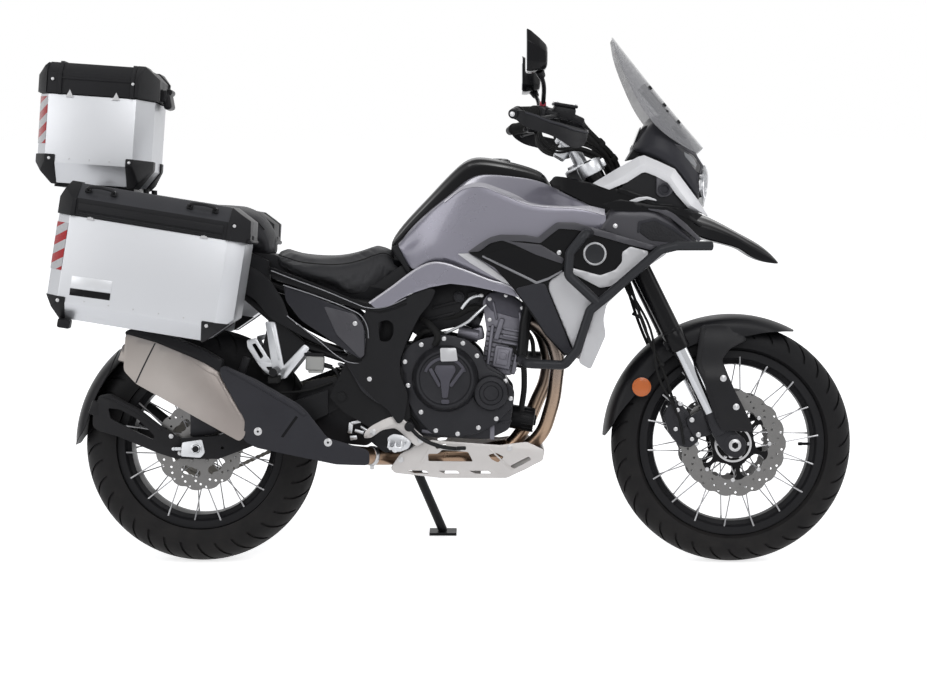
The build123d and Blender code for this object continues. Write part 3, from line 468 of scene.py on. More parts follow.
brushing, brush_in, brush_out = effect("brushed lines",
                                       [("Across X", 4.0), ("Across Y", 4.0), ("Across Z", 400.0),
                                        ("Depth", 0.08)], [("Normal", "Vector"), ("Value", "Float")])
coords = node(brushing, "TexCoord")
stretch = node(brushing, "CombineXYZ", [("X", brush_in.outputs["Across X"]),
                                        ("Y", brush_in.outputs["Across Y"]),
                                        ("Z", brush_in.outputs["Across Z"])])
scaled = node(brushing, "VectorMath", [(0, coords.outputs["Object"]), (1, stretch.outputs[0])],
              operation="MULTIPLY")
lines = node(brushing, "TexNoise", [("Vector", scaled.outputs[0])], Scale=1.0, Detail=4.0)
bump = node(brushing, "Bump", [("Height", lines.outputs["Fac"]), ("Strength", brush_in.outputs["Depth"])],
            Distance=0.0004)
brushing.links.new(bump.outputs["Normal"], brush_out.inputs["Normal"])
brushing.links.new(lines.outputs["Fac"], brush_out.inputs["Value"])
print("effects:", [g.name for g in bpy.data.node_groups])

# %% [markdown]
# One function builds a finish from those effects: a base colour that drifts a little towards a second
# tone, a roughness that wanders between two limits, a grain, and a film of dust near the road.

# %% Finishes
DUST_TONE = (0.30, 0.27, 0.24, 1)


def finish(name, colour, second=None, rough=(0.35, 0.5), metal=0.0, grain_depth=0.08, grain_scale=900.0,
           dusty=0.0, coat=0.0, brushed=None, patch=9.0, specular=0.13):
    """A node material for one finish."""
    material = bpy.data.materials.new(name)
    material.use_nodes = True
    tree = material.node_tree
    shader = tree.nodes["Principled BSDF"]
    second = second or tuple(c * 0.82 for c in colour)
    wander = node(tree, "Group", node_tree=patina, Scale=patch, Low=rough[0], High=rough[1])
    tone = node(tree, "Mix", data_type="RGBA")
    tree.links.new(wander.outputs["Mask"], tone.inputs[0])
    tone.inputs[6].default_value = (*colour, 1)
    tone.inputs[7].default_value = (*second, 1)
    colour_out = tone.outputs[2]
    if dusty:
        film = node(tree, "Group", node_tree=dust, Amount=dusty)
        mix = node(tree, "Mix", data_type="RGBA")
        tree.links.new(film.outputs["Mask"], mix.inputs[0])
        tree.links.new(colour_out, mix.inputs[6])
        mix.inputs[7].default_value = DUST_TONE
        colour_out = mix.outputs[2]
    tree.links.new(colour_out, shader.inputs["Base Color"])
    tree.links.new(wander.outputs["Value"], shader.inputs["Roughness"])
    shader.inputs["Metallic"].default_value = metal
    shader.inputs["Coat Weight"].default_value = coat
    shader.inputs["Coat Roughness"].default_value = 0.06
    shader.inputs["Specular IOR Level"].default_value = 0.5 if metal > 0.4 else specular
    if brushed:
        relief = node(tree, "Group", node_tree=brushing)
        for label, value in zip(("Across X", "Across Y", "Across Z"), brushed):
            relief.inputs[label].default_value = value
    else:
        relief = node(tree, "Group", node_tree=grain, Scale=grain_scale, Depth=grain_depth)
    tree.links.new(relief.outputs["Normal"], shader.inputs["Normal"])
    return material

# %% Paints and mouldings
tank_paint = finish("graphite metallic paint", (0.235, 0.228, 0.275), (0.195, 0.19, 0.23), (0.24, 0.34), 0.5,
                    0.003, 2200, coat=0.6, patch=3)
# A lighter, glossier copy of the tank paint, used as a painted highlight along the creases.
crease_highlight_paint = finish("painted crease highlight", (0.52, 0.51, 0.55), (0.46, 0.45, 0.49), (0.2, 0.3), 0.3, 0.003, 2200,
                    coat=0.6)
# A light grey for thin beads and strips along gloss black edges, as painted edge highlights.
trim_highlight_paint = finish("painted trim edge highlight", (0.30, 0.30, 0.315), (0.22, 0.22, 0.235), (0.2, 0.3), 0.2, 0.05,
                     1500)
band_paint = finish("pearl band paint", (0.86, 0.86, 0.875), (0.80, 0.80, 0.815), (0.28, 0.4), 0.1, 0.02,
                    1800, coat=0.4, patch=4)
milky_plastic = finish("milky reservoir plastic", (0.52, 0.52, 0.50), (0.44, 0.44, 0.42), (0.35, 0.5), 0, 0.1)
black_gloss = finish("gloss black moulding", (0.005, 0.005, 0.006), (0.008, 0.008, 0.009), (0.12, 0.22), 0,
                     0.015, 1500, specular=0.12)
black_plastic = finish("grained black moulding", (0.012, 0.012, 0.013), (0.019, 0.019, 0.021), (0.36, 0.5), 0,
                       0.25, 1300)
grey_plastic = finish("dark grey moulding", (0.030, 0.030, 0.036), (0.042, 0.042, 0.048), (0.3, 0.42), 0, 0.2,
                      1300)
cover_grey = finish("mid grey moulding", (0.078, 0.076, 0.086), (0.06, 0.059, 0.067), (0.26, 0.36), 0.1, 0.12,
                    1500, specular=0.3)
guard_plastic = finish("mudguard moulding", (0.0075, 0.0075, 0.009), (0.012, 0.012, 0.014), (0.34, 0.46), 0,
                       0.22, 1200, dusty=0.05, specular=0.18)
silver_paint = finish("silver paint", (0.56, 0.56, 0.575), (0.50, 0.50, 0.515), (0.28, 0.4), 0.35, 0.02, 1800,
                      coat=0.4, patch=4)
black_metal = finish("black powder coat", (0.012, 0.012, 0.013), (0.02, 0.02, 0.022), (0.3, 0.45), 0.1, 0.2,
                     1600)
frame_paint = finish("frame paint", (0.010, 0.010, 0.011), (0.017, 0.017, 0.018), (0.26, 0.4), 0.1, 0.1, 1500)
bar_paint = finish("guard tube paint", (0.026, 0.027, 0.030), (0.04, 0.041, 0.045), (0.3, 0.42), 0.2, 0.15,
                   1600)

# %% Rubber and metals
rubber = finish("rubber", (0.012, 0.012, 0.012), (0.02, 0.02, 0.02), (0.6, 0.8), 0, 0.3, 700)
tyre_rubber = finish("tyre rubber", (0.006, 0.006, 0.007), (0.011, 0.011, 0.012), (0.46, 0.66), 0, 0.3, 500,
                     dusty=0.07, patch=14)
cast_alloy = finish("cast grey alloy", (0.20, 0.195, 0.225), (0.13, 0.127, 0.15), (0.36, 0.52), 0.5, 0.35,
                    700, patch=20)
dark_alloy = finish("head cover alloy", (0.09, 0.088, 0.105), (0.065, 0.063, 0.076), (0.36, 0.5), 0.4, 0.4,
                    600, patch=18)
dark_cast = finish("dark cast cover", (0.022, 0.022, 0.025), (0.038, 0.038, 0.042), (0.3, 0.44), 0.35, 0.3,
                   800, patch=18)
bare_alloy = finish("bare alloy", (0.62, 0.63, 0.65), (0.5, 0.51, 0.53), (0.3, 0.46), 0.9, 0.15, 900,
                    patch=22)
guard_alloy = finish("brushed guard plate", (0.58, 0.56, 0.55), (0.50, 0.48, 0.47), (0.34, 0.5), 0.7,
                     brushed=(5, 60, 420), dusty=0.12)
bright_steel = finish("bright steel", (0.72, 0.73, 0.75), (0.6, 0.61, 0.63), (0.14, 0.26), 1.0, 0.03, 1500)
bolt_steel = finish("plated bolt", (0.55, 0.55, 0.56), (0.4, 0.4, 0.41), (0.25, 0.4), 1.0, 0.08, 1200,
                    patch=60)
spoke_steel = finish("spoke steel", (0.36, 0.36, 0.37), (0.26, 0.26, 0.27), (0.25, 0.4), 1.0, 0.05, 1500)
fork_chrome = finish("fork chrome", (0.50, 0.51, 0.53), (0.42, 0.43, 0.45), (0.1, 0.2), 1.0, 0.02, 1500)
disc_steel = finish("brake disc steel", (0.20, 0.197, 0.195), (0.14, 0.138, 0.136), (0.26, 0.38), 1.0,
                    brushed=(160, 4, 160), patch=16)
chain_steel = finish("oiled chain steel", (0.20, 0.19, 0.17), (0.1, 0.095, 0.085), (0.3, 0.5), 0.9, 0.2, 900,
                     patch=40)

# %% Cases and lenses
case_alloy = finish("case aluminium", (0.60, 0.61, 0.635), (0.55, 0.56, 0.58), (0.32, 0.44), 0.7,
                    brushed=(3, 3, 500), patch=3)
case_plastic = finish("case corner moulding", (0.012, 0.012, 0.013), (0.02, 0.02, 0.022), (0.36, 0.5), 0, 0.3,
                      1100)
case_grey = finish("case lid coating", (0.045, 0.046, 0.050), (0.06, 0.06, 0.066), (0.32, 0.46), 0.2, 0.25,
                   1400)
lamp_glass = finish("smoked lens", (0.03, 0.03, 0.034), (0.02, 0.02, 0.024), (0.05, 0.1), 0, 0.01, 400,
                    coat=1)
chrome_reflector = finish("lamp reflector", (0.8, 0.8, 0.82), None, (0.08, 0.14), 1.0, 0.02, 900)
amber_lens = finish("amber lens", (0.72, 0.17, 0.02), (0.6, 0.12, 0.01), (0.14, 0.24), 0, 0.3, 420, coat=0.8)
red_lens = finish("red lens", (0.45, 0.012, 0.01), (0.35, 0.01, 0.01), (0.12, 0.2), 0, 0.3, 420, coat=0.8)
red_ring = finish("red anodised ring", (0.5, 0.07, 0.10), None, (0.3, 0.4), 0.4, 0.05)
plate_white = finish("blank plate", (0.62, 0.62, 0.6), None, (0.35, 0.45), 0, 0.05)
print("finishes:", len(bpy.data.materials))

# %% [markdown]
# A few finishes need more than that: seat vinyl has a leather-like cell grain, the screen is tinted
# acrylic, the exhaust blues and browns with heat, and the reflective strips are red bands on silver.

# %% Seat vinyl, screen and glass
def cell_finish(name, colour, second, scale, depth, rough):
    """A soft cover whose grain is small rounded cells."""
    material = finish(name, colour, second, rough, grain_depth=0.1, patch=7)
    tree = material.node_tree
    shader = tree.nodes["Principled BSDF"]
    coords = node(tree, "TexCoord")
    cells = node(tree, "TexVoronoi", [("Vector", coords.outputs["Object"])], Scale=scale, feature="F1")
    relief = node(tree, "Bump", [("Height", cells.outputs["Distance"])], Strength=depth, Distance=0.0006)
    tree.links.new(relief.outputs["Normal"], shader.inputs["Normal"])
    return material


seat_vinyl = cell_finish("seat vinyl", (0.044, 0.044, 0.046), (0.056, 0.056, 0.059), 620, 0.35, (0.46, 0.6))
pillion_vinyl = cell_finish("pillion vinyl", (0.032, 0.032, 0.035), (0.045, 0.045, 0.048), 620, 0.35,
                            (0.46, 0.6))
mesh_cloth = cell_finish("honeycomb grille", (0.012, 0.012, 0.013), (0.05, 0.05, 0.055), 160, 1.0, (0.4, 0.6))

screen_acrylic = finish("tinted acrylic", (0.36, 0.36, 0.375), (0.33, 0.33, 0.345), (0.03, 0.06), 0, 0.0, 300,
                        specular=0.5)

pale_lens = finish("clear lamp lens", (0.62, 0.63, 0.65), (0.56, 0.57, 0.59), (0.04, 0.09), 0, 0.01, 400)
for sheet, cover in ((screen_acrylic, 0.52), (pale_lens, 0.42)):
    sheet.node_tree.nodes["Principled BSDF"].inputs["Alpha"].default_value = cover

mirror_glass = finish("mirror glass", (0.72, 0.74, 0.76), None, (0.02, 0.04), 1.0, 0.0, 300)
display_glass = finish("display glass", (0.012, 0.014, 0.018), (0.02, 0.022, 0.028), (0.04, 0.08), 0, 0.0,
                       300, coat=1)

# %% Steel that colours with heat
def banded(name, base, others, axis, start, finish_at, metal, rough, brushed, dusty=0.0):
    """A steel whose colour changes along one axis, from one place to another."""
    material = finish(name, base, None, rough, metal, brushed=brushed, dusty=dusty)
    tree = material.node_tree
    shader = tree.nodes["Principled BSDF"]
    coords = node(tree, "TexCoord")
    parts = node(tree, "SeparateXYZ", [("Vector", coords.outputs["Object"])])
    place = node(tree, "MapRange", [("Value", parts.outputs[axis])])
    place.inputs["From Min"].default_value = start
    place.inputs["From Max"].default_value = finish_at
    wave = node(tree, "TexNoise", [("Vector", coords.outputs["Object"])], Scale=14.0, Detail=5.0)
    drift = node(tree, "Math", [(0, wave.outputs["Fac"])], operation="MULTIPLY_ADD")
    drift.inputs[1].default_value = 0.3
    tree.links.new(place.outputs["Result"], drift.inputs[2])
    ramp = node(tree, "ValToRGB", [("Fac", drift.outputs[0])])
    ramp.color_ramp.elements[0].color = (*base, 1)
    ramp.color_ramp.elements[1].color = (*others[-1], 1)
    for number, colour in enumerate(others[:-1]):
        element = ramp.color_ramp.elements.new((number + 1) / len(others))
        element.color = (*colour, 1)
    tree.links.new(ramp.outputs["Color"], shader.inputs["Base Color"])
    return material


header_steel = banded("heated header steel", (0.24, 0.155, 0.105), [(0.34, 0.24, 0.17), (0.22, 0.18, 0.155)],
                      "Z", 0.25, 0.62, 1.0, (0.24, 0.36), (3, 90, 3))
silencer_steel = banded("brushed silencer steel", (0.30, 0.27, 0.25),
                        [(0.37, 0.34, 0.32), (0.27, 0.24, 0.225)], "X", -0.88, -0.55, 0.85, (0.3, 0.42),
                        (50, 50, 260))

# %% Reflective strips
stripes = finish("reflective strip", (0.66, 0.66, 0.66), None, (0.2, 0.32), 0.1, 0.25, 420, coat=0.5)
tree = stripes.node_tree
coords = node(tree, "TexCoord")
slant = node(tree, "VectorMath", [(0, coords.outputs["Object"])], operation="DOT_PRODUCT")
STRIPES_PER_METRE = (0.0, 13.0, 20.0)
slant.inputs[1].default_value = STRIPES_PER_METRE
part = node(tree, "Math", [(0, slant.outputs["Value"])], operation="FRACT")
red = node(tree, "Math", [(0, part.outputs[0])], operation="GREATER_THAN")
red.inputs[1].default_value = 0.5
colours = node(tree, "Mix", [(0, red.outputs[0])], data_type="RGBA")
colours.inputs[6].default_value = (0.55, 0.55, 0.56, 1)
colours.inputs[7].default_value = (0.42, 0.012, 0.018, 1)
tree.links.new(colours.outputs[2], tree.nodes["Principled BSDF"].inputs["Base Color"])
print("finishes:", len(bpy.data.materials))

# %% [markdown]
# ## Tank
# The tank is a black core that swells from the seat to the headstock, with long ridges over its top.
# Two painted side panels are clipped over it, and each one has a shoulder crease that catches the
# light, with a strip of lighter paint along it as a painted highlight. The core is a grid laid on cross
# sections, because a section every few centimetres is enough to carry the ridges along the whole
# length.

# %% Rounded outlines and plates
def rounded(points, radius=8.0, steps=3):
    """An (x, z) outline whose corners are rounded by a radius in mm."""
    made = []
    for i, point in enumerate(points):
        here = Vector(point)
        before, after = Vector(points[i - 1]) - here, Vector(points[(i + 1) % len(points)]) - here
        if not radius or before.angle(after) > math.radians(168):
            made.append(tuple(here))
            continue
        start = here + before.normalized() * min(radius, before.length * 0.4)
        end = here + after.normalized() * min(radius, after.length * 0.4)
        for step in range(steps + 1):
            t = step / steps
            made.append(tuple(start * (1 - t)**2 + here * 2 * t * (1 - t) + end * t**2))
    return made


def slab(points, side, wall, bevel=0, radius=0, steps=3, spacing=0):
    """A thick panel on one side only, its outline rounded where a radius is given."""
    outline = rounded(points, radius, steps) if radius else points
    return panel(outline, side, wall, spacing, bevel, mirror=False)


def plate(name, points, side, finish, body="chassis", wall=3.0, spacing=30.0, bevel=1.2, radius=6.0,
          mirror=True, replaces=()):
    """One traced body panel, rounded, finished and riding on its body."""
    obj = panel(rounded(points, radius), side, wall, spacing, bevel, mirror)
    return finished(obj, name, body, finish, replaces)


def stations(first, last, count):
    return [first + (last - first) * i / (count - 1) for i in range(count)]

# %% The tank's tables
TANK_TOP = [(-212, 873), (-179, 921), (-97, 1009), (-57, 1052), (-16, 1092), (8, 1108), (38, 1112),
            (92, 1104), (146, 1092), (192, 1077), (215, 1066), (236, 1026), (262, 973), (286, 925)]
PANEL_TOP = [(-184, 873), (-150, 916), (-96, 967), (-42, 1010), (0, 1046), (38, 1062), (119, 1058),
             (199, 1044), (253, 1018), (306, 991), (376, 957)]
CREASE_Z = [(-184, 868), (-96, 956), (-42, 998), (-12, 1020), (38, 1028), (92, 1010), (178, 978), (306, 968),
            (376, 950)]
PANEL_FOOT = [(-184, 866), (-147, 798), (-123, 814), (-96, 826), (-69, 826), (-15, 811), (38, 790),
              (129, 757), (220, 800), (300, 862), (376, 920)]
TOP_EDGE_Y = [(-212, 84), (-96, 112), (38, 112), (199, 119), (253, 130), (306, 148), (376, 160)]
CREASE_Y = [(-184, 100), (-96, 133), (-15, 151), (38, 160), (178, 170), (306, 170), (376, 168)]
BELLY_Y = [(-184, 103), (-96, 143), (0, 163), (178, 172), (306, 170), (376, 166)]
FOOT_Y = [(-184, 105), (-147, 118), (-96, 138), (0, 159), (129, 167), (300, 165), (376, 161)]


def core_section(x):
    """The tank core's left half at one station, from the top ridge down to the tunnel."""
    top = along(TANK_TOP, x)
    edge = min(along(PANEL_TOP, x), top - 6)
    wide = along(TOP_EDGE_Y, x)
    crease_z, belly_y = min(along(CREASE_Z, x), edge - 2), along(BELLY_Y, x)
    foot = 801
    half = [(0.0, top), (wide * 0.42, top - 1.5), (wide * 0.60, top - 7), (wide * 0.64, top - 13),
            (wide * 0.76, top - 16 + 0.1 * (edge - top)), (wide * 0.84, top * 0.5 + edge * 0.5),
            (wide * 0.88, top * 0.36 + edge * 0.64 - 2), (wide * 0.97, edge + 3), (wide - 2, edge - 8),
            (along(CREASE_Y, x) - 8, crease_z - 8), (belly_y - 9, (crease_z + foot) / 2),
            (belly_y - 16, foot + 20), (belly_y - 40, foot), (40, foot)]
    return [(x, y, z) for y, z in mirror_half(half)]


# %% Tank core
core = skin([core_section(x) for x in stations(-208, 286, 22)], levels=1)
finished(core, "tank_core", "chassis", black_gloss, replaces=["fuel_tank"], angle=42)
print("tank core:", len(core.data.polygons), "faces")
show_new()

# %% [markdown]
# The side panels are strips of the same length with five rows: the top edge, both sides of the shoulder
# crease, the belly and the foot. Close rows keep the crease sharp when the strip is subdivided.

# %% Tank side panels
def panel_section(x):
    top, crease, foot = along(PANEL_TOP, x), along(CREASE_Z, x), along(PANEL_FOOT, x)
    crease = min(crease, top - 4)
    foot = min(foot, crease - 3)
    edge_y, crease_y, belly_y = along(TOP_EDGE_Y, x) + 2, along(CREASE_Y, x), along(BELLY_Y, x)
    rows = [(edge_y - 8, top - 1), (edge_y, top - 2),
            (edge_y + (crease_y - edge_y) * 0.5, (top + crease) / 2), (crease_y - 9, crease + 7),
            (crease_y - 1, crease + 1), (crease_y, crease - 3), (belly_y, crease * 0.55 + foot * 0.45),
            (along(FOOT_Y, x), foot + 2), (along(FOOT_Y, x) - 5, foot)]
    return [(x, -y, z) for y, z in rows]


side = skin([panel_section(x) for x in stations(-184, 376, 29)], closed=False, levels=0)
tidy_mesh(side)
if sum(f.normal.y * f.area for f in side.data.polygons) > 0:
    edit(side, lambda: bpy.ops.mesh.flip_normals())
walled(side, 2.5, -1)
modify(side, "SUBSURF", levels=1, render_levels=1)
both_sides(side)
finished(side, "tank_side_panels", "chassis", tank_paint, angle=30)
print("side panels:", len(side.data.polygons), "faces")
show_new()

# %% Painted highlight along the shoulder crease, in a lighter paint on a narrow fold facet
FOLD_WIDTH = [(-60, 1.5), (-20, 5), (30, 9), (90, 11), (140, 11), (170, 4), (250, 3), (300, 5), (330, 12),
              (370, 15)]


def fold_section(x):
    crease = min(along(CREASE_Z, x), along(PANEL_TOP, x) - 4)
    wide, crease_y = along(FOLD_WIDTH, x), along(CREASE_Y, x)
    return [(x, -(crease_y - wide * 0.75), crease + wide),
            (x, -(crease_y + 1.4 - wide * 0.3), crease + wide * 0.45), (x, -(crease_y + 1.2), crease - 1.5),
            (x, -(crease_y - 2), crease - 3)]


# The narrow fold facet gets the lighter paint: a painted highlight along the crease.
fold = skin([fold_section(x) for x in stations(-58, 372, 30)], closed=False, levels=0)
walled(fold, 2)
finished(both_sides(fold), "tank_shoulder_fold_highlights", "chassis", crease_highlight_paint, angle=50)
show_new()

# %% Filler cap and rear tank trim
cap = disc_stack((0, 0), [(36, 0, 6), (31, 6, 9), (12, 9, 11)], side=1, bevel=1.5)
CAP_PLACE, CAP_TILT = (0.085, 0, 1.096), math.radians(98)
cap.data.transform(Matrix.Translation(CAP_PLACE) @ Matrix.Rotation(CAP_TILT, 4, "X"))
finished(cap, "filler_cap", "chassis", black_metal)
trim = [(-186, 872), (-150, 800), (-158, 795), (-204, 862)]
plate("tank_rear_trim", trim, lambda x, z: along(BELLY_Y, x) + 3, black_plastic, wall=6, spacing=0, bevel=2)
show_new()

# %% [markdown]
# ## Seats
# Both seats are foam under a stretched vinyl cover. A closed form is laid on sections a little smaller
# than the seat, and cloth pressure then swells it, so that the cover pulls tight over its edges.

# %% Padding by cloth pressure
CLOTH_FRAMES = 20


def padded(obj, cap_mm, voxel=5.0, pressure=4.0):
    """Blow a closed form up as sewn foam; a vertex may move at most so many mm."""
    modify(obj, "REMESH", mode="VOXEL", voxel_size=voxel * MM)
    start = [v.co.copy() for v in obj.data.vertices]
    pick(obj)
    cloth = obj.modifiers.new("Cloth", "CLOTH")
    cloth.settings.use_pressure = True
    cloth.settings.uniform_pressure_force = pressure
    cloth.settings.effector_weights.gravity = 0
    for number in range(1, CLOTH_FRAMES + 1):
        bpy.context.scene.frame_set(number)
    bpy.ops.object.modifier_apply(modifier="Cloth")
    for vertex, was in zip(obj.data.vertices, start):
        moved = vertex.co - was
        if moved.length > cap_mm * MM:
            vertex.co = was + moved.normalized() * cap_mm * MM
    bpy.context.scene.frame_set(1)
    return modify(obj, "SUBSURF", levels=1, render_levels=1)


def seat_section(x, top, low, wide, crown, shrink=3.0):
    """A seat's section: a crowned top, a rounded shoulder and a skirt that pulls in."""
    w, t, l = along(wide, x) - shrink, along(top, x) - shrink, along(low, x) + shrink
    h = t - l
    half = [(0.0, t), (w * 0.4, t - crown * 0.15), (w * 0.72, t - crown * 0.55),
            (w * 0.92, t - crown - h * 0.08), (w, t - crown - h * 0.28), (w * 0.985, l + h * 0.25),
            (w * 0.94, l), (w * 0.5, l)]
    return [(x, y, z) for y, z in mirror_half(half)]

# %% Both seats
RIDER_TOP = [(-522, 858), (-505, 861), (-458, 845), (-400, 838), (-345, 838), (-293, 848), (-250, 864),
             (-228, 870), (-212, 865), (-180, 834), (-152, 808)]
RIDER_LOW = [(-522, 822), (-475, 796), (-420, 774), (-360, 752), (-313, 732), (-262, 730), (-232, 745),
             (-192, 770), (-152, 800)]
RIDER_WIDE = [(-522, 126), (-430, 148), (-340, 140), (-280, 122), (-220, 94), (-152, 76)]
rider = skin([seat_section(x, RIDER_TOP, RIDER_LOW, RIDER_WIDE, 14) for x in stations(-520, -154, 20)],
             levels=1)
padded(rider, 9, 5)
finished(rider, "rider_seat_cushion", "chassis", seat_vinyl, replaces=["rider_seat"], angle=60)
print("rider seat:", len(rider.data.polygons), "faces")

PILLION_TOP = [(-850, 984), (-775, 981), (-700, 977), (-640, 974), (-595, 969), (-565, 957), (-543, 930),
               (-527, 893), (-520, 868)]
PILLION_LOW = [(-850, 932), (-700, 889), (-600, 860), (-560, 846), (-535, 834), (-520, 836)]
PILLION_WIDE = [(-850, 90), (-700, 118), (-600, 127), (-520, 124)]
pillion = skin([seat_section(x, PILLION_TOP, PILLION_LOW, PILLION_WIDE, 16)
                for x in stations(-848, -521, 18)], levels=1)
padded(pillion, 9, 5)
finished(pillion, "passenger_seat_cushion", "chassis", pillion_vinyl, replaces=["passenger_seat"], angle=60)
print("passenger seat:", len(pillion.data.polygons), "faces")
show_new()

# %% Seat piping
def seat_line(top, wide, crown, first, last, count):
    """The seam where the seat's top meets its side, from the rear round to the front."""
    points = []
    for x in stations(first, last, count):
        h = along(top, x) - along(RIDER_LOW if top is RIDER_TOP else PILLION_LOW, x)
        points.append((x, -along(wide, x) * 0.93, along(top, x) - crown - h * 0.06))
    return points


for label, top, wide, crown, ends in (("rider", RIDER_TOP, RIDER_WIDE, 14, (-508, -190)),
                                      ("passenger", PILLION_TOP, PILLION_WIDE, 16, (-838, -545))):
    seam = both_sides(pipe(seat_line(top, wide, crown, *ends, 12), 1.6, sides=2))
    finished(seam, f"{label}_seat_piping", "chassis", rubber)
show_new()

# %% [markdown]
# ## Side panels behind the knee
# The lower tank cover, the double trim line under the seat, the frame cover with its window and the
# side cover with its raised facet are all moulded sheets. A facet is a surface made of two planes that
# meet along a crease.

# %% Knee and frame covers
def folded(base, start, end, rear_slope, front_slope):
    """Two planes that meet along a crease from one (x, z) point to another."""
    a, way = Vector(start), (Vector(end) - Vector(start)).normalized()

    def reach(x, z):
        off = (x - a.x) * way.y - (z - a.y) * way.x
        return base - abs(off) * (front_slope if off > 0 else rear_slope)
    return reach


KNEE_TOP = [(-260, 717), (-203, 757), (-145, 800), (-122, 814), (-96, 824), (-69, 825), (-15, 809), (60, 780),
            (129, 755), (146, 728)]
KNEE_LOW = [(105, 741), (65, 750), (11, 761), (-42, 767), (-96, 757), (-144, 741), (-176, 725), (-203, 707),
            (-243, 701)]


def knee_reach(x, z):
    """Flat beside the tank, rolled in along its lower edge."""
    return 170 - 0.0016 * max(0.0, along(KNEE_TOP, x) - 40 - z)**2


plate("knee_covers", KNEE_TOP + KNEE_LOW, knee_reach, tank_paint, spacing=12, bevel=1.5,
      replaces=["side_covers"])
# A thin bead along the cover's top edge in the lighter crease paint: a painted highlight line.
knee_highlight_bead = pipe([(x + 1, -169, z - 3) for x, z in KNEE_TOP], 3.4, resolution=8)
finished(both_sides(knee_highlight_bead), "knee_cover_highlight_beads", "chassis", crease_highlight_paint)
FRAME_COVER = [(-258, 716), (-243, 699), (-204, 704), (-177, 723), (-144, 739), (-96, 755), (-80, 749),
               (-96, 714), (-123, 682), (-144, 642), (-163, 601), (-177, 561), (-177, 521), (-155, 467),
               (-166, 400), (-182, 387), (-209, 427), (-244, 454), (-284, 494), (-324, 556), (-279, 556),
               (-268, 601), (-271, 642), (-281, 669)]
cover = slab(FRAME_COVER, lambda x, z: 163.5 - 0.0002 * (x + 215)**2, 3, 1.5, 10, spacing=26)
window = slab([(-237, 663), (-209, 670), (-194, 658), (-194, 631), (-206, 611), (-231, 611)], 175, 40, 0, 9)
cut_out(cover, window)
both_sides(cover)
finished(cover, "frame_covers", "chassis", black_plastic)

SIDE_COVER = [(-490, 765), (-445, 747), (-391, 725), (-324, 698), (-297, 688), (-281, 669), (-271, 642),
              (-269, 602), (-279, 562), (-324, 588), (-445, 669), (-485, 722)]
plate("side_panels", SIDE_COVER, folded(170, (-380, 701), (-278, 561), 0.05, 0.16), grey_plastic, spacing=14,
      radius=12)
FACET = [(-382, 707), (-298, 685), (-274, 652), (-272, 574), (-284, 567), (-347, 630)]
plate("side_panel_facets", FACET, lambda x, z: 171.5 + 0.02 * (x + 300), cover_grey, wall=6, spacing=0,
      bevel=1.6, radius=8)
BACKING = [(-262, 680), (-180, 688), (-172, 630), (-196, 592), (-256, 596)]
finished(slab(BACKING, 112, 224, 2), "frame_cover_backing", "chassis", black_plastic)
plate("pivot_covers", [(-324, 556), (-279, 551), (-236, 545), (-200, 518), (-180, 486), (-180, 456),
                       (-203, 436), (-236, 443), (-279, 475)],
      folded(160, (-324, 556), (-203, 436), 0.03, 0.06), dark_cast, spacing=20, radius=14)
show_new()

# %% Trim lines and tail sides
UPPER_LINE = [(-530, 813), (-445, 783), (-364, 751), (-297, 722), (-262, 711), (-230, 706), (-192, 716),
              (-160, 730)]
for number, (drop, wide, out) in enumerate(((0, 7, 167), (13, 6, 165))):
    line = [(x, z - drop) for x, z in UPPER_LINE]
    back = [(x + 2, z - drop - wide) for x, z in reversed(UPPER_LINE)]
    plate(f"seat_trim_{number}", line + back, out, black_gloss, wall=8, spacing=0, bevel=2.5, radius=3)
plate("trim_backing", [(-530, 808), (-297, 716), (-230, 700), (-170, 722), (-176, 706), (-232, 686),
                       (-297, 700), (-522, 782)], 161, black_plastic, spacing=0)
# Thin light grey beads along the trim edges: painted highlights on the gloss black trims.
TRIM_HIGHLIGHT_LINES = [[(-523, 802), (-456, 776), (-382, 749), (-298, 714), (-268, 703), (-228, 702), (-194, 712),
               (-160, 728)], [(-490, 763), (-397, 732), (-308, 696), (-283, 682), (-265, 652), (-261, 620)],
              [(-481, 680), (-407, 623), (-328, 561), (-308, 554), (-258, 553)]]
highlight_beads = [pipe([(x, -reach, z) for x, z in line], 1.5, resolution=6, sides=2)
         for line, reach in zip(TRIM_HIGHLIGHT_LINES, (167.5, 169, 161))]
finished(both_sides(highlight_beads), "trim_highlight_beads", "chassis", trim_highlight_paint)
SEAT_BASE = [(-575, 850), (-520, 846), (-450, 815), (-330, 775), (-250, 762), (-176, 815), (-140, 812),
             (-158, 736), (-250, 700), (-330, 715), (-470, 772), (-560, 812)]
finished(slab(SEAT_BASE, 106, 212, 3), "seat_base", "chassis", black_plastic)
TAIL_SIDE = [(-610, 826), (-560, 803), (-527, 776), (-492, 722), (-473, 668), (-365, 601), (-325, 584),
             (-365, 588), (-446, 628), (-527, 674), (-567, 722), (-607, 749)]
plate("tail_side_covers", TAIL_SIDE, lambda x, z: 152 + 0.03 * (x + 610), black_plastic, wall=4, spacing=30,
      bevel=2)
show_new()

# %% [markdown]
# ## Radiator shrouds
# Each shroud is a stack of moulded sheets: silver panels at the back, the black wedge over them, a
# grooved blade and a dark edge trim outside. All of them follow one side surface, so each only needs
# its outline and how far it stands off that surface.

# %% Shroud surface
def shroud_reach(off):
    """The shroud's side surface, moved out or in by so many mm."""
    table = [(0, 176), (60, 187), (150, 197), (250, 203), (350, 203), (450, 196), (545, 180)]

    def reach(x, z):
        return along(table, x) + off - 0.00075 * max(0.0, 800 - z)**2 * 0.55
    return reach


def raised(inner, off):
    """The shroud surface crossed by a fold, so that its two halves catch the light differently."""
    base = shroud_reach(off)

    def reach(x, z):
        return base(x, z) + inner(x, z)
    return reach


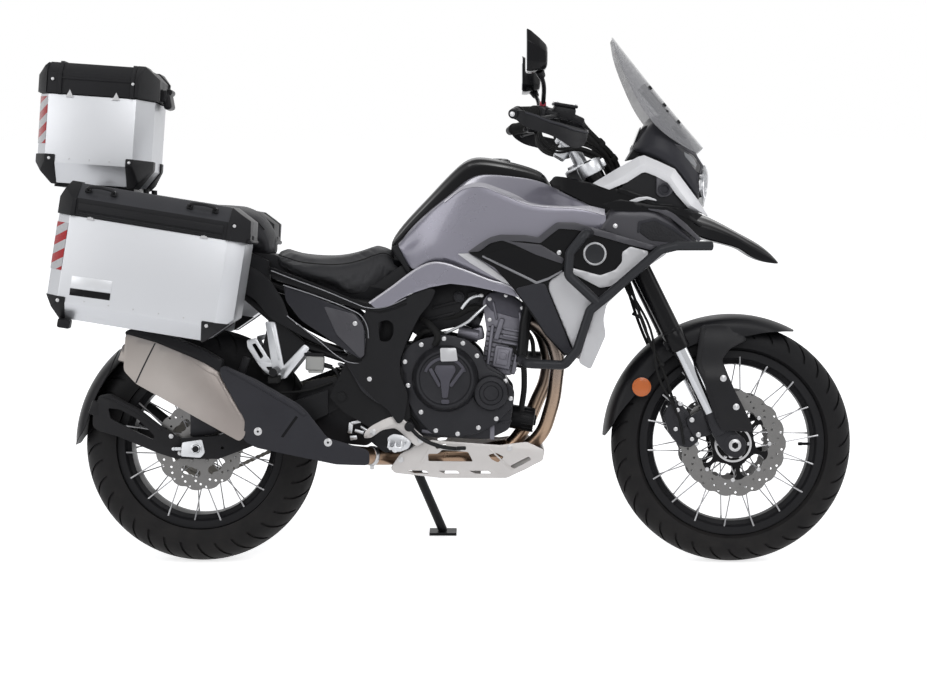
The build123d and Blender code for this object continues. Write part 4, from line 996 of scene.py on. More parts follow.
# %% Silver panels and the black wedge
OUTER_SILVER = [(541, 849), (466, 798), (376, 712), (368, 670), (375, 629), (335, 536), (302, 555),
                (327, 643), (338, 712), (466, 827), (519, 860)]
plate("outer_silver_panels", OUTER_SILVER, shroud_reach(-4), silver_paint, wall=8, bevel=2.5, radius=10,
      replaces=["radiator_shrouds"])
MIDDLE_SILVER = [(258, 801), (281, 792), (334, 752), (356, 724), (340, 683), (313, 603), (292, 582),
                 (221, 752), (222, 772)]


def middle_fold(x, z):
    """The middle panel is creased along a slanted line."""
    return 5 - 0.09 * abs((x - 258) * 0.88 + (z - 800) * 0.47 - 18)


plate("middle_silver_panels", MIDDLE_SILVER, raised(middle_fold, -4), silver_paint, wall=8, spacing=9,
      bevel=2, radius=14)
UPPER_SILVER = [(417, 851), (439, 866), (488, 853), (480, 830), (387, 761), (359, 756), (290, 792),
                (272, 812), (318, 800), (359, 789), (399, 804), (417, 825)]
plate("upper_silver_panels", UPPER_SILVER, shroud_reach(0), silver_paint, wall=6, spacing=14, bevel=2.2,
      radius=6)
backing = [(20, 856), (92, 890), (193, 884), (292, 921), (439, 880), (530, 855), (505, 842), (430, 778),
           (352, 700), (330, 640), (318, 580), (286, 585), (230, 660), (130, 760), (78, 809)]
plate("shroud_backings", backing, shroud_reach(-12), black_plastic, wall=12, bevel=2)
WEDGE = [(6, 851), (38, 873), (65, 888), (92, 893), (158, 891), (193, 885), (220, 908), (241, 925),
         (292, 924), (359, 905), (439, 881), (505, 863), (540, 855), (512, 836), (488, 853), (439, 868),
         (417, 852), (415, 826), (397, 806), (359, 791), (318, 802), (268, 822), (255, 800), (222, 775),
         (219, 752), (288, 588), (265, 572), (212, 630), (172, 691), (126, 755), (78, 809)]
plate("shroud_wedges", WEDGE, raised(lambda x, z: -0.02 * abs(x - 215), 2), black_gloss, wall=7, spacing=16,
      bevel=2, radius=7)
BLADE = [(44, 843), (118, 864), (212, 846), (272, 826), (262, 806), (242, 786), (214, 773), (185, 771),
         (118, 803)]
plate("shroud_blades", BLADE, raised(folded(4, (44, 843), (250, 800), 0.09, 0.06), 2), black_gloss, wall=6,
      spacing=9, bevel=1.8, radius=8)
LOWER_BAND = [(131, 754), (186, 768), (212, 768), (219, 748), (284, 588), (266, 578), (214, 634), (176, 692)]
plate("shroud_lower_bands", LOWER_BAND, raised(folded(3, (150, 745), (270, 585), 0.05, 0.07), 3),
      grey_plastic, wall=6, spacing=12, bevel=2, radius=10)
EDGE_TRIM = [(4, 851), (38, 875), (65, 891), (92, 898), (158, 897), (193, 891), (220, 913), (243, 931),
             (292, 930), (358, 911), (438, 887), (508, 868), (494, 857), (425, 874), (358, 893), (292, 911),
             (248, 914), (226, 897), (199, 875), (158, 880), (92, 882), (65, 875), (36, 853)]
plate("shroud_edge_trims", EDGE_TRIM, shroud_reach(7), cover_grey, wall=6, spacing=16, bevel=2.5, radius=5)
INNER_RIDGE = [(88, 886), (133, 878), (200, 871), (262, 834), (258, 820), (186, 845), (133, 870)]
plate("shroud_inner_ridges", INNER_RIDGE, shroud_reach(7), cover_grey, wall=6, spacing=12, bevel=2, radius=4)
# A thin light grey strip along the blade's lower edge: a painted highlight on the gloss black blade.
BLADE_EDGE_HIGHLIGHT = [(44, 843), (110, 812), (170, 783), (189, 773), (220, 784), (257, 804), (258, 799), (220, 777),
              (188, 766), (168, 777), (108, 806), (44, 838)]
plate("shroud_blade_edge_highlights", BLADE_EDGE_HIGHLIGHT, shroud_reach(6.5), trim_highlight_paint, wall=4, spacing=0, bevel=1, radius=3)
SLIVER = [(-22, 847), (8, 848), (44, 826), (90, 792), (132, 759), (96, 772), (51, 799), (12, 822)]
plate("tank_silver_slivers", SLIVER, lambda x, z: along(BELLY_Y, x) + 5, silver_paint, wall=4, spacing=0,
      bevel=1.2, radius=2)
show_new()

# %% [markdown]
# The round badge beside the crash bar stays blank: a plain ring with a dished centre. The fixings
# are small domed screws, made once and copied along both sides.

# %% Badge and body screws
badge = tidy_mesh(lathe([(31, 0), (31, 4), (28.5, 5.5), (26, 4), (26, 0)], (0, 0, 0), 48))
dish = tidy_mesh(lathe([(27, 0), (27, 3), (22, 2.6), (12, 1.4), (0.1, 1), (0.1, 0)], (0, 0, 0), 48))


def on_side(obj, x, z, y, tilt=0.0):
    """Copies of a piece made at the origin facing +Y, on both sides of the bike."""
    right = copied(obj, Matrix.Translation((x, -y, z)) @ Matrix.Rotation(math.radians(180 + tilt), 4, "Z"))
    left = copied(obj, Matrix.Translation((x, y, z)) @ Matrix.Rotation(math.radians(-tilt), 4, "Z"))
    return [right, left]


for part, name, look in ((badge, "badge_rings", silver_paint), (dish, "badge_discs", bar_paint)):
    finished(joined(on_side(part, 344, 847, 206), name), name, "chassis", look)
    bpy.data.objects.remove(part)
screw = disc_stack((0, 0), [(6.5, 0, 2.5), (3.2, 2.5, 3.2)], side=1, sides=16, bevel=0.8)
SCREWS = [(-297, 660, 173), (-259, 510, 161), (249, 850, 207), (400, 921, 168)]
screws = [twin for x, z, y in SCREWS for twin in on_side(screw, x, z, y)]
bpy.data.objects.remove(screw)
finished(screws, "body_screws", "chassis", bolt_steel)
show_new()

# %% [markdown]
# ## Front cover, beak and nose
# Between tank and nose run a dark filler, a grey cover with a honeycomb grille, and the long black
# beak. The beak is a skin on sections again, so that its ridges run out to the tip together.

# %% Upper covers with their grille
FRONT_Y = [(255, 132), (300, 150), (376, 166), (440, 168), (520, 164), (580, 150), (640, 118)]


def front_reach(off):
    return lambda x, z: along(FRONT_Y, x) + off


UPPER_COVER = [(352, 918), (376, 956), (392, 972), (440, 971), (494, 969), (521, 963), (574, 931), (628, 883),
               (601, 872), (542, 862), (467, 872), (387, 900)]
COVER_FOLD = [(352, 905), (392, 952), (440, 956), (500, 953), (560, 922), (628, 868)]


def cover_reach(x, z):
    """The cover's side, rolling inwards above its fold so that the top strip catches the light."""
    return along(FRONT_Y, x) - 0.9 * max(0.0, z - along(COVER_FOLD, x))


plate("upper_covers", UPPER_COVER, cover_reach, cover_grey, spacing=8, bevel=2, radius=9,
      replaces=["side_fairings"])
GRILLE = [(465, 930), (507, 939), (553, 915), (598, 883), (553, 876), (494, 882), (463, 904)]
plate("grille_patches", GRILLE, front_reach(1.2), mesh_cloth, wall=2.5, spacing=18, bevel=0.8, radius=9)
RIM_LINE = [(458, 902), (461, 934), (507, 944), (556, 919), (608, 880), (602, 877), (553, 911), (507, 935),
            (468, 927), (466, 904)]
plate("grille_rims", RIM_LINE, front_reach(2.4), grey_plastic, wall=3, spacing=18, bevel=1, radius=4)
FILLER = [(226, 1040), (238, 1056), (262, 1053), (296, 1046), (335, 1037), (364, 1026), (408, 1020),
          (470, 996), (497, 974), (396, 974), (376, 957), (306, 992), (256, 1017), (232, 1028)]
FILLER_Y = [(226, 131), (240, 136), (250, 139), (275, 147), (300, 151), (340, 152), (400, 158), (500, 156)]
plate("front_fillers", FILLER, lambda x, z: along(FILLER_Y, x), black_gloss, spacing=12, bevel=2, radius=8)
FILLER_RIDGE = [(404, 1014), (470, 990), (500, 972), (560, 972), (556, 978), (505, 982), (478, 1002),
                (410, 1024)]
plate("filler_ridges", FILLER_RIDGE, lambda x, z: along([(400, 163), (500, 164), (560, 158)], x), black_gloss,
      wall=5, spacing=16, bevel=2, radius=4)

LEDGE = [(397, 980), (430, 986), (462, 998), (486, 1000), (508, 993), (512, 988), (484, 993), (452, 984),
         (420, 976)]
plate("filler_ledges", LEDGE, lambda x, z: along([(400, 165), (500, 167), (560, 158)], x), silver_paint,
      wall=5, spacing=0, bevel=1.5, radius=3)
show_new()

# %% Beak
BEAK_HALF = [(364, 168), (500, 167), (575, 157), (612, 140), (650, 108), (700, 80), (747, 61), (800, 43),
             (840, 24), (857, 12)]
BEAK_TOP = [(560, 973), (609, 963), (650, 954), (690, 936), (745, 906), (799, 876), (826, 856), (846, 836),
            (857, 823)]
BEAK_LOW = [(560, 940), (582, 931), (611, 900), (640, 884), (682, 874), (745, 857), (772, 838), (799, 826),
            (826, 820), (857, 818)]


def beak_section(x):
    top, low, wide = along(BEAK_TOP, x), along(BEAK_LOW, x), along(BEAK_HALF, x)
    h = top - low
    half = [(0.0, top), (wide * 0.30, top - 1), (wide * 0.38, top - h * 0.16), (wide * 0.62, top - h * 0.12),
            (wide * 0.72, top - h * 0.30), (wide * 0.92, top - h * 0.34), (wide, top - h * 0.52),
            (wide * 0.95, top - h * 0.62), (wide * 0.97, low + h * 0.08), (wide * 0.84, low),
            (0.0, low + h * 0.3)]
    return [(x, y, z) for y, z in mirror_half(half)[:-1]]


beak = skin([beak_section(x) for x in stations(561, 857, 20)], levels=1)
finished(beak, "nose_beak", "chassis", black_gloss, replaces=["beak"], angle=40)
BEAK_ARM = [(362, 979), (412, 993), (500, 977), (575, 970), (640, 952), (600, 918), (582, 934), (515, 962),
            (398, 962)]
plate("beak_arms", BEAK_ARM, lambda x, z: along(BEAK_HALF, x) + 1.5 - 0.02 * abs(z - 968), black_gloss,
      wall=4, spacing=14, bevel=2, radius=6)
BEAK_RIDGE = [(470, 978), (540, 972), (600, 950), (640, 925), (636, 917), (596, 941), (538, 963), (474, 970)]
RIDGE_Y = [(490, 170), (549, 167), (585, 160), (621, 139), (640, 128)]
COVER_RIDGE = [(488, 976), (524, 970), (556, 955), (592, 926), (634, 886), (628, 879), (582, 916), (548, 943),
               (518, 958), (488, 964)]
plate("cover_ridges", COVER_RIDGE, lambda x, z: along(RIDGE_Y, x), cover_grey, wall=8, spacing=12, bevel=2,
      radius=5)
plate("beak_ridges", BEAK_RIDGE, lambda x, z: along(BEAK_HALF, x) + 4, black_gloss, wall=5, spacing=14,
      bevel=2, radius=5)
show_new()

# %% [markdown]
# The silver band sweeps over the black side window, where the indicator sits in a round socket. The
# nose behind it is one dark shell that narrows to the lamp.

# %% Silver band, side window and indicators
BAND_OUTER = [(340, 1036), (405, 1075), (462, 1107), (478, 1111), (520, 1094), (562, 1075), (594, 1034),
              (626, 993), (655, 949)]
BAND_FOLD = [(366, 1025), (420, 1053), (466, 1083), (480, 1085), (512, 1073), (548, 1052), (573, 1017),
             (604, 978), (645, 953)]
BAND_INNER = [(384, 1018), (432, 1038), (471, 1063), (482, 1065), (510, 1054), (541, 1037), (565, 1006),
              (597, 971), (637, 955)]
BAND_Y = [(340, 152), (400, 160), (480, 158), (540, 146), (580, 132), (620, 116), (650, 102)]


def band_reach(off):
    """The nose side surface, moved out or in by so many mm."""
    return lambda x, z: along(BAND_Y, x) + off


band_rows = []
for outer, fold, inner in zip(BAND_OUTER, BAND_FOLD, BAND_INNER):
    band_rows.append([(x, -(along(BAND_Y, x) + off), z)
                      for (x, z), off in ((outer, -16), (outer, -9), (fold, 8), (inner, 2), (inner, -6))])
bands = skin(band_rows, closed=False, caps=False, levels=0)
walled(bands, 3, -1)
bevelled(bands, 1.6, 3, 12)
finished(both_sides(bands), "silver_bands", "chassis", band_paint)
WINDOW = [(404, 1014), (441, 1047), (476, 1066), (510, 1056), (546, 1040), (577, 1005), (608, 968),
          (560, 968), (522, 973), (470, 992)]
plate("nose_side_windows", WINDOW, band_reach(-5), black_plastic, wall=3, spacing=16, bevel=1, radius=5)
socket = lathe([(13, 0), (15.5, 0), (17, 7), (15, 8.5), (12, 8.5), (10, 2), (0.1, 2), (0.1, 0)], (0, 0, 0),
               32)
tidy_mesh(socket)
sockets = on_side(socket, 531, 1020, 149, 12)
bpy.data.objects.remove(socket)
finished(sockets, "indicator_sockets", "chassis", grey_plastic)
FLAP = [(511, 1056), (530, 1049), (546, 1040), (560, 1026), (556, 1012), (542, 1000), (522, 998), (511, 1008)]
plate("indicator_flaps", FLAP, band_reach(1), cover_grey, wall=7, spacing=0, bevel=2.2, radius=6)
show_new()

# %% Nose cowl
COWL_TOP = [(448, 1134), (470, 1172), (483, 1196), (508, 1224), (550, 1222), (590, 1192), (618, 1150),
            (642, 1098), (652, 1064)]
COWL_LOW = [(448, 1128), (478, 1112), (540, 1084), (566, 1068), (592, 1035), (620, 1000), (638, 990),
            (652, 1020)]
COWL_HALF = [(448, 84), (478, 124), (520, 136), (560, 132), (600, 116), (628, 94), (642, 66), (652, 26)]


def cowl_section(x):
    top, low, wide = along(COWL_TOP, x), along(COWL_LOW, x), along(COWL_HALF, x)
    h = top - low
    half = [(0.0, top), (wide * 0.42, top - 1), (wide * 0.60, top - h * 0.10), (wide * 0.78, top - h * 0.20),
            (wide * 0.90, top - h * 0.48), (wide, top - h * 0.74), (wide * 0.98, low + h * 0.06),
            (wide * 0.86, low), (0.0, low)]
    return [(x, y, z) for y, z in mirror_half(half)[:-1]]


cowl = skin([cowl_section(x) for x in stations(449, 638, 17)], levels=1)
finished(cowl, "nose_cowl", "chassis", grey_plastic, replaces=["headlight"], angle=38)
EYE = [(564, 1139), (583, 1134), (620, 1112), (640, 1085), (633, 1064), (612, 1078), (596, 1094), (580, 1116)]
EYE_Y = [(560, 122), (600, 106), (620, 92), (642, 66)]
plate("lamp_side_windows", EYE, lambda x, z: along(EYE_Y, x), lamp_glass, wall=12, spacing=10, bevel=1.5,
      radius=3)
EYE_LINE = [(560, 1143), (584, 1138), (623, 1115), (645, 1085), (637, 1060), (633, 1064), (639, 1085),
            (619, 1111), (583, 1133), (566, 1137)]
plate("lamp_side_frames", EYE_LINE, lambda x, z: along(EYE_Y, x) + 2, cover_grey, wall=8, spacing=10, bevel=1,
      radius=2)
EYE_CORE = [(588, 1122), (612, 1108), (626, 1086), (620, 1080), (606, 1094), (592, 1108)]
plate("lamp_side_cores", EYE_CORE, lambda x, z: along(EYE_Y, x) + 1, pale_lens, wall=4, spacing=8, bevel=1,
      radius=3)
show_new()

# %% [markdown]
# The headlamp looks forward through a clear shield, with two bright bowls behind it and a light bar
# over them.

# %% Headlamp
def lamp_front(y, z):
    """How far forward the lamp's face lies at one height and distance from the middle."""
    return along([(960, 636), (1000, 646), (1040, 652), (1075, 650), (1110, 632)], z) - 0.0034 * y * y


def face_plate(points, off, wall, bevel=1.0):
    """A panel traced from the front (y, z) and laid on the lamp's face."""
    obj = traced(points)
    gridded(obj, 10)
    for vertex in obj.data.vertices:
        y, z = vertex.co.x / MM, vertex.co.z / MM
        vertex.co = ((lamp_front(y, z) + off) * MM, y * MM, z * MM)
    if sum(f.normal.x * f.area for f in obj.data.polygons) < 0:
        edit(obj, lambda: bpy.ops.mesh.flip_normals())
    walled(obj, wall, -1)
    return bevelled(obj, bevel, 2, 50)


SHIELD = [(-92, 1052), (-62, 1078), (-30, 1090), (30, 1090), (62, 1078), (92, 1052), (84, 1012), (44, 982),
          (0, 972), (-44, 982), (-84, 1012)]
finished(face_plate(rounded(SHIELD, 12), 11, 2.5), "headlamp_shield", "chassis", pale_lens)
finished(face_plate(rounded(SHIELD, 12), -16, 4), "headlamp_backing", "chassis", black_plastic)
eyes = []
for side in (-1, 1):
    bowl = lathe([(31, 0), (33, 8), (30, 10), (24, 3), (10, -2), (0.1, -3), (0.1, -6), (33, -6)], (0, 0, 0),
                 40)
    bowl.data.transform(Matrix.Translation(((lamp_front(46, 1030) - 2) * MM, side * 46 * MM, 1.030))
                        @ Matrix.Rotation(math.radians(-90 + side * 14), 4, "Z"))
    eyes.append(tidy_mesh(bowl))
finished(eyes, "headlamp_bowls", "chassis", chrome_reflector)
bar_light = face_plate(rounded([(-60, 1075), (60, 1075), (52, 1066), (-52, 1066)], 3), 7, 5)
finished(bar_light, "running_light", "chassis", plate_white)
show_new()

# %% Windscreen
SCREEN_FOOT, SCREEN_TOP = Vector((651, 0, 1137)), Vector((401, 0, 1440))
SCREEN_UP = (SCREEN_TOP - SCREEN_FOOT).normalized()
SCREEN_OUT = Vector((SCREEN_UP.z, 0, -SCREEN_UP.x))
SCREEN_LONG = (SCREEN_TOP - SCREEN_FOOT).length
SCREEN_WIDE = [(0.0, 92), (0.1, 118), (0.3, 143), (0.5, 143), (0.72, 122), (0.88, 96), (0.96, 70), (1.0, 44)]


def screen_row(share):
    """One row of the screen, bowed back towards its sides."""
    wide = along(SCREEN_WIDE, share)
    row = []
    for step in range(17):
        y = wide * (step / 8 - 1)
        bow = 92 * (y / 168)**2
        lift = SCREEN_LONG * share - 0.12 * abs(y) * share
        row.append(SCREEN_FOOT + SCREEN_UP * lift
                   - SCREEN_OUT * (bow + 3.5 + 14 * math.sin(math.pi * share) * 0.2) + Vector((0, y, 0)))
    return row


screen = skin([screen_row(s) for s in stations(0.0, 1.0, 15)], closed=False, levels=0)
tidy_mesh(screen)
walled(screen, 3.5)
bevelled(screen, 1.2, 2, 60)
finished(screen, "tall_screen", "chassis", screen_acrylic, replaces=["windscreen"], angle=40)
rails = []
for y in (-58, 58):
    start = Vector((590, y, 1190)) - SCREEN_OUT * 12
    end = Vector((488, y, 1312)) - SCREEN_OUT * 12
    middle, turn = (start + end) / 2, math.degrees(math.atan2(end.z - start.z, start.x - end.x))
    rails.append(block(((end - start).length, 12, 16), middle, (0, turn, 0), bevel=3))
    for share in (0.12, 0.5, 0.88):
        knob = start.lerp(end, share) + SCREEN_OUT * 12
        rails.append(rod(knob - SCREEN_OUT * 8, knob + SCREEN_OUT * 3, 6, sides=16, bevel=1))
for share in (0.08, 0.42, 0.95):
    place = Vector((590, 0, 1190)).lerp(Vector((488, 0, 1312)), share) - SCREEN_OUT * 14
    rails.append(block((14, 116, 10), place, (0, 50, 0), bevel=2.5))
finished(rails, "screen_rails", "chassis", black_metal)
show_new()

# %% Instrument panel
HOUSING = [(437, 1102), (456, 1134), (476, 1186), (486, 1194), (511, 1192), (533, 1161), (505, 1150),
           (492, 1114)]
housing = slab(HOUSING, 84, 168, 3, 5)
finished(housing, "instrument_housing", "chassis", black_plastic, replaces=["instrument_panel"])
tilt = math.degrees(math.atan2(1186 - 1134, 476 - 456))
glass = block((3, 138, 58), (463, 0, 1162), (0, 90 - tilt, 0), bevel=1)
finished(glass, "instrument_glass", "chassis", display_glass)
arms = []
for y in (-68, 68):
    foot, top = Vector((514, y, 1166)), Vector((546, y, 1236))
    arms.append(rod(foot, top, 7, 5, sides=16, bevel=1))
    arms.append(block((60, 7, 34), (540, y, 1196), (0, 38, 0), bevel=2.5))
finished(arms, "screen_arms", "chassis", black_plastic)
show_new()

# %% [markdown]
# ## Luggage cases
# A case is folded sheet, so each half starts as a box in the case's own frame (along, across, up),
# its edges are sliced off by planes, the open side is deleted and the sheet gets its wall. The same
# cut planes, moved out by 2 mm, then give the moulded corner pieces that sit over the edges.

# %% Cases in their own frame
def case_frame(centre, tilt):
    return Matrix.Translation(Vector(centre) * MM) @ Matrix.Rotation(math.radians(tilt), 4, "Y")


PANNIER = case_frame((-800, 0, 800), 9.2)
TOP_CASE = case_frame((-970, 0, 1190), 4.0)
WALL = 3.0


def sliced(low, high, cuts, off=0.0):
    """A box from corner to corner, cut by planes (point, normal) that are moved out by a distance."""
    size = [b - a for a, b in zip(low, high)]
    obj = block(size, [(a + b) / 2 for a, b in zip(low, high)])
    for point, normal in cuts:
        away = Vector(normal).normalized()
        place = (Vector(point) + away * off) * MM
        edit(obj, lambda: bpy.ops.mesh.bisect(plane_co=place, plane_no=away, clear_outer=True, use_fill=True))
    return tidy_mesh(obj)


def opened(obj, up):
    """Delete the face that looks up (1) or down (-1), then thicken the sheet inwards."""
    select_faces(obj, [face.index for face in obj.data.polygons if face.normal.z * up > 0.99])
    bpy.ops.mesh.delete(type="FACE")
    bpy.ops.object.mode_set(mode="OBJECT")
    return walled(obj, WALL, -1)


def painted(obj, second, test):
    """Give the faces that pass a test a second finish."""
    obj.data.materials.append(second)
    for face in obj.data.polygons:
        if test(face):
            face.material_index = 1
    return obj


def in_case(obj, frame_matrix):
    obj.data.transform(frame_matrix)
    return obj


def other_side(obj, name):
    """A mirror image across the bike as an object of its own."""
    twin = copied(obj, Matrix.Scale(-1, 4, (0, 1, 0)))
    twin.name = twin.data.name = name
    return edit(twin, lambda: bpy.ops.mesh.flip_normals())


# %% Pannier bodies
BODY_LOW, BODY_HIGH = (-262, 235, -154), (222, 475, 112)
BODY_CUTS = [((-262, 441, 0), (-1, 1, 0)), ((180, 475, 0), (43, 42, 0)), ((-262, 0, -98), (-56, 0, -40)),
             ((222, 0, -88), (66, 0, -69)), ((0, 475, -112), (0, 1, -1))]
body = opened(sliced(BODY_LOW, BODY_HIGH, BODY_CUTS), 1)
bevelled(body, 1.6, 2, 25)
both_sides(in_case(body, PANNIER))
finished(body, "pannier_bodies", "chassis", case_alloy, ["panniers"], 30)

corners = [sliced((-268, 415, -158), (-208, 480, -97), BODY_CUTS, 2.5),
           sliced((146, 405, -158), (226, 480, -101), BODY_CUTS, 2.5),
           sliced((-268, 232, -158), (-214, 262, -100), BODY_CUTS, 2.5),
           sliced((160, 232, -158), (226, 262, -104), BODY_CUTS, 2.5)]
corners += [block((32, 40, 24), (-206, 440, -166), bevel=4)]
corner = bevelled(joined(corners), 3, 3, 30)
both_sides(in_case(corner, PANNIER))
finished(corner, "pannier_corners", "chassis", case_plastic)
show_new()

# %% Pannier fittings
fitting = []
for u, w in ((-159, -101), (-96, -101), (-32, -101), (34, -101), (99, -101)):
    fitting.append(rod((u, 474, w), (u, 476.4, w), 2.6, 1.8, sides=10))
for u, w in ((160, -112), (-226, -108)):
    fitting.append(rod((u, 476, w), (u, 480.4, w), 5.5, 4.5, sides=20, bevel=0.6))
for u in (-175, 119):
    tab = sliced((u - 11, 475.5, 108), (u + 11, 479.5, 126),
                 [((u + 10, 0, 108), (18, 0, 10)), ((u - 10, 0, 108), (-18, 0, 10))])
    fitting += [tab, rod((u, 478, 113), (u, 481, 113), 2.5, sides=12)]
latch = [block((10, 58, 74), (-267, 360, 60), bevel=3),
         block((8, 44, 46), (-268, 360, 96), (0, 8, 0), bevel=3),
         rod((-270, 336, 118), (-270, 384, 118), 4, sides=12),
         rod((-270, 336, 34), (-270, 384, 34), 5, sides=12)]
fittings = joined(fitting + latch)
both_sides(in_case(fittings, PANNIER))
finished(fittings, "pannier_fittings", "chassis", bolt_steel)
strip = block((47, 1.6, 122), (-246.3, 459.3, 30), (0, 0, 45), bevel=0.5)
both_sides(in_case(strip, PANNIER))
finished(strip, "pannier_reflective_strips", "chassis", stripes)
label = block((104, 1.2, 18), (-147, 475.8, -80), (0, -1.5, 0), bevel=0.4)
both_sides(in_case(label, PANNIER))
finished(label, "pannier_blank_labels", "chassis", black_gloss)
badge_plate = block((104, 1.0, 30), (-147, 475.6, -54), (0, -1.5, 0), bevel=0.4)
both_sides(in_case(badge_plate, PANNIER))
finished(badge_plate, "pannier_blank_plates", "chassis", bare_alloy)
show_new()

# %% Pannier lids
LID_CUTS = [((-262, 447, 0), (-1, 1, 0)), ((186, 481, 0), (43, 46, 0)), ((-262, 0, 158), (-39, 0, 22)),
            ((226, 0, 168), (29, 0, 54)), ((232, 0, 114), (54, 0, 6)), ((0, 481, 158), (0, 1, 1))]
lid = opened(sliced((-262, 235, 114), (232, 481, 197), LID_CUTS), -1)
bevelled(lid, 2.0, 2, 25)
lid.data.materials.append(case_plastic)
painted(lid, case_grey, lambda f: f.normal.z > 0.55 and -0.4 < f.normal.x < 0.42 and f.center.z > 0.157)
recess = sliced((-210, 478, 128), (165, 484.5, 147),
                [((-210, 0, 147), (-3, 0, 1)), ((165, 0, 147), (2, 0, 1))])
lid_trim = [recess, block((372, 4, 5), (-22, 481.5, 122), bevel=1.5),
            sliced((-266, 400, 112), (-216, 486, 200), LID_CUTS, 2.2),
            sliced((176, 400, 112), (236, 486, 200), LID_CUTS, 2.2),
            rod((232, 262, 116), (232, 448, 116), 6, sides=16), block((26, 60, 22), (222, 350, 122), bevel=3)]
lid_trim = bevelled(joined(lid_trim), 2, 2, 30)
lid_trim.data.materials.append(case_plastic)
loops = []
for u in (-160, 103):
    middle = Vector((u, 466, 183))
    loops.append(pipe([middle + Vector((d, y, y * 0.9))
                       for d, y in ((-33, -2), (-32, 5), (-20, 9), (20, 9), (32, 5), (33, -2))], 4.2,
                      resolution=4))
    loops += [block((16, 15, 5), middle + Vector((d, -2, -1)), (-45, 0, 0), bevel=1.5) for d in (-33, 33)]
grab = joined(loops)
grab.data.materials.append(black_metal)
studs = [rod((u + d, 464, 182), (u + d, 470, 188), 5, 4, sides=16, bevel=0.6) for u in (-160, 103)
         for d in (-33, 33)]
studs += [rod((u, 482, 151), (u, 485.5, 151), 5, 4, sides=16, bevel=0.6) for u in (-222, 192)]
studs = joined(studs)
studs.data.materials.append(bolt_steel)
whole = joined([lid, lid_trim, grab, studs])
in_case(whole, PANNIER)
right = other_side(whole, "right_pannier_lid_shell")
for obj, label in ((whole, "left"), (right, "right")):
    finished(obj, f"{label}_pannier_lid_shell", f"{label}_pannier_lid", None,
             [f"{label}_pannier_lid"], 30)
show_new()

# %% Top case body
SIDES = (1, -1)
TOP_CUTS = [((-174, 0, -112), (-48, 0, -40)), ((125, 0, -112), (48, 0, -35))]
for s in SIDES:
    TOP_CUTS += [((-174, s * 160, 0), (-45, s * 28, 0)), ((88, s * 205, 0), (101, s * 37, 0)),
                 ((0, s * 205, -108), (0, s * 52, -46))]
body = opened(sliced((-174, -205, -160), (125, 205, 74), TOP_CUTS), 1)
bevelled(body, 1.6, 2, 12)
finished(in_case(body, TOP_CASE), "top_case_body", "chassis", case_alloy, ["top_case"], 20)
corners = []
for s in SIDES:
    outer, inner, middle = s * 210, s * 130, s * 60
    corners += [sliced((-180, min(inner, outer), -164), (-119, max(inner, outer), -86), TOP_CUTS, 2.5),
                sliced((70, min(middle, outer), -164), (130, max(middle, outer), -86), TOP_CUTS, 2.5)]
corner = bevelled(joined(corners), 3, 3, 18)
finished(in_case(corner, TOP_CASE), "top_case_corners", "chassis", case_plastic)
fitting = []
for s in SIDES:
    fitting += [rod((u, s * 204, -96), (u, s * 206.4, -96), 2.6, 1.8, sides=10) for u in (-81, -27, 27)]
    fitting += [rod((u, s * 206, w), (u, s * 210.4, w), 5, 4, sides=16, bevel=0.6)
                for u, w in ((-134, -97), (80, -96))]
    for u in (-89, 35):
        fitting += [sliced((u - 11, min(s * 205.5, s * 209.5), 68), (u + 11, max(s * 205.5, s * 209.5), 88),
                           [((u + 10, 0, 68), (20, 0, 10)), ((u - 10, 0, 68), (-20, 0, 10))]),
                    rod((u, s * 208, 74), (u, s * 211, 74), 2.5, sides=12)]
finished(in_case(joined(fitting), TOP_CASE), "top_case_fittings", "chassis", bolt_steel)
strips = [block((51, 1.6, 126), (-160.6, s * 183.3, 4), (0, 0, s * 58), bevel=0.5) for s in SIDES]
finished(in_case(joined(strips), TOP_CASE), "top_case_reflective_strips", "chassis", stripes)
show_new()

# %% Top case lid
TOP_LID_CUTS = [((-179, 0, 124), (-36, 0, 32)), ((104, 0, 160), (26, 0, 27))]
for s in SIDES:
    TOP_LID_CUTS += [((-179, s * 160, 0), (-49, s * 29, 0)), ((92, s * 209, 0), (103, s * 39, 0)),
                     ((0, s * 209, 132), (0, s * 28, 28))]
lid = opened(sliced((-179, -209, 76), (131, 209, 160), TOP_LID_CUTS), -1)
lid_parts = [lid]
for s in SIDES:
    for u, wide in ((-117, 10), (77, 10)):
        lid_parts.append(sliced((u - wide / 2, min(s * 120, s * 214), 76),
                                (u + wide / 2, max(s * 120, s * 214), 164), TOP_LID_CUTS, 2.5))
    lid_parts.append(sliced((-183, min(s * 120, s * 214), 78), (-152, max(s * 120, s * 214), 164),
                            TOP_LID_CUTS, 3))
    lid_parts.append(sliced((84, min(s * 90, s * 214), 78), (135, max(s * 90, s * 214), 164), TOP_LID_CUTS,
                            3))
    lid_parts.append(block((186, 5, 6), (-20, s * 210, 118), bevel=1.5))
lid_parts += [block((20, 110, 34), (136, 0, 96), bevel=5),
              block((22, 84, 46), (146, 0, 84), (0, -14, 0), bevel=7),
              rod((150, -34, 108), (150, 34, 108), 9, sides=20, bevel=2)]
for y in (-66, -22, 22, 66):
    lid_parts.append(block((236, 14, 3), (-26, y, 160.2), bevel=1.2))
top_lid = bevelled(joined(lid_parts), 2.2, 2, 14)
top_lid.data.materials.append(case_plastic)
studs = [rod((u, s * 211, 113), (u, s * 214.5, 113), 5, 4, sides=16, bevel=0.6) for u in (-136, 78)
         for s in SIDES]
studs = joined(studs)
studs.data.materials.append(bolt_steel)
finished(in_case(joined([top_lid, studs]), TOP_CASE), "top_case_lid_shell", "top_case_lid", None,
         ["top_case_lid"], 20)
show_new()

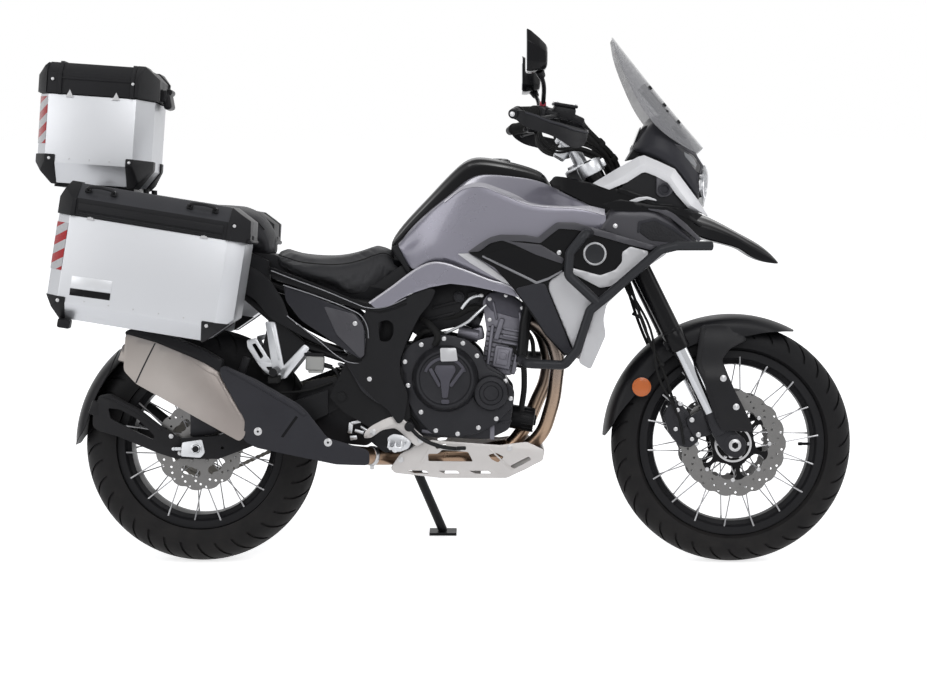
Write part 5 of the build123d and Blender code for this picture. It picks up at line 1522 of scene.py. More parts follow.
# %% [markdown]
# A tyre is a round crown on straight sidewalls. The section is spun into a ring of narrow and wide
# steps, and the ring is twisted towards its shoulders so that its lines run slanted. The narrow steps
# are then pushed inwards as grooves, together with two thin lines beside the middle.

# %% Tread pattern
TREAD_BLOCKS = 36
GROOVE_SHARE = (0.0, 0.15, 0.43, 0.72)
GROOVE_DEPTH, GROOVE_PART = 5, 0.14
GROOVE_FROM, GROOVE_STAGGER, GROOVE_TO = 0.27, 0.2, 0.93
LINE_FROM, LINE_TO = 0.16, 0.2
TREAD_TWIST = math.radians(13)


def turned_about(vertex, centre, angle):
    """Turn one vertex about a cross axis through a centre in mm."""
    x, z = vertex.co.x - centre.x * MM, vertex.co.z - centre.z * MM
    c, s = math.cos(angle), math.sin(angle)
    vertex.co.x, vertex.co.z = centre.x * MM + x * c - z * s, centre.z * MM + x * s + z * c


def polar(point, centre):
    """Angle and radius in mm of a point about a cross axis."""
    x, z = point[0] / MM - centre.x, point[2] / MM - centre.z
    return math.atan2(z, x) % math.tau, math.hypot(x, z)

# %% Tread and sidewalls
def tyre(name, body, centre, radius, half, bead, bead_half, node_name):
    round_at = radius - half
    crown = [(round_at + half * math.cos(a), half * math.sin(a))
             for a in (math.radians(d) for d in (0, 8, 13, 25, 37, 50, 62, 72, 82, 90))]
    wall = [(round_at - half * 0.22, half - 0.6), (bead + 34, half - 3), (bead + 31, half - 2),
            (bead + 27, half - 3.4), (bead + 18, bead_half + 8), (bead + 14, bead_half + 2),
            (bead + 12, bead_half), (bead + 1, bead_half - 1), (bead + 1, bead_half - 8),
            (round_at, half - 8), (radius - 16, half * 0.4)]
    right = [*crown, *wall]
    ring = lathe([*right, (radius - 12, 0), *[(r, -y) for r, y in reversed(right[1:])]], centre,
                 TREAD_BLOCKS * 4)
    step = math.tau / (TREAD_BLOCKS * 4)
    for vertex in ring.data.vertices:
        angle, _ = polar(vertex.co, centre)
        number = round(angle / step)
        wanted = (number // 4 + GROOVE_SHARE[number % 4]) * step * 4
        shoulder = min(abs(vertex.co.y) / MM / half, 1)
        turned_about(vertex, centre, wanted - angle - TREAD_TWIST * shoulder)
    chosen = []
    for polygon in ring.data.polygons:
        angle, reach = polar(polygon.center, centre)
        share = abs(polygon.center.y) / MM / half
        outside = reach > round_at + half * 0.3
        number = (angle + TREAD_TWIST * share) / (step * 4)
        inner = GROOVE_FROM + GROOVE_STAGGER * (int(number) % 2)
        slanted = number % 1 < GROOVE_PART and inner < share < GROOVE_TO
        line = LINE_FROM < share < LINE_TO
        if outside and (slanted or line):
            chosen.append(polygon.index)
    select_faces(ring, chosen)
    bpy.ops.mesh.extrude_region_shrink_fatten(TRANSFORM_OT_shrink_fatten={"value": -GROOVE_DEPTH * MM})
    bpy.ops.object.mode_set(mode="OBJECT")
    return finished(ring, name, body, tyre_rubber, [node_name], angle=28)


tyre("front_tyre_tread", "front_wheel", FRONT_AXLE, 328.8, 55, 241, 34, "front_tyre")
tyre("rear_tyre_tread", "rear_wheel", REAR_AXLE, 320.8, 75, 216, 54, "rear_tyre")
show_new()

# %% [markdown]
# The rims have a rolled lip and a dropped middle. Every spoke ends in a nipple in the lip, and the two
# sides of the wheel lean opposite ways, so their spokes meet in a V at the rim.

# %% Rims and spokes
SPOKES_A_SIDE = 18
SPOKE_RADIUS, NIPPLE_RADII = 1.7, (2.3, 2.9)


def around(obj, centre, count, start=0.0):
    """Copies of a piece spaced evenly about a cross axis, joined into one."""
    back = Matrix.Translation(-centre)
    made = []
    for number in range(count):
        turn = Matrix.Rotation(-(math.tau * number / count + start), 4, "Y")
        spun = turn @ back
        place = Matrix.Translation(centre + spun.translation) @ turn
        made.append(copied(obj, place))
    bpy.data.objects.remove(obj)
    return joined(made)


def rim(name, body, centre, bead, half, node_name):
    outer = half + 5.6
    lip = [(bead + 8, half), (bead + 12, half + 0.8), (bead + 13, half + 3), (bead + 11.5, outer),
           (bead + 4, outer), (bead - 8, outer - 0.4), (bead - 11, outer - 3), (bead - 14, half - 6),
           (bead - 25, half - 13)]
    middle = [(bead - 28, 4), (bead - 28, -4)]
    right = [(r, -y) for r, y in reversed(lip)]
    floor = [(bead - 0.5, -half), (bead - 2, -half + 8), (bead - 14, -half + 18), (bead - 14, half - 18),
             (bead - 2, half - 8), (bead - 0.5, half)]
    ring = lathe([*lip, *middle, *right, *floor], centre, 96)
    return finished(ring, name, body, black_metal, [node_name], angle=30)


def spokes(name, body, centre, bead, half, flange_y, node_name):
    """Crossed spokes, each with a thicker nipple at the rim."""
    made = []
    step = math.tau / SPOKES_A_SIDE
    for side in (1, -1):
        for number in range(SPOKES_A_SIDE):
            lead = side if number % 2 else -side
            at_hub = number * step + math.radians(5)
            at_rim = at_hub + lead * 2 * step
            hub_end = centre + Vector((34 * math.cos(at_hub), side * (flange_y + lead * 5),
                                       34 * math.sin(at_hub)))
            way = Vector((math.cos(at_rim), 0, math.sin(at_rim)))
            rim_end = centre + way * (bead - 4) + Vector((0, side * (half + 2.6 + lead * 1.5), 0))
            nipple = rim_end.lerp(hub_end, 0.13)
            made.append(rod(hub_end, rim_end, SPOKE_RADIUS, sides=8))
            made.append(rod(nipple, rim_end, *NIPPLE_RADII, sides=8))
    return finished(joined(made, name), name, body, spoke_steel, [node_name])

# %% Both wheels' rims, spokes and valves
rim("front_rim_barrel", "front_wheel", FRONT_AXLE, 241, 34, "front_rim")
rim("rear_rim_barrel", "rear_wheel", REAR_AXLE, 216, 54, "rear_rim")
spokes("front_spoke_set", "front_wheel", FRONT_AXLE, 241, 34, 36, "front_spokes")
spokes("rear_spoke_set", "rear_wheel", REAR_AXLE, 216, 54, 52, "rear_spokes")
for name, body, centre, reach in (("front_valve", "front_wheel", FRONT_AXLE, 215),
                                  ("rear_valve", "rear_wheel", REAR_AXLE, 190)):
    stem = rod(centre + Vector((reach, 0, -6)), centre + Vector((reach - 20, 0, -6)), 4, sides=16)
    cap = rod(centre + Vector((reach - 18, 0, -6)), centre + Vector((reach - 29, 0, -6)), 5, 4.4, 16, 1)
    finished(joined([stem, cap], name), name, body, rubber)
show_new()

# %% [markdown]
# The brake discs are wavy rings, drilled in slanted pairs, on a carrier with open windows. The ring's
# edge follows a wave, the holes and windows are cut with copies of a round cutter, and the bolts are
# copied round. The front carriers are black and the rear one is bare.

# %% Wavy rings and carriers
DISC_HALF, CARRIER_HALF, DRILL_RADIUS = 2.4, 1.9, 3.4


def flat_ring(centre, inner, outer, y, half, steps):
    """A flat ring about a cross axis, centred on y."""
    low, high = y - half, y + half
    return lathe([(inner, low), (outer, low), (outer, high), (inner, high)], centre, steps)


def wavy_disc(centre, outer, inner, y, lobes, wave=3.0):
    ring = flat_ring(centre, inner, outer, y, DISC_HALF, lobes * 12)
    for vertex in ring.data.vertices:
        angle, reach = polar(vertex.co, centre)
        depth = wave * (0.5 - 0.5 * math.cos(angle * lobes)) ** 2
        if reach < (outer + inner) / 2:
            depth = 0.8 * wave * (0.5 - 0.5 * math.cos(angle * lobes)) ** 2
        scale = (reach - depth) / reach
        vertex.co.x = (centre.x + (vertex.co.x / MM - centre.x) * scale) * MM
        vertex.co.z = (centre.z + (vertex.co.z / MM - centre.z) * scale) * MM
    step = math.tau / lobes
    drills = []
    for number in range(lobes * 3):
        angle, share = number * step / 3, 0.28 + 0.24 * (number % 3)
        reach = inner + (outer - inner) * share
        x, z = centre.x + reach * math.cos(angle), centre.z + reach * math.sin(angle)
        drills.append(rod((x, y - 8, z), (x, y + 8, z), DRILL_RADIUS, sides=12))
    drill = joined(drills)
    cut_out(ring, drill)
    return ring


def carrier(centre, hub_radius, reach, y, windows):
    """A disc carrier with rounded windows round the hub."""
    plate_ring = flat_ring(centre, hub_radius, reach, y, CARRIER_HALF, 96)
    middle = (hub_radius + 24 + reach) / 2
    radius = (reach - hub_radius - 30) / 2
    rounds = []
    for lean in (-12, 0, 12):
        x, z = middle * math.cos(math.radians(lean)), middle * math.sin(math.radians(lean))
        size = radius if lean else radius * 1.15
        rounds.append(rod(centre + Vector((x, y - 9, z)), centre + Vector((x, y + 9, z)), size, sides=24))
    for cutter in rounds:
        ring = around(cutter, centre, windows, 0.2)
        cut_out(plate_ring, ring)
    return plate_ring


def disc_bolts(centre, reach, y, side, count, size=7):
    bolt = rod(centre + Vector((reach, y, 0)), centre + Vector((reach, y + side * 4.5, 0)), size, size * 0.8,
               12, 1)
    return around(bolt, centre, count)

# %% All three discs
discs = [wavy_disc(FRONT_AXLE, 144.6, 100, side * 68, 18, 5) for side in (1, -1)]
finished(discs, "front_disc_rings", "front_wheel", disc_steel, ["front_discs"], angle=30)
arms = [carrier(FRONT_AXLE, 34, 104, side * 68, 6) for side in (1, -1)]
finished(arms, "front_disc_carriers", "front_wheel", black_gloss)
heads = [disc_bolts(FRONT_AXLE, 99, side * 69.5, side, 8) for side in (1, -1)]
heads += [disc_bolts(FRONT_AXLE, 42, side * 69.5, side, 6, 6) for side in (1, -1)]
finished(heads, "front_disc_bolts", "front_wheel", bolt_steel)
rear = [wavy_disc(REAR_AXLE, 119.6, 84, -90, 15, 5), carrier(REAR_AXLE, 34, 88, -90, 6),
        disc_bolts(REAR_AXLE, 42, -91.5, -1, 6, 6)]
finished(rear, "rear_disc_ring", "rear_wheel", disc_steel, ["rear_disc"], angle=30)
show_new()

# %% [markdown]
# The hubs get a ribbed drum between their flanges, and an axle collar on each side. The rear sprocket
# has cut teeth and round windows.

# %% Hubs and sprocket
def hub_ribs(name, body, centre, half, radius):
    """A row of cooling rings on the hub's barrel."""
    profile = [(radius - 12, -half)]
    for number in range(-3, 4):
        y = number * half / 3.6
        profile += [(radius - 4, y - 2.6), (radius, y - 1.6), (radius, y + 1.6), (radius - 4, y + 2.6)]
    profile.append((radius - 12, half))
    ring = lathe(profile, centre, 64)
    return finished(ring, name, body, dark_cast)


hub_ribs("front_hub_ribs", "front_wheel", FRONT_AXLE, 26, 36)
sensor_ring = lathe([(45, 72), (50.5, 72), (50.5, 76), (45, 76)], FRONT_AXLE, 96)
finished(both_sides(sensor_ring), "wheel_sensor_rings", "front_wheel", bolt_steel)
hub_ribs("rear_hub_ribs", "rear_wheel", REAR_AXLE, 42, 40)

TEETH = 42
CHAIN_Y = 104
clear_selection()
bpy.ops.mesh.primitive_circle_add(vertices=TEETH * 4, fill_type="NGON")
sprocket = bpy.context.object
for number, vertex in enumerate(sprocket.data.vertices):
    radius = (103.6, 101.5, 95.5, 101.5)[number % 4]
    angle = math.tau * number / (TEETH * 4)
    vertex.co = (REAR_AXLE + Vector((radius * math.cos(angle), CHAIN_Y, radius * math.sin(angle)))) * MM
walled(sprocket, 5)
windows = [around(rod(REAR_AXLE + Vector((66, 80, 0)), REAR_AXLE + Vector((66, 130, 0)), 17, sides=24),
                  REAR_AXLE, 6)]
windows.append(rod(REAR_AXLE + Vector((0, 80, 0)), REAR_AXLE + Vector((0, 130, 0)), 33, sides=32))
cutter = joined(windows)
cut_out(sprocket, cutter)
bolts = disc_bolts(REAR_AXLE, 44, 106.5, 1, 6, 6)
carrier_ring = lathe([(31, 93), (50, 93), (50, 101), (31, 101)], REAR_AXLE, 48)
finished([sprocket, bolts, carrier_ring], "rear_sprocket_teeth", "rear_wheel", chain_steel,
         ["rear_sprocket"], angle=30)
show_new()

# %% [markdown]
# The front mudguard follows the tyre at a constant distance. Its sections are laid round the axle, and
# a table says how far its skirt reaches inwards at each angle, so it narrows to a point at both ends.
# The open skin then gets its wall.

# %% Front mudguard
SKIRT = [(61, 349), (64, 341), (68, 329), (75, 313), (84, 294), (110, 291), (148, 293), (158, 305),
         (166, 322), (173, 335), (177, 349)]
GUARD_RADIUS = 352


def guard_skin(centre, skirt, radius, half, first, last, count, tilt=0.0):
    """An arched skin round an axle, from its crown down to its skirt on both sides."""
    sections = []
    for angle in stations(first, last, count):
        depth = radius - along(skirt, angle)
        section = []
        for share in (0, 0.03, 0.1, 0.22, 0.42, 0.7, 1):
            drop = share * depth
            round_share = min(drop / 30, 1)
            wide = half * math.sqrt(1 - (1 - round_share) ** 2) if depth > 4 else half * 0.45 * share
            section.append((radius - drop, wide + tilt * drop))
        rows = [*[(r, -w) for r, w in reversed(section[1:])], *section]
        way = Vector((math.cos(math.radians(angle)), 0, math.sin(math.radians(angle))))
        sections.append([centre + way * r + Vector((0, w, 0)) for r, w in rows])
    return skin(sections, closed=False, caps=False, levels=1)


guard = guard_skin(FRONT_AXLE, SKIRT, GUARD_RADIUS, 70, 61, 177, 34)
walled(guard, 3)
finished(bevelled(guard, 0.8, 1, 60), "front_mudguard_arch", "steering", guard_plastic,
         ["front_mudguard"])

WING = [(640, 652), (622, 556), (647, 482), (672, 404), (690, 370), (776, 366), (770, 392), (727, 475),
        (708, 518), (692, 562), (718, 592), (766, 613), (740, 640), (690, 656)]


def wing_side(off):
    """Tight on the fork below, running in to the arch above."""
    def reach(x, z):
        rise = min(max((z - 500) / 150, 0), 1)
        tuck = 0.12 * max(x - 690, 0) * min(max(z - 500, 0) / 60, 1)
        return 138 + off - 64 * rise * rise * (3 - 2 * rise) - tuck
    return reach


wings = panel(rounded(WING, 10, 3), wing_side(0), 4, 14, 1.2)
finished(wings, "fork_guards", "steering", guard_plastic)
RIB = [(640, 650), (622, 556), (647, 482), (672, 404), (684, 400), (659, 484), (636, 556), (652, 645)]
finished(panel(RIB, wing_side(1.6), 3, 14, 1.2), "fork_guard_ribs", "steering", black_plastic)
screws = []
for x, z in ((694, 511), (729, 434)):
    screws.append(disc_stack((x, z), [(9, 136, 139.4), (6.4, 139, 142), (3, 141, 143)], -1, 20, 1))
finished(both_sides(screws), "fork_guard_screws", "steering", bolt_steel)
reflector_at = (478, 484)
lens = disc_stack(reflector_at, [(26, 71, 78), (22, 77, 79.4)], -1, 40, 1.5)
finished(both_sides(lens), "guard_reflectors", "steering", amber_lens)
rim_ring = disc_stack(reflector_at, [(28, 68, 76)], -1, 40, 1.5)
finished(both_sides(rim_ring), "guard_reflector_rims", "steering", black_plastic)
show_new()

# %% [markdown]
# Each fork leg is a black outer tube with a dust seal, a bright inner tube, and a black casting that
# holds the axle. The casting is a plate traced along the fork, with a round boss and a pinch bolt.

# %% Fork legs
def fork_rod(first, last, radius, end_radius=None, side=-105, ahead=35, bevel=0.0, sides=40):
    return rod(on_fork(first, ahead, side), on_fork(last, ahead, side), radius, end_radius, sides, bevel)


stanchions = both_sides(fork_rod(70, 320, 20.5))
finished(stanchions, "fork_inner_tubes", "steering", fork_chrome, ["fork_sliders"])
tubes = [fork_rod(330, 640, 27), fork_rod(640, 850, 26.4), fork_rod(300, 350, 28.6, bevel=2),
         fork_rod(296, 303, 25.5, bevel=1), fork_rod(352, 358, 28.2, bevel=1),
         fork_rod(848, 860, 23, bevel=2), fork_rod(858, 866, 12, bevel=1, sides=6)]
tubes.append(block((14, 18, 26), on_fork(322, 35 - 28, -105), (0, -26.5, 0), 3))
finished(both_sides(tubes), "fork_outer_legs", "steering", black_gloss, ["fork_outer_tubes"])
feet = [fork_rod(42, 104, 26, 24, bevel=3), fork_rod(98, 108, 23, bevel=2)]
outline = [on_fork(*p) for p in ((100, 60), (60, 62), (20, 74), (-12, 82), (-34, 66), (-36, 40), (-16, 20),
                                 (14, 12), (52, 10), (92, 11))]
foot = slab([(p.x, p.z) for p in outline], 122, 34, 6, 14, 4)
feet.append(foot)
feet.append(disc_stack((FRONT_AXLE.x, FRONT_AXLE.z), [(31, 82, 124)], -1, 48, 4))
lug = [on_fork(*p) for p in ((126, 20), (122, -34), (96, -40), (60, -36), (52, 14))]
feet.append(slab([(p.x, p.z) for p in lug], 105.5, 10.5, 2.5, 9))
finished(both_sides(feet), "fork_feet", "steering", dark_cast)
axle = [disc_stack((FRONT_AXLE.x, FRONT_AXLE.z), [(17, 123, 127), (14, 126, 130.4)], -1, 40, 1.5)]
bolts = []
for place in (on_fork(112, -22), on_fork(68, -24), on_fork(-22, 30), on_fork(166, -30)):
    bolts.append(disc_stack((place.x, place.z), [(7, 105, 111), (4, 110, 113)], -1, 12, 1))
finished(both_sides([*axle, *bolts]), "front_axle_ends", "steering", bolt_steel)
socket = disc_stack((FRONT_AXLE.x, FRONT_AXLE.z), [(9.5, 129, 131)], -1, 6, 0.5)
finished(both_sides(socket), "front_axle_sockets", "steering", black_gloss)
show_new()

# %% [markdown]
# The calipers are two bolted halves that straddle the disc, with round piston covers and a bleed
# screw. The wheel's axle runs through them, so they are traced in the fork's own directions too.

# %% Front calipers and hoses
def fork_panel(rows, side, wall, bevel=2.0, radius=8):
    points = [on_fork(*row) for row in rows]
    return slab([(p.x, p.z) for p in points], side, wall, bevel, radius)


body_rows = ((172, -30), (178, -58), (156, -84), (108, -92), (62, -84), (44, -60), (50, -30), (88, -18),
             (128, -18))
halves = [fork_panel(body_rows, 94, 18, 4), fork_panel(body_rows, 60, 9, 3)]
halves.append(fork_panel(((160, -62), (164, -76), (108, -93), (54, -76), (58, -62), (108, -80)), 80, 26, 1.5,
                         3))
for s in (84, 132):
    place = on_fork(s, -48)
    halves.append(disc_stack((place.x, place.z), [(17, 92, 97.6), (12, 97, 100)], -1, 32, 1.6))
finished(both_sides(halves), "front_caliper_halves", "steering", dark_cast, ["front_calipers"])
bolts = []
for s, a in ((152, -44), (64, -44), (108, -72)):
    place = on_fork(s, a)
    bolts.append(disc_stack((place.x, place.z), [(6.4, 92, 99)], -1, 6, 0.8))
bolts.append(rod(on_fork(160, -62, -88), on_fork(176, -66, -88), 4.2, 2.6, 12, 0.6))
finished(both_sides(bolts), "front_caliper_bolts", "steering", bolt_steel)

hose_lines = [
    ([on_fork(166, -46, -90), (538, -100, 520), (486, -104, 640), (452, -98, 740), on_fork(610, 8, -74)],
     4.2),
    ([on_fork(60, -70, -96), (578, -100, 400), (520, -110, 520), (500, -106, 640), (440, -92, 760),
      on_fork(612, 2, -60)], 3.4),
]
hoses = [pipe(points, radius) for points, radius in hose_lines]
clips = [block((16, 16, 9), (470, -104, 676), (0, 24, 0), 2),
         block((14, 14, 9), (530, -104, 548), (0, 24, 0), 2)]
finished(both_sides([*hoses, *clips]), "front_brake_lines", "steering", rubber,
         ["brake_hoses"])
show_new()

# %% [markdown]
# The engine's right side is a black flange with a big turned clutch cover and a smaller round cap. The
# covers are spun from their profiles, the Y-shaped relief is laid on the big one, and the same plated
# bolt sits wherever the flange is held.

# %% Engine side covers
def turned(x, z, side, profile, steps=72):
    """A solid cover spun about a cross axis from (radius, y) rows on one side of the bike."""
    rows = [(radius, side * y) for radius, y in profile]
    return lathe([*rows, (0.05, rows[-1][1]), (0.05, rows[0][1])], Vector((x, 0, z)), steps)


def bolt_row(places, y, side, size=6.4, tall=6.0):
    """Washer-headed bolts at (x, z) places."""
    return joined([disc_stack(place, [(size, y, y + tall * 0.4), (size * 0.72, y, y + tall)], side, 12, 0.7)
                   for place in places])


FLANGE = [(-176, 560), (-158, 598), (-118, 618), (-58, 630), (4, 616), (42, 580), (60, 536), (96, 520),
          (132, 478), (128, 440), (104, 410), (78, 384), (30, 362), (-24, 350), (-92, 360), (-132, 404),
          (-168, 470)]
flange = panel(rounded(FLANGE, 12, 3), 148, 26, 0, 3)
finished(flange, "crankcase_flanges", "chassis", dark_cast, ["engine_covers"])
COVER = [(90, 146), (90, 156), (86, 164), (81, 176), (76, 181), (71, 181.5), (67, 177), (62, 176)]
cover = turned(-55.5, 511, -1, COVER)
cap = turned(68, 472, -1,
             [(48, 146), (48, 158), (44, 165), (33, 167), (30, 163), (21, 163), (19, 166), (11, 166)])
finished([cover, cap], "clutch_cover", "chassis", dark_cast)
STEM = [(-80, 548), (-31, 548), (-26, 534), (-42, 506), (-48, 460), (-63, 460), (-68, 506), (-84, 534)]
BARS = [[(-101, 538), (-91, 541), (-66, 494), (-73, 488)], [(-10, 542), (-2, 536), (-38, 488), (-45, 494)],
        [(-66, 456), (-44, 456), (-44, 444), (-66, 444)]]
relief = [slab(points, y, 6, 1.6, 4, 2) for points, y in [(STEM, 180), *[(bar, 181.5) for bar in BARS]]]
arch = [(-55.5 + r * math.cos(math.radians(a)), 511 + r * math.sin(math.radians(a)))
        for r, angles in ((60, range(20, 161, 10)), (52, range(160, 19, -10))) for a in angles]
relief.append(slab(arch, 179.4, 5, 1.2))
finished(relief, "cover_relief", "chassis", dark_alloy)
window = [(-69, 595), (-26, 595), (-21, 560), (-67, 558)]
finished(slab(window, lambda x, z: 185 - 0.12 * (z - 558), 9, 1.6, 4, 2), "cover_window", "chassis",
         silver_paint)
left_cover = [turned(-42, 500, 1,
                     [(84, 146), (84, 158), (78, 170), (70, 174), (44, 175), (40, 171), (24, 171)]),
              turned(66, 462, 1, [(42, 146), (42, 156), (37, 161), (20, 162)]),
              turned(-236, 476, 1, [(58, 88), (58, 122), (52, 128), (30, 129)])]
finished(left_cover, "generator_cover", "chassis", dark_cast)
FLANGE_BOLTS = [(-59, 618), (-8, 606), (30, 572), (-120, 602), (-164, 556), (-156, 492), (-121, 420),
                (-81, 370), (-22, 361), (34, 378), (82, 402), (121, 457), (106, 504)]
bolts = [both_sides(bolt_row(FLANGE_BOLTS, 147, -1)),
         bolt_row([(-42 + 60 * math.cos(a), 500 + 60 * math.sin(a)) for a in (0.4, 1.65, 2.9, 4.2, 5.4)], 172,
                  1)]
finished(bolts, "engine_bolts", "chassis", bolt_steel)
show_new()

# %% [markdown]
# The cylinder and its head are grey castings that lean forward. Their side carries upright bars, a
# square boss and cross ribs, and a row of fins runs round the front. The head cover above is darker.

# %% Cylinder and head
CYLINDER = [(44, 536), (56, 640), (44, 716), (58, 738), (106, 742), (154, 706), (160, 652), (146, 590),
            (124, 516), (84, 520)]
barrel = slab(CYLINDER, 101, 202, 4, 8)
finished(barrel, "cylinder_barrel", "chassis", cast_alloy, ["engine_block"])
crankcase = [(-172, 600), (-165, 400), (-118, 352), (60, 344), (118, 372), (130, 450), (104, 522), (38, 560),
             (-66, 612)]
gearbox = [(-150, 604), (-238, 530), (-286, 505), (-292, 450), (-252, 403), (-150, 396)]
cases = [slab(crankcase, 128, 256, 5, 12), slab(gearbox, 88, 176, 5, 14)]
for z in (392, 416, 440, 560, 584):
    cases.append(block((40, 262, 6), (-146 if z > 500 else 104, 0, z), (0, -8, 0), 2))
finished(cases, "crankcase_body", "chassis", dark_cast)
details = []
for start, end, wide, tall in (((73, 655), (56, 532), 10, 12), ((99, 672), (81, 614), 15, 16),
                               ((156, 644), (126, 520), 12, 14), ((146, 690), (150, 640), 9, 10),
                               ((74, 718), (84, 668), 8, 8)):
    middle = Vector(((start[0] + end[0]) / 2, -101 - tall / 2 + 2, (start[1] + end[1]) / 2))
    lean = math.degrees(math.atan2(start[0] - end[0], start[1] - end[1]))
    length = math.hypot(start[0] - end[0], start[1] - end[1])
    details.append(block((wide, tall, length), middle, (0, lean, 0), 4, 3))
details += [block((50, 14, 62), (99, -106, 566), (0, 11, 0), 5, 3),
            block((32, 6, 44), (99, -114, 567), (0, 11, 0), 3),
            block((18, 6, 18), (100, -118, 570), (0, 11, 0), 2.5)]
for z in (604, 622, 640):
    details.append(block((44, 8, 6), (118 + (z - 604) * 0.18, -104, z), (0, 11, 0), 2))
details += [block((52, 20, 34), (22, -70, 626), (0, -14, 0), 6),
            rod((-22, -82, 634), (34, -82, 622), 15, 17, 28, 3)]
finished(both_sides(details), "cylinder_bars", "chassis", cast_alloy)
fins = [block((116, 208, 3.4), (102 + (z - 560) * 0.2, 0, z), (0, 11, 0), 1.2) for z in range(548, 640, 13)]
finished(fins, "cylinder_fins", "chassis", dark_cast)
HEAD = [(50, 716), (62, 742), (108, 746), (158, 710), (164, 672), (150, 668), (70, 690)]
head = slab(HEAD, 105, 210, 5, 8)
finished(head, "head_cover", "chassis", dark_alloy)
head_bolts = bolt_row([(64, 724), (108, 734), (152, 700), (64, 668), (58, 546), (132, 532), (42, 734)], 104,
                      -1, 5.5)
finished(both_sides(head_bolts), "head_bolts", "chassis", bolt_steel)
show_new()

# %% [markdown]
# Round the engine run the throttle bodies, the coolant hoses, the clutch cable and the loom. They are
# bent tubes with clamps. Brackets carry the guard plate below, and the oil filter sits at the front.

# %% Hoses, cables and brackets
long_line = [(54, -112, 708), (30, -122, 686), (6, -124, 664), (-38, -120, 640), (-78, -112, 622)]
short_line = [(42, -100, 734), (20, -104, 730), (2, -100, 716), (-12, -96, 698)]
silver_lines = [pipe(long_line, 4), pipe(short_line, 5)]
finished(silver_lines, "silver_lines", "chassis", bare_alloy)
black_lines = [
    pipe([(-20, -112, 566), (-60, -134, 626), (-96, -132, 640), (-130, -112, 620), (-150, -96, 570)], 7),
    pipe([(-84, -150, 600), (-76, -154, 622), (-92, -140, 650), (-120, -110, 668)], 9),
    pipe([(120, -96, 600), (150, -112, 560), (158, -104, 500), (150, -80, 420)], 8),
    pipe([(60, -90, 690), (20, -92, 700), (-30, -88, 676), (-80, -84, 668), (-130, -80, 690)], 9),
    pipe([(150, -104, 650), (176, -98, 620), (184, -92, 570)], 6),
    pipe([(-148, -118, 470), (-138, -132, 432), (-112, -134, 402), (-100, -120, 372)], 6),
    pipe([(-160, -108, 470), (-156, -122, 420), (-130, -126, 380), (-124, -110, 350)], 5),
    pipe([(40, -118, 402), (66, -132, 404), (84, -128, 396), (92, -112, 372)], 4),
]
finished(black_lines, "engine_hoses", "chassis", rubber)
throttle = []
for y in (-52, 52):
    throttle += [rod((40, y, 660), (-34, y, 690), 24, 24, 32, 3),
                 rod((30, y, 664), (22, y, 667), 27, 27, 32, 2),
                 rod((-26, y, 687), (-34, y, 690), 28, 28, 32, 2)]
throttle += [block((60, 150, 26), (-4, 0, 690), (0, 22, 0), 5),
             block((26, 24, 30), (-19, -88, 728), (0, 0, 0), 6),
             disc_stack((-19, 730), [(15, 96, 104), (10, 102, 108)], -1, 32, 2)]
finished(throttle, "throttle_bodies", "chassis", dark_cast)
brackets = [block((13, 10, 56), (71, -126, 372), (0, 0, 0), 2.5),
            block((22, 12, 14), (71, -127, 398), (0, 0, 0), 3),
            block((10, 12, 60), (104, -118, 402), (0, 6, 0), 3),
            block((40, 14, 10), (-100, -126, 366), (0, 4, 0), 3)]
finished(both_sides(brackets), "engine_brackets", "chassis", cast_alloy)
AIRBOX = [(-150, 636), (-138, 694), (-104, 758), (-60, 776), (-14, 780), (72, 752), (62, 704), (4, 654),
          (-66, 640), (-112, 612)]
airbox = [slab(AIRBOX, 94, 188, 5, 10), block((96, 204, 7), (-44, 0, 712), (0, -14, 0), 2),
          block((80, 200, 7), (-70, 0, 676), (0, -14, 0), 2),
          block((30, 210, 34), (20, 0, 728), (0, -10, 0), 5)]
finished(airbox, "airbox", "chassis", black_plastic)
oil_filter = [rod((118, 0, 400), (186, 0, 388), 33, 33, 48, 4),
              rod((186, 0, 388), (192, 0, 387), 16, 16, 6, 1)]
for number in range(16):
    angle = math.tau * number / 16
    place = Vector((166, 33 * math.cos(angle), 391.5 + 33 * math.sin(angle)))
    oil_filter.append(block((34, 3, 3), place, (0, 10, 0), 0.8))
finished(oil_filter, "oil_filter", "chassis", black_metal)
show_new()

# %% [markdown]
# The radiator is a core of thin rows between two side tanks, leaning forward with the frame. Its slats
# are thin plates that stand just proud of the core at the front and the back.

# %% Radiator
core = slab([(264, 788), (298, 788), (310, 604), (276, 604)], 118, 236, 2)
tanks = both_sides(slab([(260, 793), (302, 793), (314, 599), (272, 599)], 138, 22, 5, 6, 2))
slats = []
for number in range(20):
    z = 612 + number * 9
    slats.append(block((42, 232, 2.2), (311 - number * 0.57 - 19, 0, z)))
cap = rod((282, 118, 792), (282, 118, 806), 16, 15, 24, 2)
finished([core, tanks, cap], "radiator_tanks", "chassis", black_metal, ["radiator"])
finished(slats, "radiator_slats", "chassis", dark_cast)
show_new()

# %% [markdown]
# Two bent headers run down from the head, the left one a little behind the right, and join under the
# engine into one pipe that sweeps out to the silencer. Flanges and clamps are short rings on the pipes.

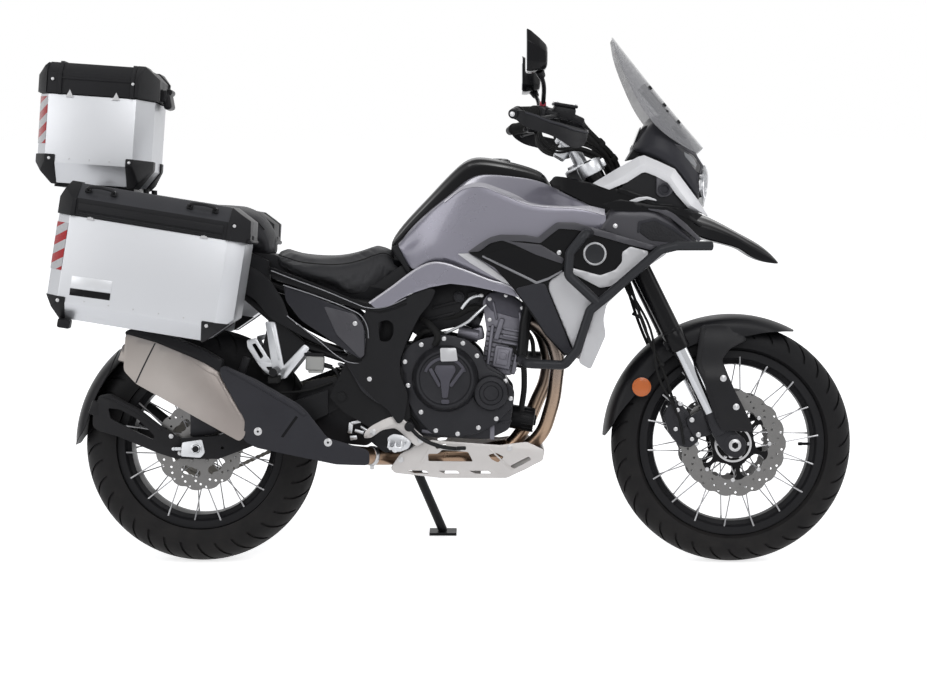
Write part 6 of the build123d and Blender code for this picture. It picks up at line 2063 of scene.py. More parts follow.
# %% Exhaust pipes
RIGHT_HEADER = [(128, -60, 676), (205, -60, 644), (246, -56, 572), (245, -52, 500), (230, -46, 418),
                (198, -36, 344), (140, -24, 304), (60, -16, 296)]
LEFT_HEADER = [(128, 60, 676), (186, 60, 652), (222, 56, 584), (222, 50, 508), (196, 44, 440), (152, 34, 352),
               (110, 24, 310), (60, 16, 296)]
LOWER_PIPE = [(70, 0, 296), (-40, -14, 296), (-150, -40, 294), (-250, -110, 298), (-320, -174, 310),
              (-420, -178, 332), (-520, -182, 362), (-606, -189, 388)]
pipes = [pipe(RIGHT_HEADER, 19.5, resolution=12, sides=8), pipe(LEFT_HEADER, 19.5, resolution=12, sides=8),
         pipe(LOWER_PIPE, 24.5, resolution=12, sides=8), rod((112, 0, 297), (40, 0, 296), 40, 27, 40, 6)]
finished(pipes, "exhaust_pipe_run", "chassis", header_steel, ["exhaust_pipes"], angle=40)
clamps = []
for points, at, size in ((RIGHT_HEADER, 0, 27), (LEFT_HEADER, 0, 27), (LOWER_PIPE, 3, 27),
                         (LOWER_PIPE, 6, 28)):
    here, there = Vector(points[at]), Vector(points[at + 1])
    way = (there - here).normalized()
    clamps.append(rod(here, here + way * 14, size, sides=32, bevel=2))
    clamps.append(block((10, 12, 20), here + way * 7 + Vector((0, 0, -size)), bevel=2))
finished(clamps, "exhaust_clamps", "chassis", bolt_steel)
show_new()

# %% [markdown]
# The silencer is a six-sided can with rounded edges, flatter on its outer side, with an end cap whose
# seam is a shallow groove. A black top rail and a black shield cover its upper and front edges.

# %% Silencer
CAN = [(-906, 634), (-912, 536), (-880, 500), (-720, 410), (-603, 346), (-588, 362), (-586, 405), (-650, 528),
       (-690, 552), (-732, 572), (-826, 611)]
MIDDLE_LINE = [(-912, 590), (-826, 560), (-700, 482), (-588, 380)]


def can_side(off):
    """The outer side of the can, domed about its middle line."""
    def reach(x, z):
        return 228 + off - 0.0016 * abs(z - along(MIDDLE_LINE, x)) ** 2
    return reach


can = slab(CAN, can_side(0), 74, 9, 10, spacing=20)
finished(can, "silencer_can", "chassis", silencer_steel, ["silencer"], angle=50)
SEAM = [(-829, 609), (-825, 609), (-878, 502), (-882, 503)]
finished(slab(SEAM, can_side(0.5), 2, spacing=12), "silencer_seam", "chassis", dark_cast)
FACET = [(-734, 569), (-690, 549), (-652, 524), (-592, 404), (-600, 404), (-664, 520), (-700, 540)]
finished(slab(FACET, can_side(2.2), 3, 1, spacing=14), "silencer_facet", "chassis", silencer_steel)
RAIL = [(-908, 640), (-896, 646), (-790, 628), (-700, 592), (-650, 562), (-652, 530), (-690, 553),
        (-732, 573), (-826, 612), (-906, 628)]
finished(slab(RAIL, lambda x, z: 222, 62, 5, 4, 2), "silencer_top_rail", "chassis", black_plastic)
outlet = [rod((-890, -192, 572), (-922, -194, 584), 25, 25, 40, 2),
          rod((-900, -192, 576), (-924, -194, 585), 20)]
end_ring, end_hole = outlet
finished(end_ring, "silencer_outlet", "chassis", silencer_steel)
finished(end_hole, "silencer_outlet_bore", "chassis", black_plastic)
straps = [block((16, 60, 10), (-758, -184, 606), (0, 24, 0), 3),
          block((20, 12, 60), (-600, -150, 540), (0, 20, 0), 3)]
finished(straps, "silencer_straps", "chassis", black_metal)
show_new()

# %% Heat shield
SHIELD = [(-654, 543), (-640, 550), (-556, 512), (-442, 446), (-420, 424), (-368, 357), (-266, 327),
          (-256, 318), (-256, 283), (-345, 286), (-560, 330), (-594, 350), (-587, 403), (-652, 522)]


def shield_side(off):
    def reach(x, z):
        middle = along([(-654, 535), (-560, 430), (-420, 360), (-256, 304)], x)
        return 234 + off - 0.0009 * abs(z - middle) ** 2 - max(x + 300, 0) * 0.2
    return reach


finished(slab(SHIELD, shield_side(0), 4, 1.6, 12, spacing=18), "heat_shield_plate", "chassis", grey_plastic,
         ["heat_shield"])
CREST = [(-636, 538), (-632, 543), (-556, 505), (-446, 441), (-424, 420), (-432, 414), (-452, 432),
         (-560, 495)]
SLIT = [(-452, 416), (-446, 412), (-485, 358), (-492, 360)]
finished(slab(CREST, shield_side(2.4), 3, 1.4, spacing=14), "heat_shield_crest", "chassis", grey_plastic)
finished(slab(SLIT, shield_side(0.8), 2, spacing=12), "heat_shield_slit", "chassis", black_gloss)
screws = []
for x, z in ((-553, 374), (-366, 345)):
    y = shield_side(0)(x, z)
    screws.append(disc_stack((x, z), [(11, y - 1, y + 2), (7, y + 1, y + 4.4)], -1, 24, 1))
finished(screws, "heat_shield_screws", "chassis", bolt_steel)
sockets = [disc_stack((x, z), [(3.4, shield_side(3)(x, z), shield_side(5.2)(x, z))], -1, 6, 0.4)
           for x, z in ((-553, 374), (-366, 345))]
finished(sockets, "shield_screw_sockets", "chassis", black_metal)
heel_bolts = both_sides(bolt_row([(-250, 366), (-122, 345)], 152, -1, 9, 5))
finished(heel_bolts, "heel_guard_bolts", "chassis", bolt_steel)
show_new()

# %% [markdown]
# The guard plate under the engine is folded from one sheet: two sides with slots, and a strip that
# follows their lower edge from front to back. The slots are cut through both sides at once.

# %% Guard plate and heel guards
GUARD = [(-204, 268), (-177, 306), (-118, 341), (-91, 343), (92, 330), (165, 339), (213, 316), (208, 288),
         (111, 240), (-70, 240), (-194, 254)]
guard = panel(rounded(GUARD, 6, 2), lambda x, z: 129 + 0.05 * (z - 240), 4, 0, 1)
slots = [[(-102, 306), (-102, 286), (19, 285), (6, 311), (-64, 317), (-76, 306)],
         [(60, 303), (81, 309), (103, 298), (87, 282), (70, 290)],
         [(119, 273), (170, 299), (177, 290), (130, 265)], [(-84, 326), (-52, 334), (-58, 322), (-80, 319)],
         [(-160, 261), (-108, 260), (-100, 252), (-140, 253)],
         [(-75, 260), (-24, 260), (-16, 252), (-58, 252)], [(8, 260), (60, 260), (70, 252), (26, 252)]]
cutters = [slab(points, 170, 340, 0, 4, 2) for points in slots]
cutter = joined(cutters)
cut_out(guard, cutter)
FLOOR = [(-202, 264), (-190, 255), (-70, 241.5), (20, 241.5), (111, 241.5), (160, 264), (207, 290),
         (211, 315)]
strip = skin([[(x, y, z + 0.00003 * y * y) for y in (-129, -86, -43, 0, 43, 86, 129)] for x, z in FLOOR],
             closed=False, caps=False, levels=1)
walled(strip, 4)
cross_slots = [block((60, 150, 40), (x, 0, 242), bevel=8) for x in (-130, -30, 70)]
for cross_slot in cross_slots:
    cut_out(strip, cross_slot)
finished([guard, strip], "guard_plate", "chassis", guard_alloy, ["skid_plate"], angle=30)
fold = [panel([(58, 322), (64, 322), (128, 262), (122, 262)], 133.4, 2, 0, 0.6),
        panel([(-92, 338), (-86, 338), (-118, 280), (-124, 282)], 133.4, 2, 0, 0.6)]
finished(fold, "guard_plate_folds", "chassis", guard_alloy)
guard_bolts = both_sides(bolt_row([(118, 322), (-176, 290)], 133, -1, 8, 6))
finished(guard_bolts, "guard_plate_bolts", "chassis", bolt_steel)
HEEL = [(-276, 349), (-274, 366), (-257, 382), (-225, 399), (-200, 409), (-177, 408), (-150, 386),
        (-118, 357), (-106, 344), (-131, 326), (-150, 340), (-172, 362), (-190, 377), (-225, 372),
        (-256, 350)]
finished(panel(rounded(HEEL, 9, 3), 152, 7, 0, 2), "heel_guards", "chassis", guard_alloy)
show_new()

# %% [markdown]
# The rear mudguard is the same kind of arch as the front one, carried by two flat arms with a long
# window. The arms are plates cut through in one go, and they bolt to the swingarm's end.

# %% Rear mudguard
REAR_SKIRT = [(131, 344), (135, 330), (140, 318), (160, 312), (172, 318), (179, 345)]
hugger = guard_skin(REAR_AXLE, REAR_SKIRT, 347, 84, 131, 180, 20)
walled(hugger, 3)
finished(bevelled(hugger, 0.8, 1, 60), "rear_mudguard_arch", "chassis", guard_plastic,
         ["rear_mudguard"])
ARM = [(-1016, 376), (-1016, 404), (-998, 462), (-966, 468), (-888, 428), (-824, 378), (-768, 340),
       (-760, 300), (-780, 288), (-840, 307), (-943, 350), (-1000, 366)]
ARM_WINDOW = [(-972, 428), (-940, 424), (-890, 397), (-846, 354), (-848, 342), (-900, 366), (-966, 400)]
arm = slab(ARM, lambda x, z: 119 - max(-x - 930, 0) * 0.2, 5, 1.2, 9)
window = slab(ARM_WINDOW, 160, 120, 0, 5, 2)
cut_out(arm, window)
ridge = slab([(-996, 458), (-966, 464), (-888, 424), (-824, 374), (-830, 368), (-892, 416), (-966, 454)], 121,
             3, 1)
stay = block((46, 26, 40), (-1000, -92, 424), (0, 18, 0), 5)
finished(both_sides([arm, ridge, stay]), "rear_mudguard_arms", "chassis", guard_plastic)
pins = both_sides(bolt_row([(-800, 352), (-776, 306), (-700, 344)], 119, -1, 6.5, 6))
finished(pins, "rear_mudguard_bolts", "chassis", bolt_steel)
show_new()

# %% [markdown]
# The swingarm ends in an axle block with a bright plate and a nut. The rear caliper sits above it,
# with two piston covers and a hose.

# %% Axle blocks and rear caliper
axle_plate = slab([(-770, 300), (-766, 338), (-712, 346), (-704, 310), (-716, 296)], 154, 6, 1.5, 5, 2)
blocks = [axle_plate, disc_stack((-728, 321), [(17, 152, 159), (12, 158, 166)], -1, 6, 1.5),
          block((26, 8, 9), (-776, -146, 320), bevel=2), disc_stack((-790, 320), [(5, 140, 152)], -1, 6, 0.8)]
finished(both_sides(blocks), "rear_axle_blocks", "chassis", bare_alloy)
nut = disc_stack((-728, 321), [(9, 160, 168.5), (5, 168, 172)], -1, 24, 1)
finished(both_sides(nut), "rear_axle_nuts", "chassis", black_metal)
caliper_at = REAR_AXLE + Vector((20, 0, 112))
rear_caliper = [block((88, 19, 52), caliper_at + Vector((0, -105, 0)), bevel=7, segments=3),
                block((76, 12, 46), caliper_at + Vector((0, -76, 0)), bevel=5, segments=3),
                block((84, 40, 10), caliper_at + Vector((0, -91, 22)), bevel=3)]
for x in (-20, 20):
    rear_caliper.append(disc_stack((caliper_at.x + x, caliper_at.z - 4), [(15, 112, 118), (10, 117, 120)], -1,
                                   28, 1.5))
rear_caliper.append(slab([(-748, 352), (-748, 412), (-674, 412), (-676, 356)], 119, 8, 2))
finished(rear_caliper, "rear_caliper_body", "chassis", dark_cast, ["rear_caliper"])
rear_lines = [pipe([(-668, -108, 448), (-620, -120, 470), (-540, -134, 470), (-430, -138, 478),
                    (-360, -128, 500)], 4),
              pipe([(-700, -118, 350), (-640, -124, 372), (-560, -130, 380), (-440, -134, 440)], 3)]
finished(rear_lines, "rear_brake_lines", "chassis", rubber)
show_new()

# %% [markdown]
# The chain is one link, two plates with a roller, copied along the two runs and round both sprockets.
# The path is measured first, so the links close with an even pitch.

# %% Chain
SPROCKET_FRONT, FRONT_PITCH, REAR_PITCH = Vector((-262, 0, 478)), 45, 101
CHAIN_PITCH = 15.875
PLATE_END, PLATE_WAIST = 0.38, 0.26
way = REAR_AXLE - SPROCKET_FRONT
rise = math.asin((REAR_PITCH - FRONT_PITCH) / way.length)
heading = math.atan2(way.z, way.x)


def chain_point(s, run, rear_arc):
    """Place and heading at a distance along the chain, from the top of the front sprocket backwards."""
    if s < run:
        start_angle = heading - math.pi / 2 - rise
        start = SPROCKET_FRONT + Vector((math.cos(start_angle), 0, math.sin(start_angle))) * FRONT_PITCH
        along_way = heading - rise
        return start + Vector((math.cos(along_way), 0, math.sin(along_way))) * s, along_way
    if s < run + rear_arc:
        angle = heading - math.pi / 2 - rise + (s - run) / REAR_PITCH
        return REAR_AXLE + Vector((math.cos(angle), 0, math.sin(angle))) * REAR_PITCH, angle + math.pi / 2
    if s < 2 * run + rear_arc:
        angle = heading + math.pi / 2 + rise
        start = REAR_AXLE + Vector((math.cos(angle), 0, math.sin(angle))) * REAR_PITCH
        along_way = heading + rise + math.pi
        s -= run + rear_arc
        return start + Vector((math.cos(along_way), 0, math.sin(along_way))) * s, along_way
    angle = heading + math.pi / 2 + rise + (s - 2 * run - rear_arc) / FRONT_PITCH
    return SPROCKET_FRONT + Vector((math.cos(angle), 0, math.sin(angle))) * FRONT_PITCH, angle + math.pi / 2


run = way.length * math.cos(rise)
rear_arc = (math.pi + 2 * rise) * REAR_PITCH
front_arc = (math.pi - 2 * rise) * FRONT_PITCH
total = 2 * run + rear_arc + front_arc
links = 2 * round(total / CHAIN_PITCH / 2)
pitch = total / links
outline = [(pitch * 0.5 * x + PLATE_END * pitch * math.cos(a), PLATE_END * pitch * math.sin(a))
           for x, turns in ((1, (-1.2, 0, 1.2)), (-1, (1.94, 3.14, 4.34))) for a in turns]
outline[3:3] = [(0, PLATE_WAIST * pitch)]
outline.append((0, -PLATE_WAIST * pitch))
outer_link = joined([slab(outline, -y, 1.8) for y in (96.6, 112.6)]
                    + [rod((pitch / 2, 96, 0), (pitch / 2, 112, 0), 4.6, sides=8)])
inner_link = joined([slab(outline, -y, 1.8) for y in (99, 110.2)]
                    + [rod((pitch / 2, 98, 0), (pitch / 2, 110, 0), 4.6, sides=8)])
chain = []
for number in range(links):
    point, turn = chain_point(number * pitch, run, rear_arc)
    place = Matrix.Translation(point) @ Matrix.Rotation(-turn, 4, "Y")
    chain.append(copied(outer_link if number % 2 else inner_link, place))
bpy.data.objects.remove(outer_link)
bpy.data.objects.remove(inner_link)
finished(chain, "chain_links", "chassis", chain_steel, ["drive_chain"])
print("links:", links, "pitch:", round(pitch, 3))
guard_points = [(-300, 540), (-340, 536), (-560, 452), (-600, 420), (-590, 412), (-330, 512), (-300, 520)]
finished(slab(guard_points, lambda x, z: -120, 6, 1.5, 5, 2), "chain_cover", "chassis", black_plastic)
show_new()

# %% [markdown]
# The rear suspension is a coil spring round its damper. The coil is a tube bent along a helix between
# two seats.

# %% Shock absorber
shock_low, shock_high = Vector((-334, 0, 516)), Vector((-270, 0, 652))
shock_way = (shock_high - shock_low).normalized()
across = Vector((shock_way.z, 0, -shock_way.x))
turns, steps = 6.5, 78
helix = []
for number in range(steps + 1):
    share = number / steps
    angle = share * turns * math.tau
    helix.append(shock_low.lerp(shock_high, 0.04 + 0.92 * share) + across * 27 * math.cos(angle)
                 + Vector((0, 27 * math.sin(angle), 0)))
finished(pipe(helix, 4.6, resolution=2, sides=3), "shock_spring", "chassis", bare_alloy,
         ["shock_absorber"])
damper = [rod((-349, 0, 486), (-250, 0, 693), 14, sides=28, bevel=2),
          rod(shock_low, shock_low + shock_way * 6, 32, bevel=1.5),
          rod(shock_high - shock_way * 6, shock_high, 32, bevel=1.5),
          rod(shock_low.lerp(shock_high, 0.5), shock_high, 20, sides=32),
          rod((-349, -22, 486), (-349, 22, 486), 15, bevel=2),
          rod((-250, -22, 693), (-250, 22, 693), 15, bevel=2)]
finished(damper, "shock_body", "chassis", black_metal)
show_new()

# %% [markdown]
# The footrests: a bright bracket in a Y for the passenger, with a loop behind it, and a toothed steel
# peg with its plate for the rider, next to the brake pedal on the right and the gear lever on the left.

# %% Passenger's footrests
def window_plate(outer, inner, side, wall, radius=5):
    made = slab(outer, side, wall, 1.6, radius)
    hole = slab(inner, side + 20, wall + 40, 0, radius * 0.6, 2)
    cut_out(made, hole)
    return made


peg_arms = [
    slab([(-542, 664), (-514, 664), (-494, 560), (-486, 520), (-512, 512), (-524, 540)], 142, 10, 3, 5, 2),
    slab([(-436, 604), (-420, 592), (-486, 510), (-508, 506), (-512, 524)], 142, 10, 3, 5, 2),
    slab([(-528, 650), (-521, 650), (-500, 560), (-506, 560)], 144, 3, 1),
    window_plate([(-592, 614), (-566, 620), (-536, 572), (-516, 544), (-556, 540), (-590, 594)],
                 [(-578, 602), (-568, 606), (-546, 570), (-554, 562)], 140, 8),
    window_plate([(-566, 556), (-510, 552), (-496, 522), (-520, 512), (-546, 530)],
                 [(-540, 542), (-522, 542), (-518, 530), (-534, 532)], 141, 8),
    rod((-511, -132, 520), (-511, -158, 520), 12, 11, 28, 2),
]
finished(both_sides(peg_arms), "passenger_peg_brackets", "chassis", bare_alloy)
rest = [block((26, 92, 15), (-511, -202, 512), bevel=5, segments=3)]
for y in range(-240, -165, 12):
    rest.append(block((28, 5, 18), (-511, y, 512), bevel=2))
finished(both_sides(rest), "passenger_pegs", "chassis", rubber)
show_new()

# %% Rider's pegs and pedals
peg = [block((34, 92, 8), (-187, -202, 330), bevel=2)]
for x in (-204, -187, -170):
    for y in range(-242, -158, 14):
        peg.append(rod((x, y, 332), (x, y, 350 if x != -187 else 344), 5, 2, 6, 0.5))
peg += [block((4, 92, 12), (-204, -202, 336), bevel=1), block((4, 92, 12), (-170, -202, 336), bevel=1),
        rod((-187, -246, 328), (-187, -150, 328), 9, sides=20, bevel=1),
        slab([(-212, 352), (-196, 362), (-170, 358), (-146, 340), (-154, 322), (-180, 312), (-208, 322)], 158,
             8, 2, 6, 2), disc_stack((-158, 338), [(7, 157, 161)], -1, 20, 1)]
finished(both_sides(peg), "rider_pegs", "chassis", bare_alloy, ["foot_controls"])
peg_outline = [(-262, 344), (-240, 386), (-180, 388), (-130, 350), (-150, 318), (-220, 310)]
peg_plate = panel(rounded(peg_outline, 9, 3), 147, 7, 0, 2)
finished(peg_plate, "peg_plates", "chassis", black_metal)
pedal_line = [(-152, -166, 382), (-120, -172, 352), (-76, -176, 332), (-30, -178, 324), (-14, -178, 324)]
shift_line = [(-152, 166, 382), (-100, 174, 376), (-50, 177, 371), (-22, 178, 370)]
pedals = [pipe(pedal_line, 5.5, sides=4), block((26, 22, 9), (-12, -186, 326), bevel=3),
          rod((-152, -150, 382), (-152, -176, 382), 13, bevel=2), pipe(shift_line, 5.5, sides=4),
          rod((-152, 150, 382), (-152, 176, 382), 13, bevel=2),
          rod((-20, 178, 370), (-20, 196, 370), 8, bevel=2),
          rod((-140, 158, 386), (-196, 150, 470), 4.5, sides=12)]
finished(pedals, "pedals", "chassis", black_metal)
show_new()

# %% Brake reservoir, swingarm guard and switch
tank_pot = [block((50, 34, 40), (-408, -126, 551), (0, 2, 0), 6, 3),
            block((40, 26, 8), (-406, -126, 529), bevel=3)]
finished(tank_pot, "rear_brake_reservoir", "chassis", milky_plastic)
pot_cap = [block((55, 38, 9), (-409, -126, 575), (0, 2, 0), 3),
           rod((-384, -126, 546), (-362, -124, 540), 7, 6, 20, 1),
           pipe([(-364, -124, 540), (-350, -124, 526), (-340, -124, 500)], 4),
           block((14, 40, 12), (-398, -112, 586), bevel=3)]
finished(pot_cap, "reservoir_cap", "chassis", black_plastic)
ARM_GUARD = [(-461, 451), (-436, 500), (-341, 516), (-311, 496), (-261, 441), (-231, 396), (-240, 352),
             (-266, 326), (-371, 336), (-446, 406)]
finished(slab(ARM_GUARD, 119, 5, 1.6, 12), "swingarm_guard", "chassis", black_metal)
arm_ribs = [rod((-452, -119, 448), (-330, -119, 482), 5, sides=16, bevel=1),
            rod((-440, -119, 424), (-300, -119, 458), 4, sides=16, bevel=1)]
finished(arm_ribs, "swingarm_ribs", "chassis", bar_paint)
finished(bolt_row([(-307, 480), (-285, 437), (-330, 494), (-268, 402)], 118, -1, 6, 6), "swingarm_bolts",
         "chassis", bolt_steel)
switch = [block((30, 16, 9), (-296, -130, 392), (0, -14, 0), 2),
          block((12, 14, 30), (-312, -130, 376), (0, 8, 0), 2),
          block((26, 14, 9), (-288, -132, 366), (0, 16, 0), 2),
          rod((-284, -132, 380), (-262, -136, 366), 5, sides=16, bevel=1),
          block((20, 12, 12), (-304, -134, 350), (0, -6, 0), 3)]
finished(switch, "pedal_switch", "chassis", bare_alloy)
show_new()

# %% [markdown]
# At the back the tail carries a red lamp, a plate holder with a blank plate, a small lamp over it, and
# two indicators on short stalks.

# %% Tail lamp, plate and indicators
lamp = block((16, 108, 28), (-1018, 0, 921), (0, -6, 0), 5, 3)
finished(lamp, "tail_lamp_lens", "chassis", red_lens)
tail_shell = [block((30, 122, 40), (-1003, 0, 922), (0, -6, 0), 7, 3),
              block((14, 30, 170), (-1004, 0, 846), bevel=4),
              block((5, 190, 146), (-1010.5, 0, 825), bevel=2), block((26, 44, 14), (-1014, 0, 900), bevel=4)]
finished(tail_shell, "plate_holder", "chassis", black_plastic)
plate_face = block((2, 176, 132), (-1014, 0, 825), bevel=0.8)
finished(plate_face, "number_plate_blank", "chassis", plate_white)
winkers = []
lenses = []
for side in (1, -1):
    winkers += [rod((-985, side * 50, 890), (-992, side * 120, 892), 7, 6, 20, 1),
                block((36, 62, 22), (-990, side * 148, 893), bevel=6, segments=3)]
    lenses.append(block((8, 52, 16), (-1008, side * 148, 893), bevel=4, segments=3))
finished(winkers, "rear_indicator_bodies", "chassis", black_plastic)
finished(lenses, "rear_indicator_lenses", "chassis", amber_lens)
show_new()

# %% [markdown]
# The handlebar is one bent tube: level in the clamps, then rising to the grips. It carries a ribbed
# grip with a round weight at each end, and it sits in bright risers on the upper fork clamp.

# %% Handlebar and grips
BAR_LINE = [(280, 0, 1158), (280, 78, 1158), (258, 165, 1208), (214, 250, 1220), (134, 430, 1208)]
GRIP_START, GRIP_END = Vector(BAR_LINE[3]), Vector(BAR_LINE[4])
GRIP_WAY = (GRIP_END - GRIP_START).normalized()


def on_grip(distance, off=(0, 0, 0)):
    """A point on the left grip's line, from the last bend outwards."""
    return GRIP_START + GRIP_WAY * distance + Vector(off)


half_bar = [tuple(BAR_LINE[1]), (274, 108, 1170), (264, 148, 1198), (246, 188, 1214), (214, 250, 1220),
            tuple(on_grip(44))]
bar_run = [(x, -y, z) for x, y, z in reversed(half_bar)] + half_bar
bar = pipe(bar_run, 14, resolution=8, sides=6)
ends = [rod(on_grip(40), on_grip(212), 11, sides=24)]
finished([bar, both_sides(ends)], "handlebar_tube", "steering", black_metal, ["handlebar"])
grip = [rod(on_grip(82), on_grip(192), 15.4, sides=32, bevel=2),
        rod(on_grip(80), on_grip(86), 19, sides=32, bevel=1.5),
        rod(on_grip(188), on_grip(195), 18, sides=32, bevel=1.5)]
for distance in range(92, 186, 6):
    grip.append(rod(on_grip(distance), on_grip(distance + 3), 16.8, sides=32, bevel=0.8))
finished(both_sides(grip), "ribbed_grips", "steering", rubber)
weights = [rod(on_grip(197), on_grip(216), 15.5, 14, 32, 2)]
finished(both_sides(weights), "bar_weights", "steering", black_metal)
weight_caps = rod(on_grip(214), on_grip(218.4), 8, 7, 24, 1)
finished(both_sides(weight_caps), "bar_weight_caps", "steering", bolt_steel)

riser_foot, riser_top = on_fork(858, 22, 45), Vector((280, 45, 1158))
risers = [rod(riser_foot, riser_top, 17, 15, 32, 2),
          rod((280, 28, 1158), (280, 62, 1158), 24, sides=40, bevel=3),
          block((50, 34, 12), (268, 45, 1166), (0, -28, 0), 3),
          block((30, 30, 24), riser_foot, (0, -26.5, 0), 5),
          block((34, 20, 40), (262, 45, 1124), (0, 30, 0), 6, 3)]
finished(both_sides(risers), "bar_risers", "steering", bare_alloy)
riser_bolts = []
for x, z in ((252, 1176), (286, 1190)):
    for y in (35, 55):
        riser_bolts.append(rod((x, y, z - 6), (x - 4, y, z + 4), 4.4, sides=12, bevel=0.6))
finished(both_sides(riser_bolts), "riser_bolts", "steering", bolt_steel)
bridge = slab([(on_fork(s, a).x, on_fork(s, a).z) for s, a in ((858, -26), (866, -26), (866, 62), (858, 64))],
              84, 168, 1.5, 2, 2)
caps = [rod(on_fork(826, 35, 105), on_fork(862, 35, 105), 35, sides=48, bevel=3),
        rod(on_fork(858, 0), on_fork(874, 0), 19, sides=6, bevel=2),
        block((20, 16, 24), on_fork(844, 68, 105), (0, -26.5, 0), 4)]
lower = [rod(on_fork(638, 35, 105), on_fork(672, 35, 105), 35, sides=48, bevel=3),
         block((22, 16, 26), on_fork(655, 70, 105), (0, -26.5, 0), 4)]
finished(both_sides([*caps, *lower]), "fork_clamp_eyes", "steering", bare_alloy)
finished(bridge, "upper_clamp_plate", "steering", bare_alloy)
show_new()

# %% [markdown]
# Each side has a switch block, a lever on its perch, and a flat fluid pot. Their cables meet in a
# bundle ahead of the clamps. One end of it turns with the bars and the other stays with the frame;
# the cables are laid in one place and ride on neither body.

# %% Switches, levers and pots
controls = [rod(on_grip(50), on_grip(76), 19, sides=32, bevel=3),
            block((40, 28, 36), on_grip(64, (2, 0, -6)), (0, 0, 14), 7, 3),
            block((16, 18, 12), on_grip(64, (-18, 0, 4)), (0, 0, 14), 3),
            block((10, 10, 8), on_grip(70, (-20, 0, -14)), (0, 0, 14), 2),
            rod(on_grip(26), on_grip(44), 17, sides=28, bevel=2),
            rod(on_grip(34), on_grip(34, (42, 2, -6)), 11, 10, 24, 2)]
finished(both_sides(controls), "switch_blocks", "steering", black_plastic, ["levers"])
lever_points = [on_grip(36, (44, -2, -7)), on_grip(70, (50, 2, -9)), on_grip(110, (44, 0, -12)),
                on_grip(160, (30, 0, -15)), on_grip(196, (26, 0, -17))]
lever = pipe(lever_points, 5.2, resolution=8, sides=4)
lever_end = rod(on_grip(192, (26, 0, -17)), on_grip(200, (26, 0, -17)), 7, sides=20, bevel=2)
finished(both_sides([lever, lever_end]), "hand_levers", "steering", black_metal)
pot = [block((58, 40, 34), on_grip(18, (52, 0, -2)), (0, 9, -8), 7, 3),
       block((64, 46, 8), on_grip(18, (55, 0, 18)), (0, 9, -8), 3),
       block((34, 26, 22), on_grip(18, (88, 0, -20)), (0, 24, -8), 6),
       block((40, 12, 16), on_grip(22, (22, 0, -2)), (0, 20, 12), 3)]
finished(both_sides(pot), "fluid_pots", "steering", black_plastic)
pot_screws = [rod(on_grip(18 + across, (55 + ahead, 0, 20 - ahead * 0.16)),
                  on_grip(18 + across, (56 + ahead, 0, 24.5 - ahead * 0.16)), 3.2, sides=12, bevel=0.6)
              for across in (-14, 14) for ahead in (-24, 24)]
finished(both_sides(pot_screws), "pot_screws", "steering", bolt_steel)
cables = [
    pipe([on_grip(30, (40, 0, -8)), (270, 150, 1146), (330, 110, 1136), (386, 66, 1098), (412, 52, 1042),
          on_fork(690, 56, 40)], 4),
    pipe([on_grip(60, (6, 0, -24)), (206, 214, 1150), (244, 160, 1128), (314, 116, 1130), (380, 80, 1092),
          (404, 62, 1038), on_fork(682, 54, 50)], 4.4),
    pipe([on_grip(36, (6, 0, -16)), (200, 190, 1150), (242, 132, 1120), (306, 92, 1126), (370, 66, 1094),
          (398, 46, 1036), on_fork(684, 50, 26)], 3.4),
    pipe([on_grip(18, (98, 0, -22)), (322, 150, 1182), (362, 92, 1146), (402, 52, 1104), (424, 38, 1040),
          on_fork(690, 62, 36)], 8),
    pipe([on_grip(26, (90, 0, -16)), (318, 170, 1170), (350, 110, 1142), (388, 66, 1100), (414, 48, 1030),
          on_fork(680, 60, 48)], 6),
]
bundle_ties = [rod((358, 98, 1150), (368, 86, 1141), 12, sides=20, bevel=1),
               rod((396, 60, 1110), (404, 51, 1100), 12, sides=20, bevel=1)]
bend = [PARKED @ (Vector(place) * MM) for place in ((330, 0, 1140), (430, 0, 1000))]
finished(both_sides(cables + bundle_ties), "control_cables", ("steering", "chassis", *bend), rubber)
show_new()

# %% [markdown]
# The hand guards are deep curved bands round the levers, held at the bar's end and near the clamp.
# Their band is laid in plan, then its height changes along the way: tall in front, narrow at the end.

# %% Hand guards
GUARD_PLAN = [(-6, 452, 1204, 12), (14, 462, 1194, 19), (40, 462, 1184, 22), (72, 456, 1174, 18),
              (112, 436, 1161, 21), (142, 402, 1146, 29), (164, 360, 1147, 24), (178, 318, 1151, 17),
              (180, 280, 1160, 13), (168, 246, 1174, 11), (140, 224, 1190, 10), (106, 212, 1206, 10)]
band = skin([[(134 + x, y, z - h), (134 + x + 5, y, z - h * 0.4), (134 + x + 6, y, z + h * 0.4),
              (134 + x + 2, y, z + h)] for x, y, z, h in GUARD_PLAN], closed=False, caps=False, levels=2)
walled(band, 5)
guard_parts = [bevelled(band, 1, 2, 60), rod(on_grip(216), on_grip(226, (0, 0, -2)), 13, sides=28, bevel=2),
               rod((237, 205, 1203), (237, 212, 1222), 8, sides=20, bevel=1),
               rod(Vector((237, 205, 1214)) - Vector((3, 8, 1)),
                   Vector((237, 205, 1214)) + Vector((-3, 8, 1)), 19, sides=28, bevel=2)]
finished(both_sides(guard_parts), "hand_guard_shells", "steering", black_plastic,
         ["hand_guards"])
rib = [(134 + x, y, z, h) for x, y, z, h in GUARD_PLAN[1:9]]
crest = pipe([(x + 6, y, z + h * 0.72) for x, y, z, h in rib], 3.2, resolution=8)
finished(both_sides(crest), "hand_guard_crests", "steering", grey_plastic)
guard_screw = rod(on_grip(225, (0, 0, -2)), on_grip(230, (0, 0, -2)), 8, 6.5, 16, 1)
finished(both_sides(guard_screw), "hand_guard_screws", "steering", bolt_steel)
show_new()

# %% [markdown]
# A mirror is a faceted shell, deepest low down near its stalk, with glass set a little into its rear
# face. The stalk is bent, with a lock nut at its foot.

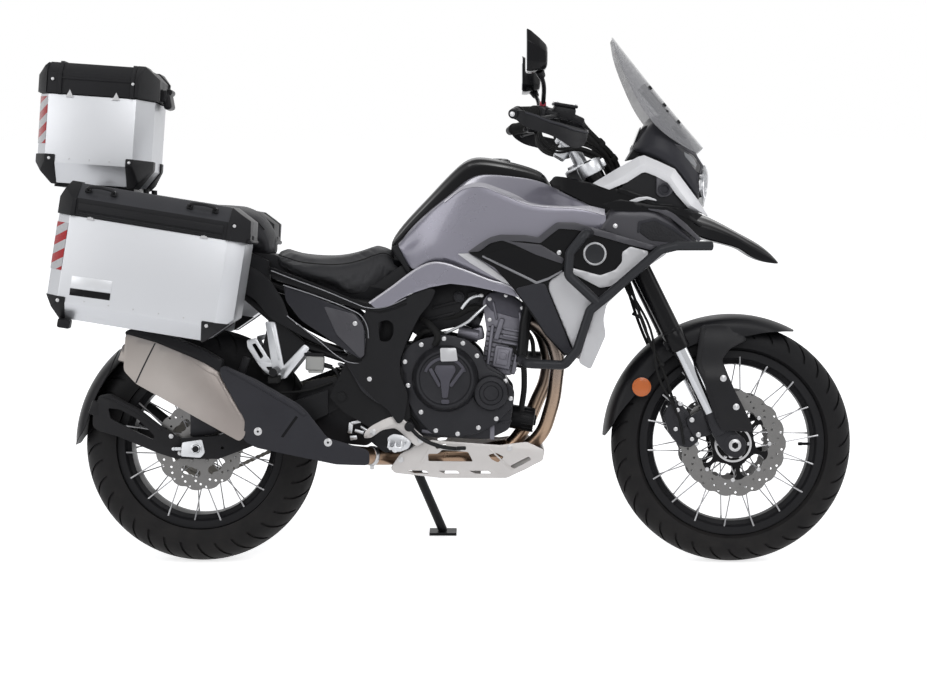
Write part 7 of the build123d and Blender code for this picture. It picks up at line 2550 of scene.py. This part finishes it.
# %% Mirrors
FACE = [(345, 1318), (360, 1293), (420, 1288), (478, 1290), (500, 1318), (505, 1382), (484, 1420),
        (430, 1424), (374, 1416), (347, 1390)]


def mirror_ring(x, share, low, high):
    """The face's outline at one distance forward, narrowed and squeezed between two heights."""
    return [(x, 425 + (y - 425) * share, low + (z - 1288) / 136 * (high - low)) for y, z in FACE]


shell = skin([mirror_ring(158, 1.0, 1311, 1423), mirror_ring(168, 1.0, 1310, 1418),
              mirror_ring(190, 0.93, 1314, 1399), mirror_ring(207, 0.80, 1319, 1382),
              mirror_ring(211, 0.66, 1328, 1374)], levels=0)
bevelled(shell, 2.2, 3, 12)
finished(both_sides(shell), "mirror_shells", "steering", black_gloss, ["mirrors"], angle=45)
glass = skin([mirror_ring(156.6, 0.93, 1315, 1419), mirror_ring(160, 0.94, 1314, 1420)], levels=0)
finished(both_sides(glass), "mirror_glasses", "steering", mirror_glass)
stalk = [pipe([on_grip(24, (-1, 2, 14)), (205, 296, 1256), (204, 350, 1284), (197, 395, 1304),
               (188, 422, 1324)], 6, resolution=8, sides=4),
         rod(on_grip(24, (-1, 0, 10)), on_grip(24, (-1, 4, 16)), 11, sides=6, bevel=1.5),
         rod(on_grip(14), on_grip(34), 18.5, sides=32, bevel=2),
         rod((198, 398, 1304), (190, 420, 1320), 10, 13, 24, 2)]
finished(both_sides(stalk), "mirror_stalks", "steering", black_metal)
lock_ring = rod(on_grip(24, (-1, 4, 17)), on_grip(24, (0, 9, 27)), 9, 8, 24, 1)
finished(both_sides(lock_ring), "mirror_lock_rings", "steering", red_ring)
show_new()

# %% [markdown]
# Some CAD pieces already have their real shape, such as the frame tubes, the racks and the swingarm.
# They stay as they are and only get their finish.

# %% Finishes for the carried-over nodes
FINISHES = [(tyre_rubber, "front_tyre rear_tyre"),
            (black_metal,
             "front_rim rear_rim fork_outer_tubes handlebar levers swingarm shock_absorber side_stand"),
            (bright_steel, "front_spokes rear_spokes fork_sliders"),
            (dark_cast, "front_hub rear_hub front_calipers engine_covers radiator rear_caliper"),
            (disc_steel, "front_discs rear_disc rear_sprocket"),
            (bare_alloy, "triple_clamps exhaust_pipes foot_controls"),
            (black_plastic, "hand_guards heat_shield rider_seat passenger_seat tail_cover instrument_panel"),
            (black_gloss, "mirrors headlight beak"), (guard_plastic, "front_mudguard rear_mudguard"),
            (rubber, "brake_hoses"), (frame_paint, "main_frame subframe luggage_racks"),
            (cast_alloy, "engine_block"), (guard_alloy, "silencer skid_plate"), (chain_steel, "drive_chain"),
            (tank_paint, "fuel_tank"), (grey_plastic, "side_covers"),
            (silver_paint, "side_fairings radiator_shrouds"), (lamp_glass, "windscreen"),
            (bar_paint, "crash_bars"), (case_alloy, "panniers top_case"),
            (case_plastic, "left_pannier_lid right_pannier_lid top_case_lid")]
for material, names in FINISHES:
    for name in names.split():
        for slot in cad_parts[name].material_slots:
            slot.material = material

# %% [markdown]
# The camera stands level with the bike's own side, 6.5 m off and square to the leaning wheels, which
# shows both wheels as circles. Big soft lamps above and beside the bike keep the light plain, the
# floor is pale, and both it and the world turn white for the camera and for mirror reflections.

# %% Camera
CAMERA_AT = Vector((65, -6500, 870))
LOOK_AT = Vector((-8, 0, 606))
PIXELS_WIDE = 927
FOCAL_PIXELS = 2361
clear_selection()
bpy.ops.object.camera_add(location=PARKED @ (CAMERA_AT * MM))
camera = bpy.context.object
gaze = (PARKED.to_3x3() @ (LOOK_AT - CAMERA_AT)).normalized()
lean_up = PARKED.to_3x3() @ Vector((0, 0, 1))
right = gaze.cross(lean_up).normalized()
facing = Matrix((right, right.cross(gaze), -gaze)).transposed().to_4x4()
camera.matrix_world = Matrix.Translation(PARKED @ (CAMERA_AT * MM)) @ facing
camera.data.sensor_width = 36
camera.data.lens = 36 * FOCAL_PIXELS / PIXELS_WIDE
camera.data.clip_end = 60
bpy.context.scene.camera = camera
print("camera at", tuple(round(v, 3) for v in camera.location))

# %% Lamps
LAMPS = [  # name, place, height aimed at, size, watts
    ("key lamp", (1.6, -4.2, 4.4), 0.6, 3.2, 105),
    ("fill lamp", (-3.6, -3.2, 2.6), 0.6, 3.0, 46),
    ("back lamp", (-0.5, 4.0, 4.2), 0.6, 3.0, 62),
    ("nose lamp", (4.6, -0.6, 2.2), 0.7, 2.2, 26),
]
AMBIENT_LIGHT, FLOOR_GREY, FLOOR_GLOW = 0.3, 0.9, 0.72
for name, place, aim, size, watts in LAMPS:
    clear_selection()
    bpy.ops.object.light_add(type="AREA", location=place)
    obj = bpy.context.object
    obj.name = name
    obj.data.size = size
    obj.data.energy = watts
    obj.rotation_euler = (Vector((0, 0, aim)) - Vector(place)).to_track_quat("-Z", "Y").to_euler()

# %% White behind, soft light around
def seen_white(tree):
    """1 for camera, mirror and glass rays, 0 for the rest."""
    path = tree.nodes.new("ShaderNodeLightPath")
    first = node(tree, "Math", [(0, path.outputs["Is Camera Ray"]), (1, path.outputs["Is Glossy Ray"])],
                 operation="MAXIMUM")
    seen = node(tree, "Math", [(0, first.outputs[0]), (1, path.outputs["Is Transmission Ray"])],
                operation="MAXIMUM")
    return seen.outputs[0]


world = bpy.data.worlds.new("studio")
bpy.context.scene.world = world
world.use_nodes = True
tree = world.node_tree
ambient = tree.nodes["Background"]
ambient.inputs["Color"].default_value = (0.92, 0.94, 1.0, 1)
ambient.inputs["Strength"].default_value = AMBIENT_LIGHT
white = node(tree, "Background", Strength=1.0)
white.inputs["Color"].default_value = (1, 1, 1, 1)
mix = node(tree, "MixShader", [(0, seen_white(tree))])
tree.links.new(ambient.outputs[0], mix.inputs[1])
tree.links.new(white.outputs[0], mix.inputs[2])
tree.links.new(mix.outputs[0], tree.nodes["World Output"].inputs["Surface"])

# %% Floor
clear_selection()
bpy.ops.mesh.primitive_plane_add(size=24, location=(0, 0, -0.0005))
floor = bpy.context.object
floor.name = "floor"
floor_paint = bpy.data.materials.new("pale floor")
floor_paint.use_nodes = True
tree = floor_paint.node_tree
shader = tree.nodes["Principled BSDF"]
shader.inputs["Base Color"].default_value = (FLOOR_GREY, FLOOR_GREY, FLOOR_GREY, 1)
shader.inputs["Roughness"].default_value = 0.9
glow = node(tree, "Emission", Strength=FLOOR_GLOW)
add = node(tree, "AddShader", [(0, shader.outputs[0]), (1, glow.outputs[0])])
mix = node(tree, "MixShader", [(0, seen_white(tree)), (1, shader.outputs[0]), (2, add.outputs[0])])
tree.links.new(mix.outputs[0], tree.nodes["Material Output"].inputs["Surface"])
floor.data.materials.append(floor_paint)
bpy.context.scene.view_settings.view_transform = "Standard"

# %% Sizes, and the end
print("pieces:", len(NAMES), "faces:", sum(count for _, count in NAMES))
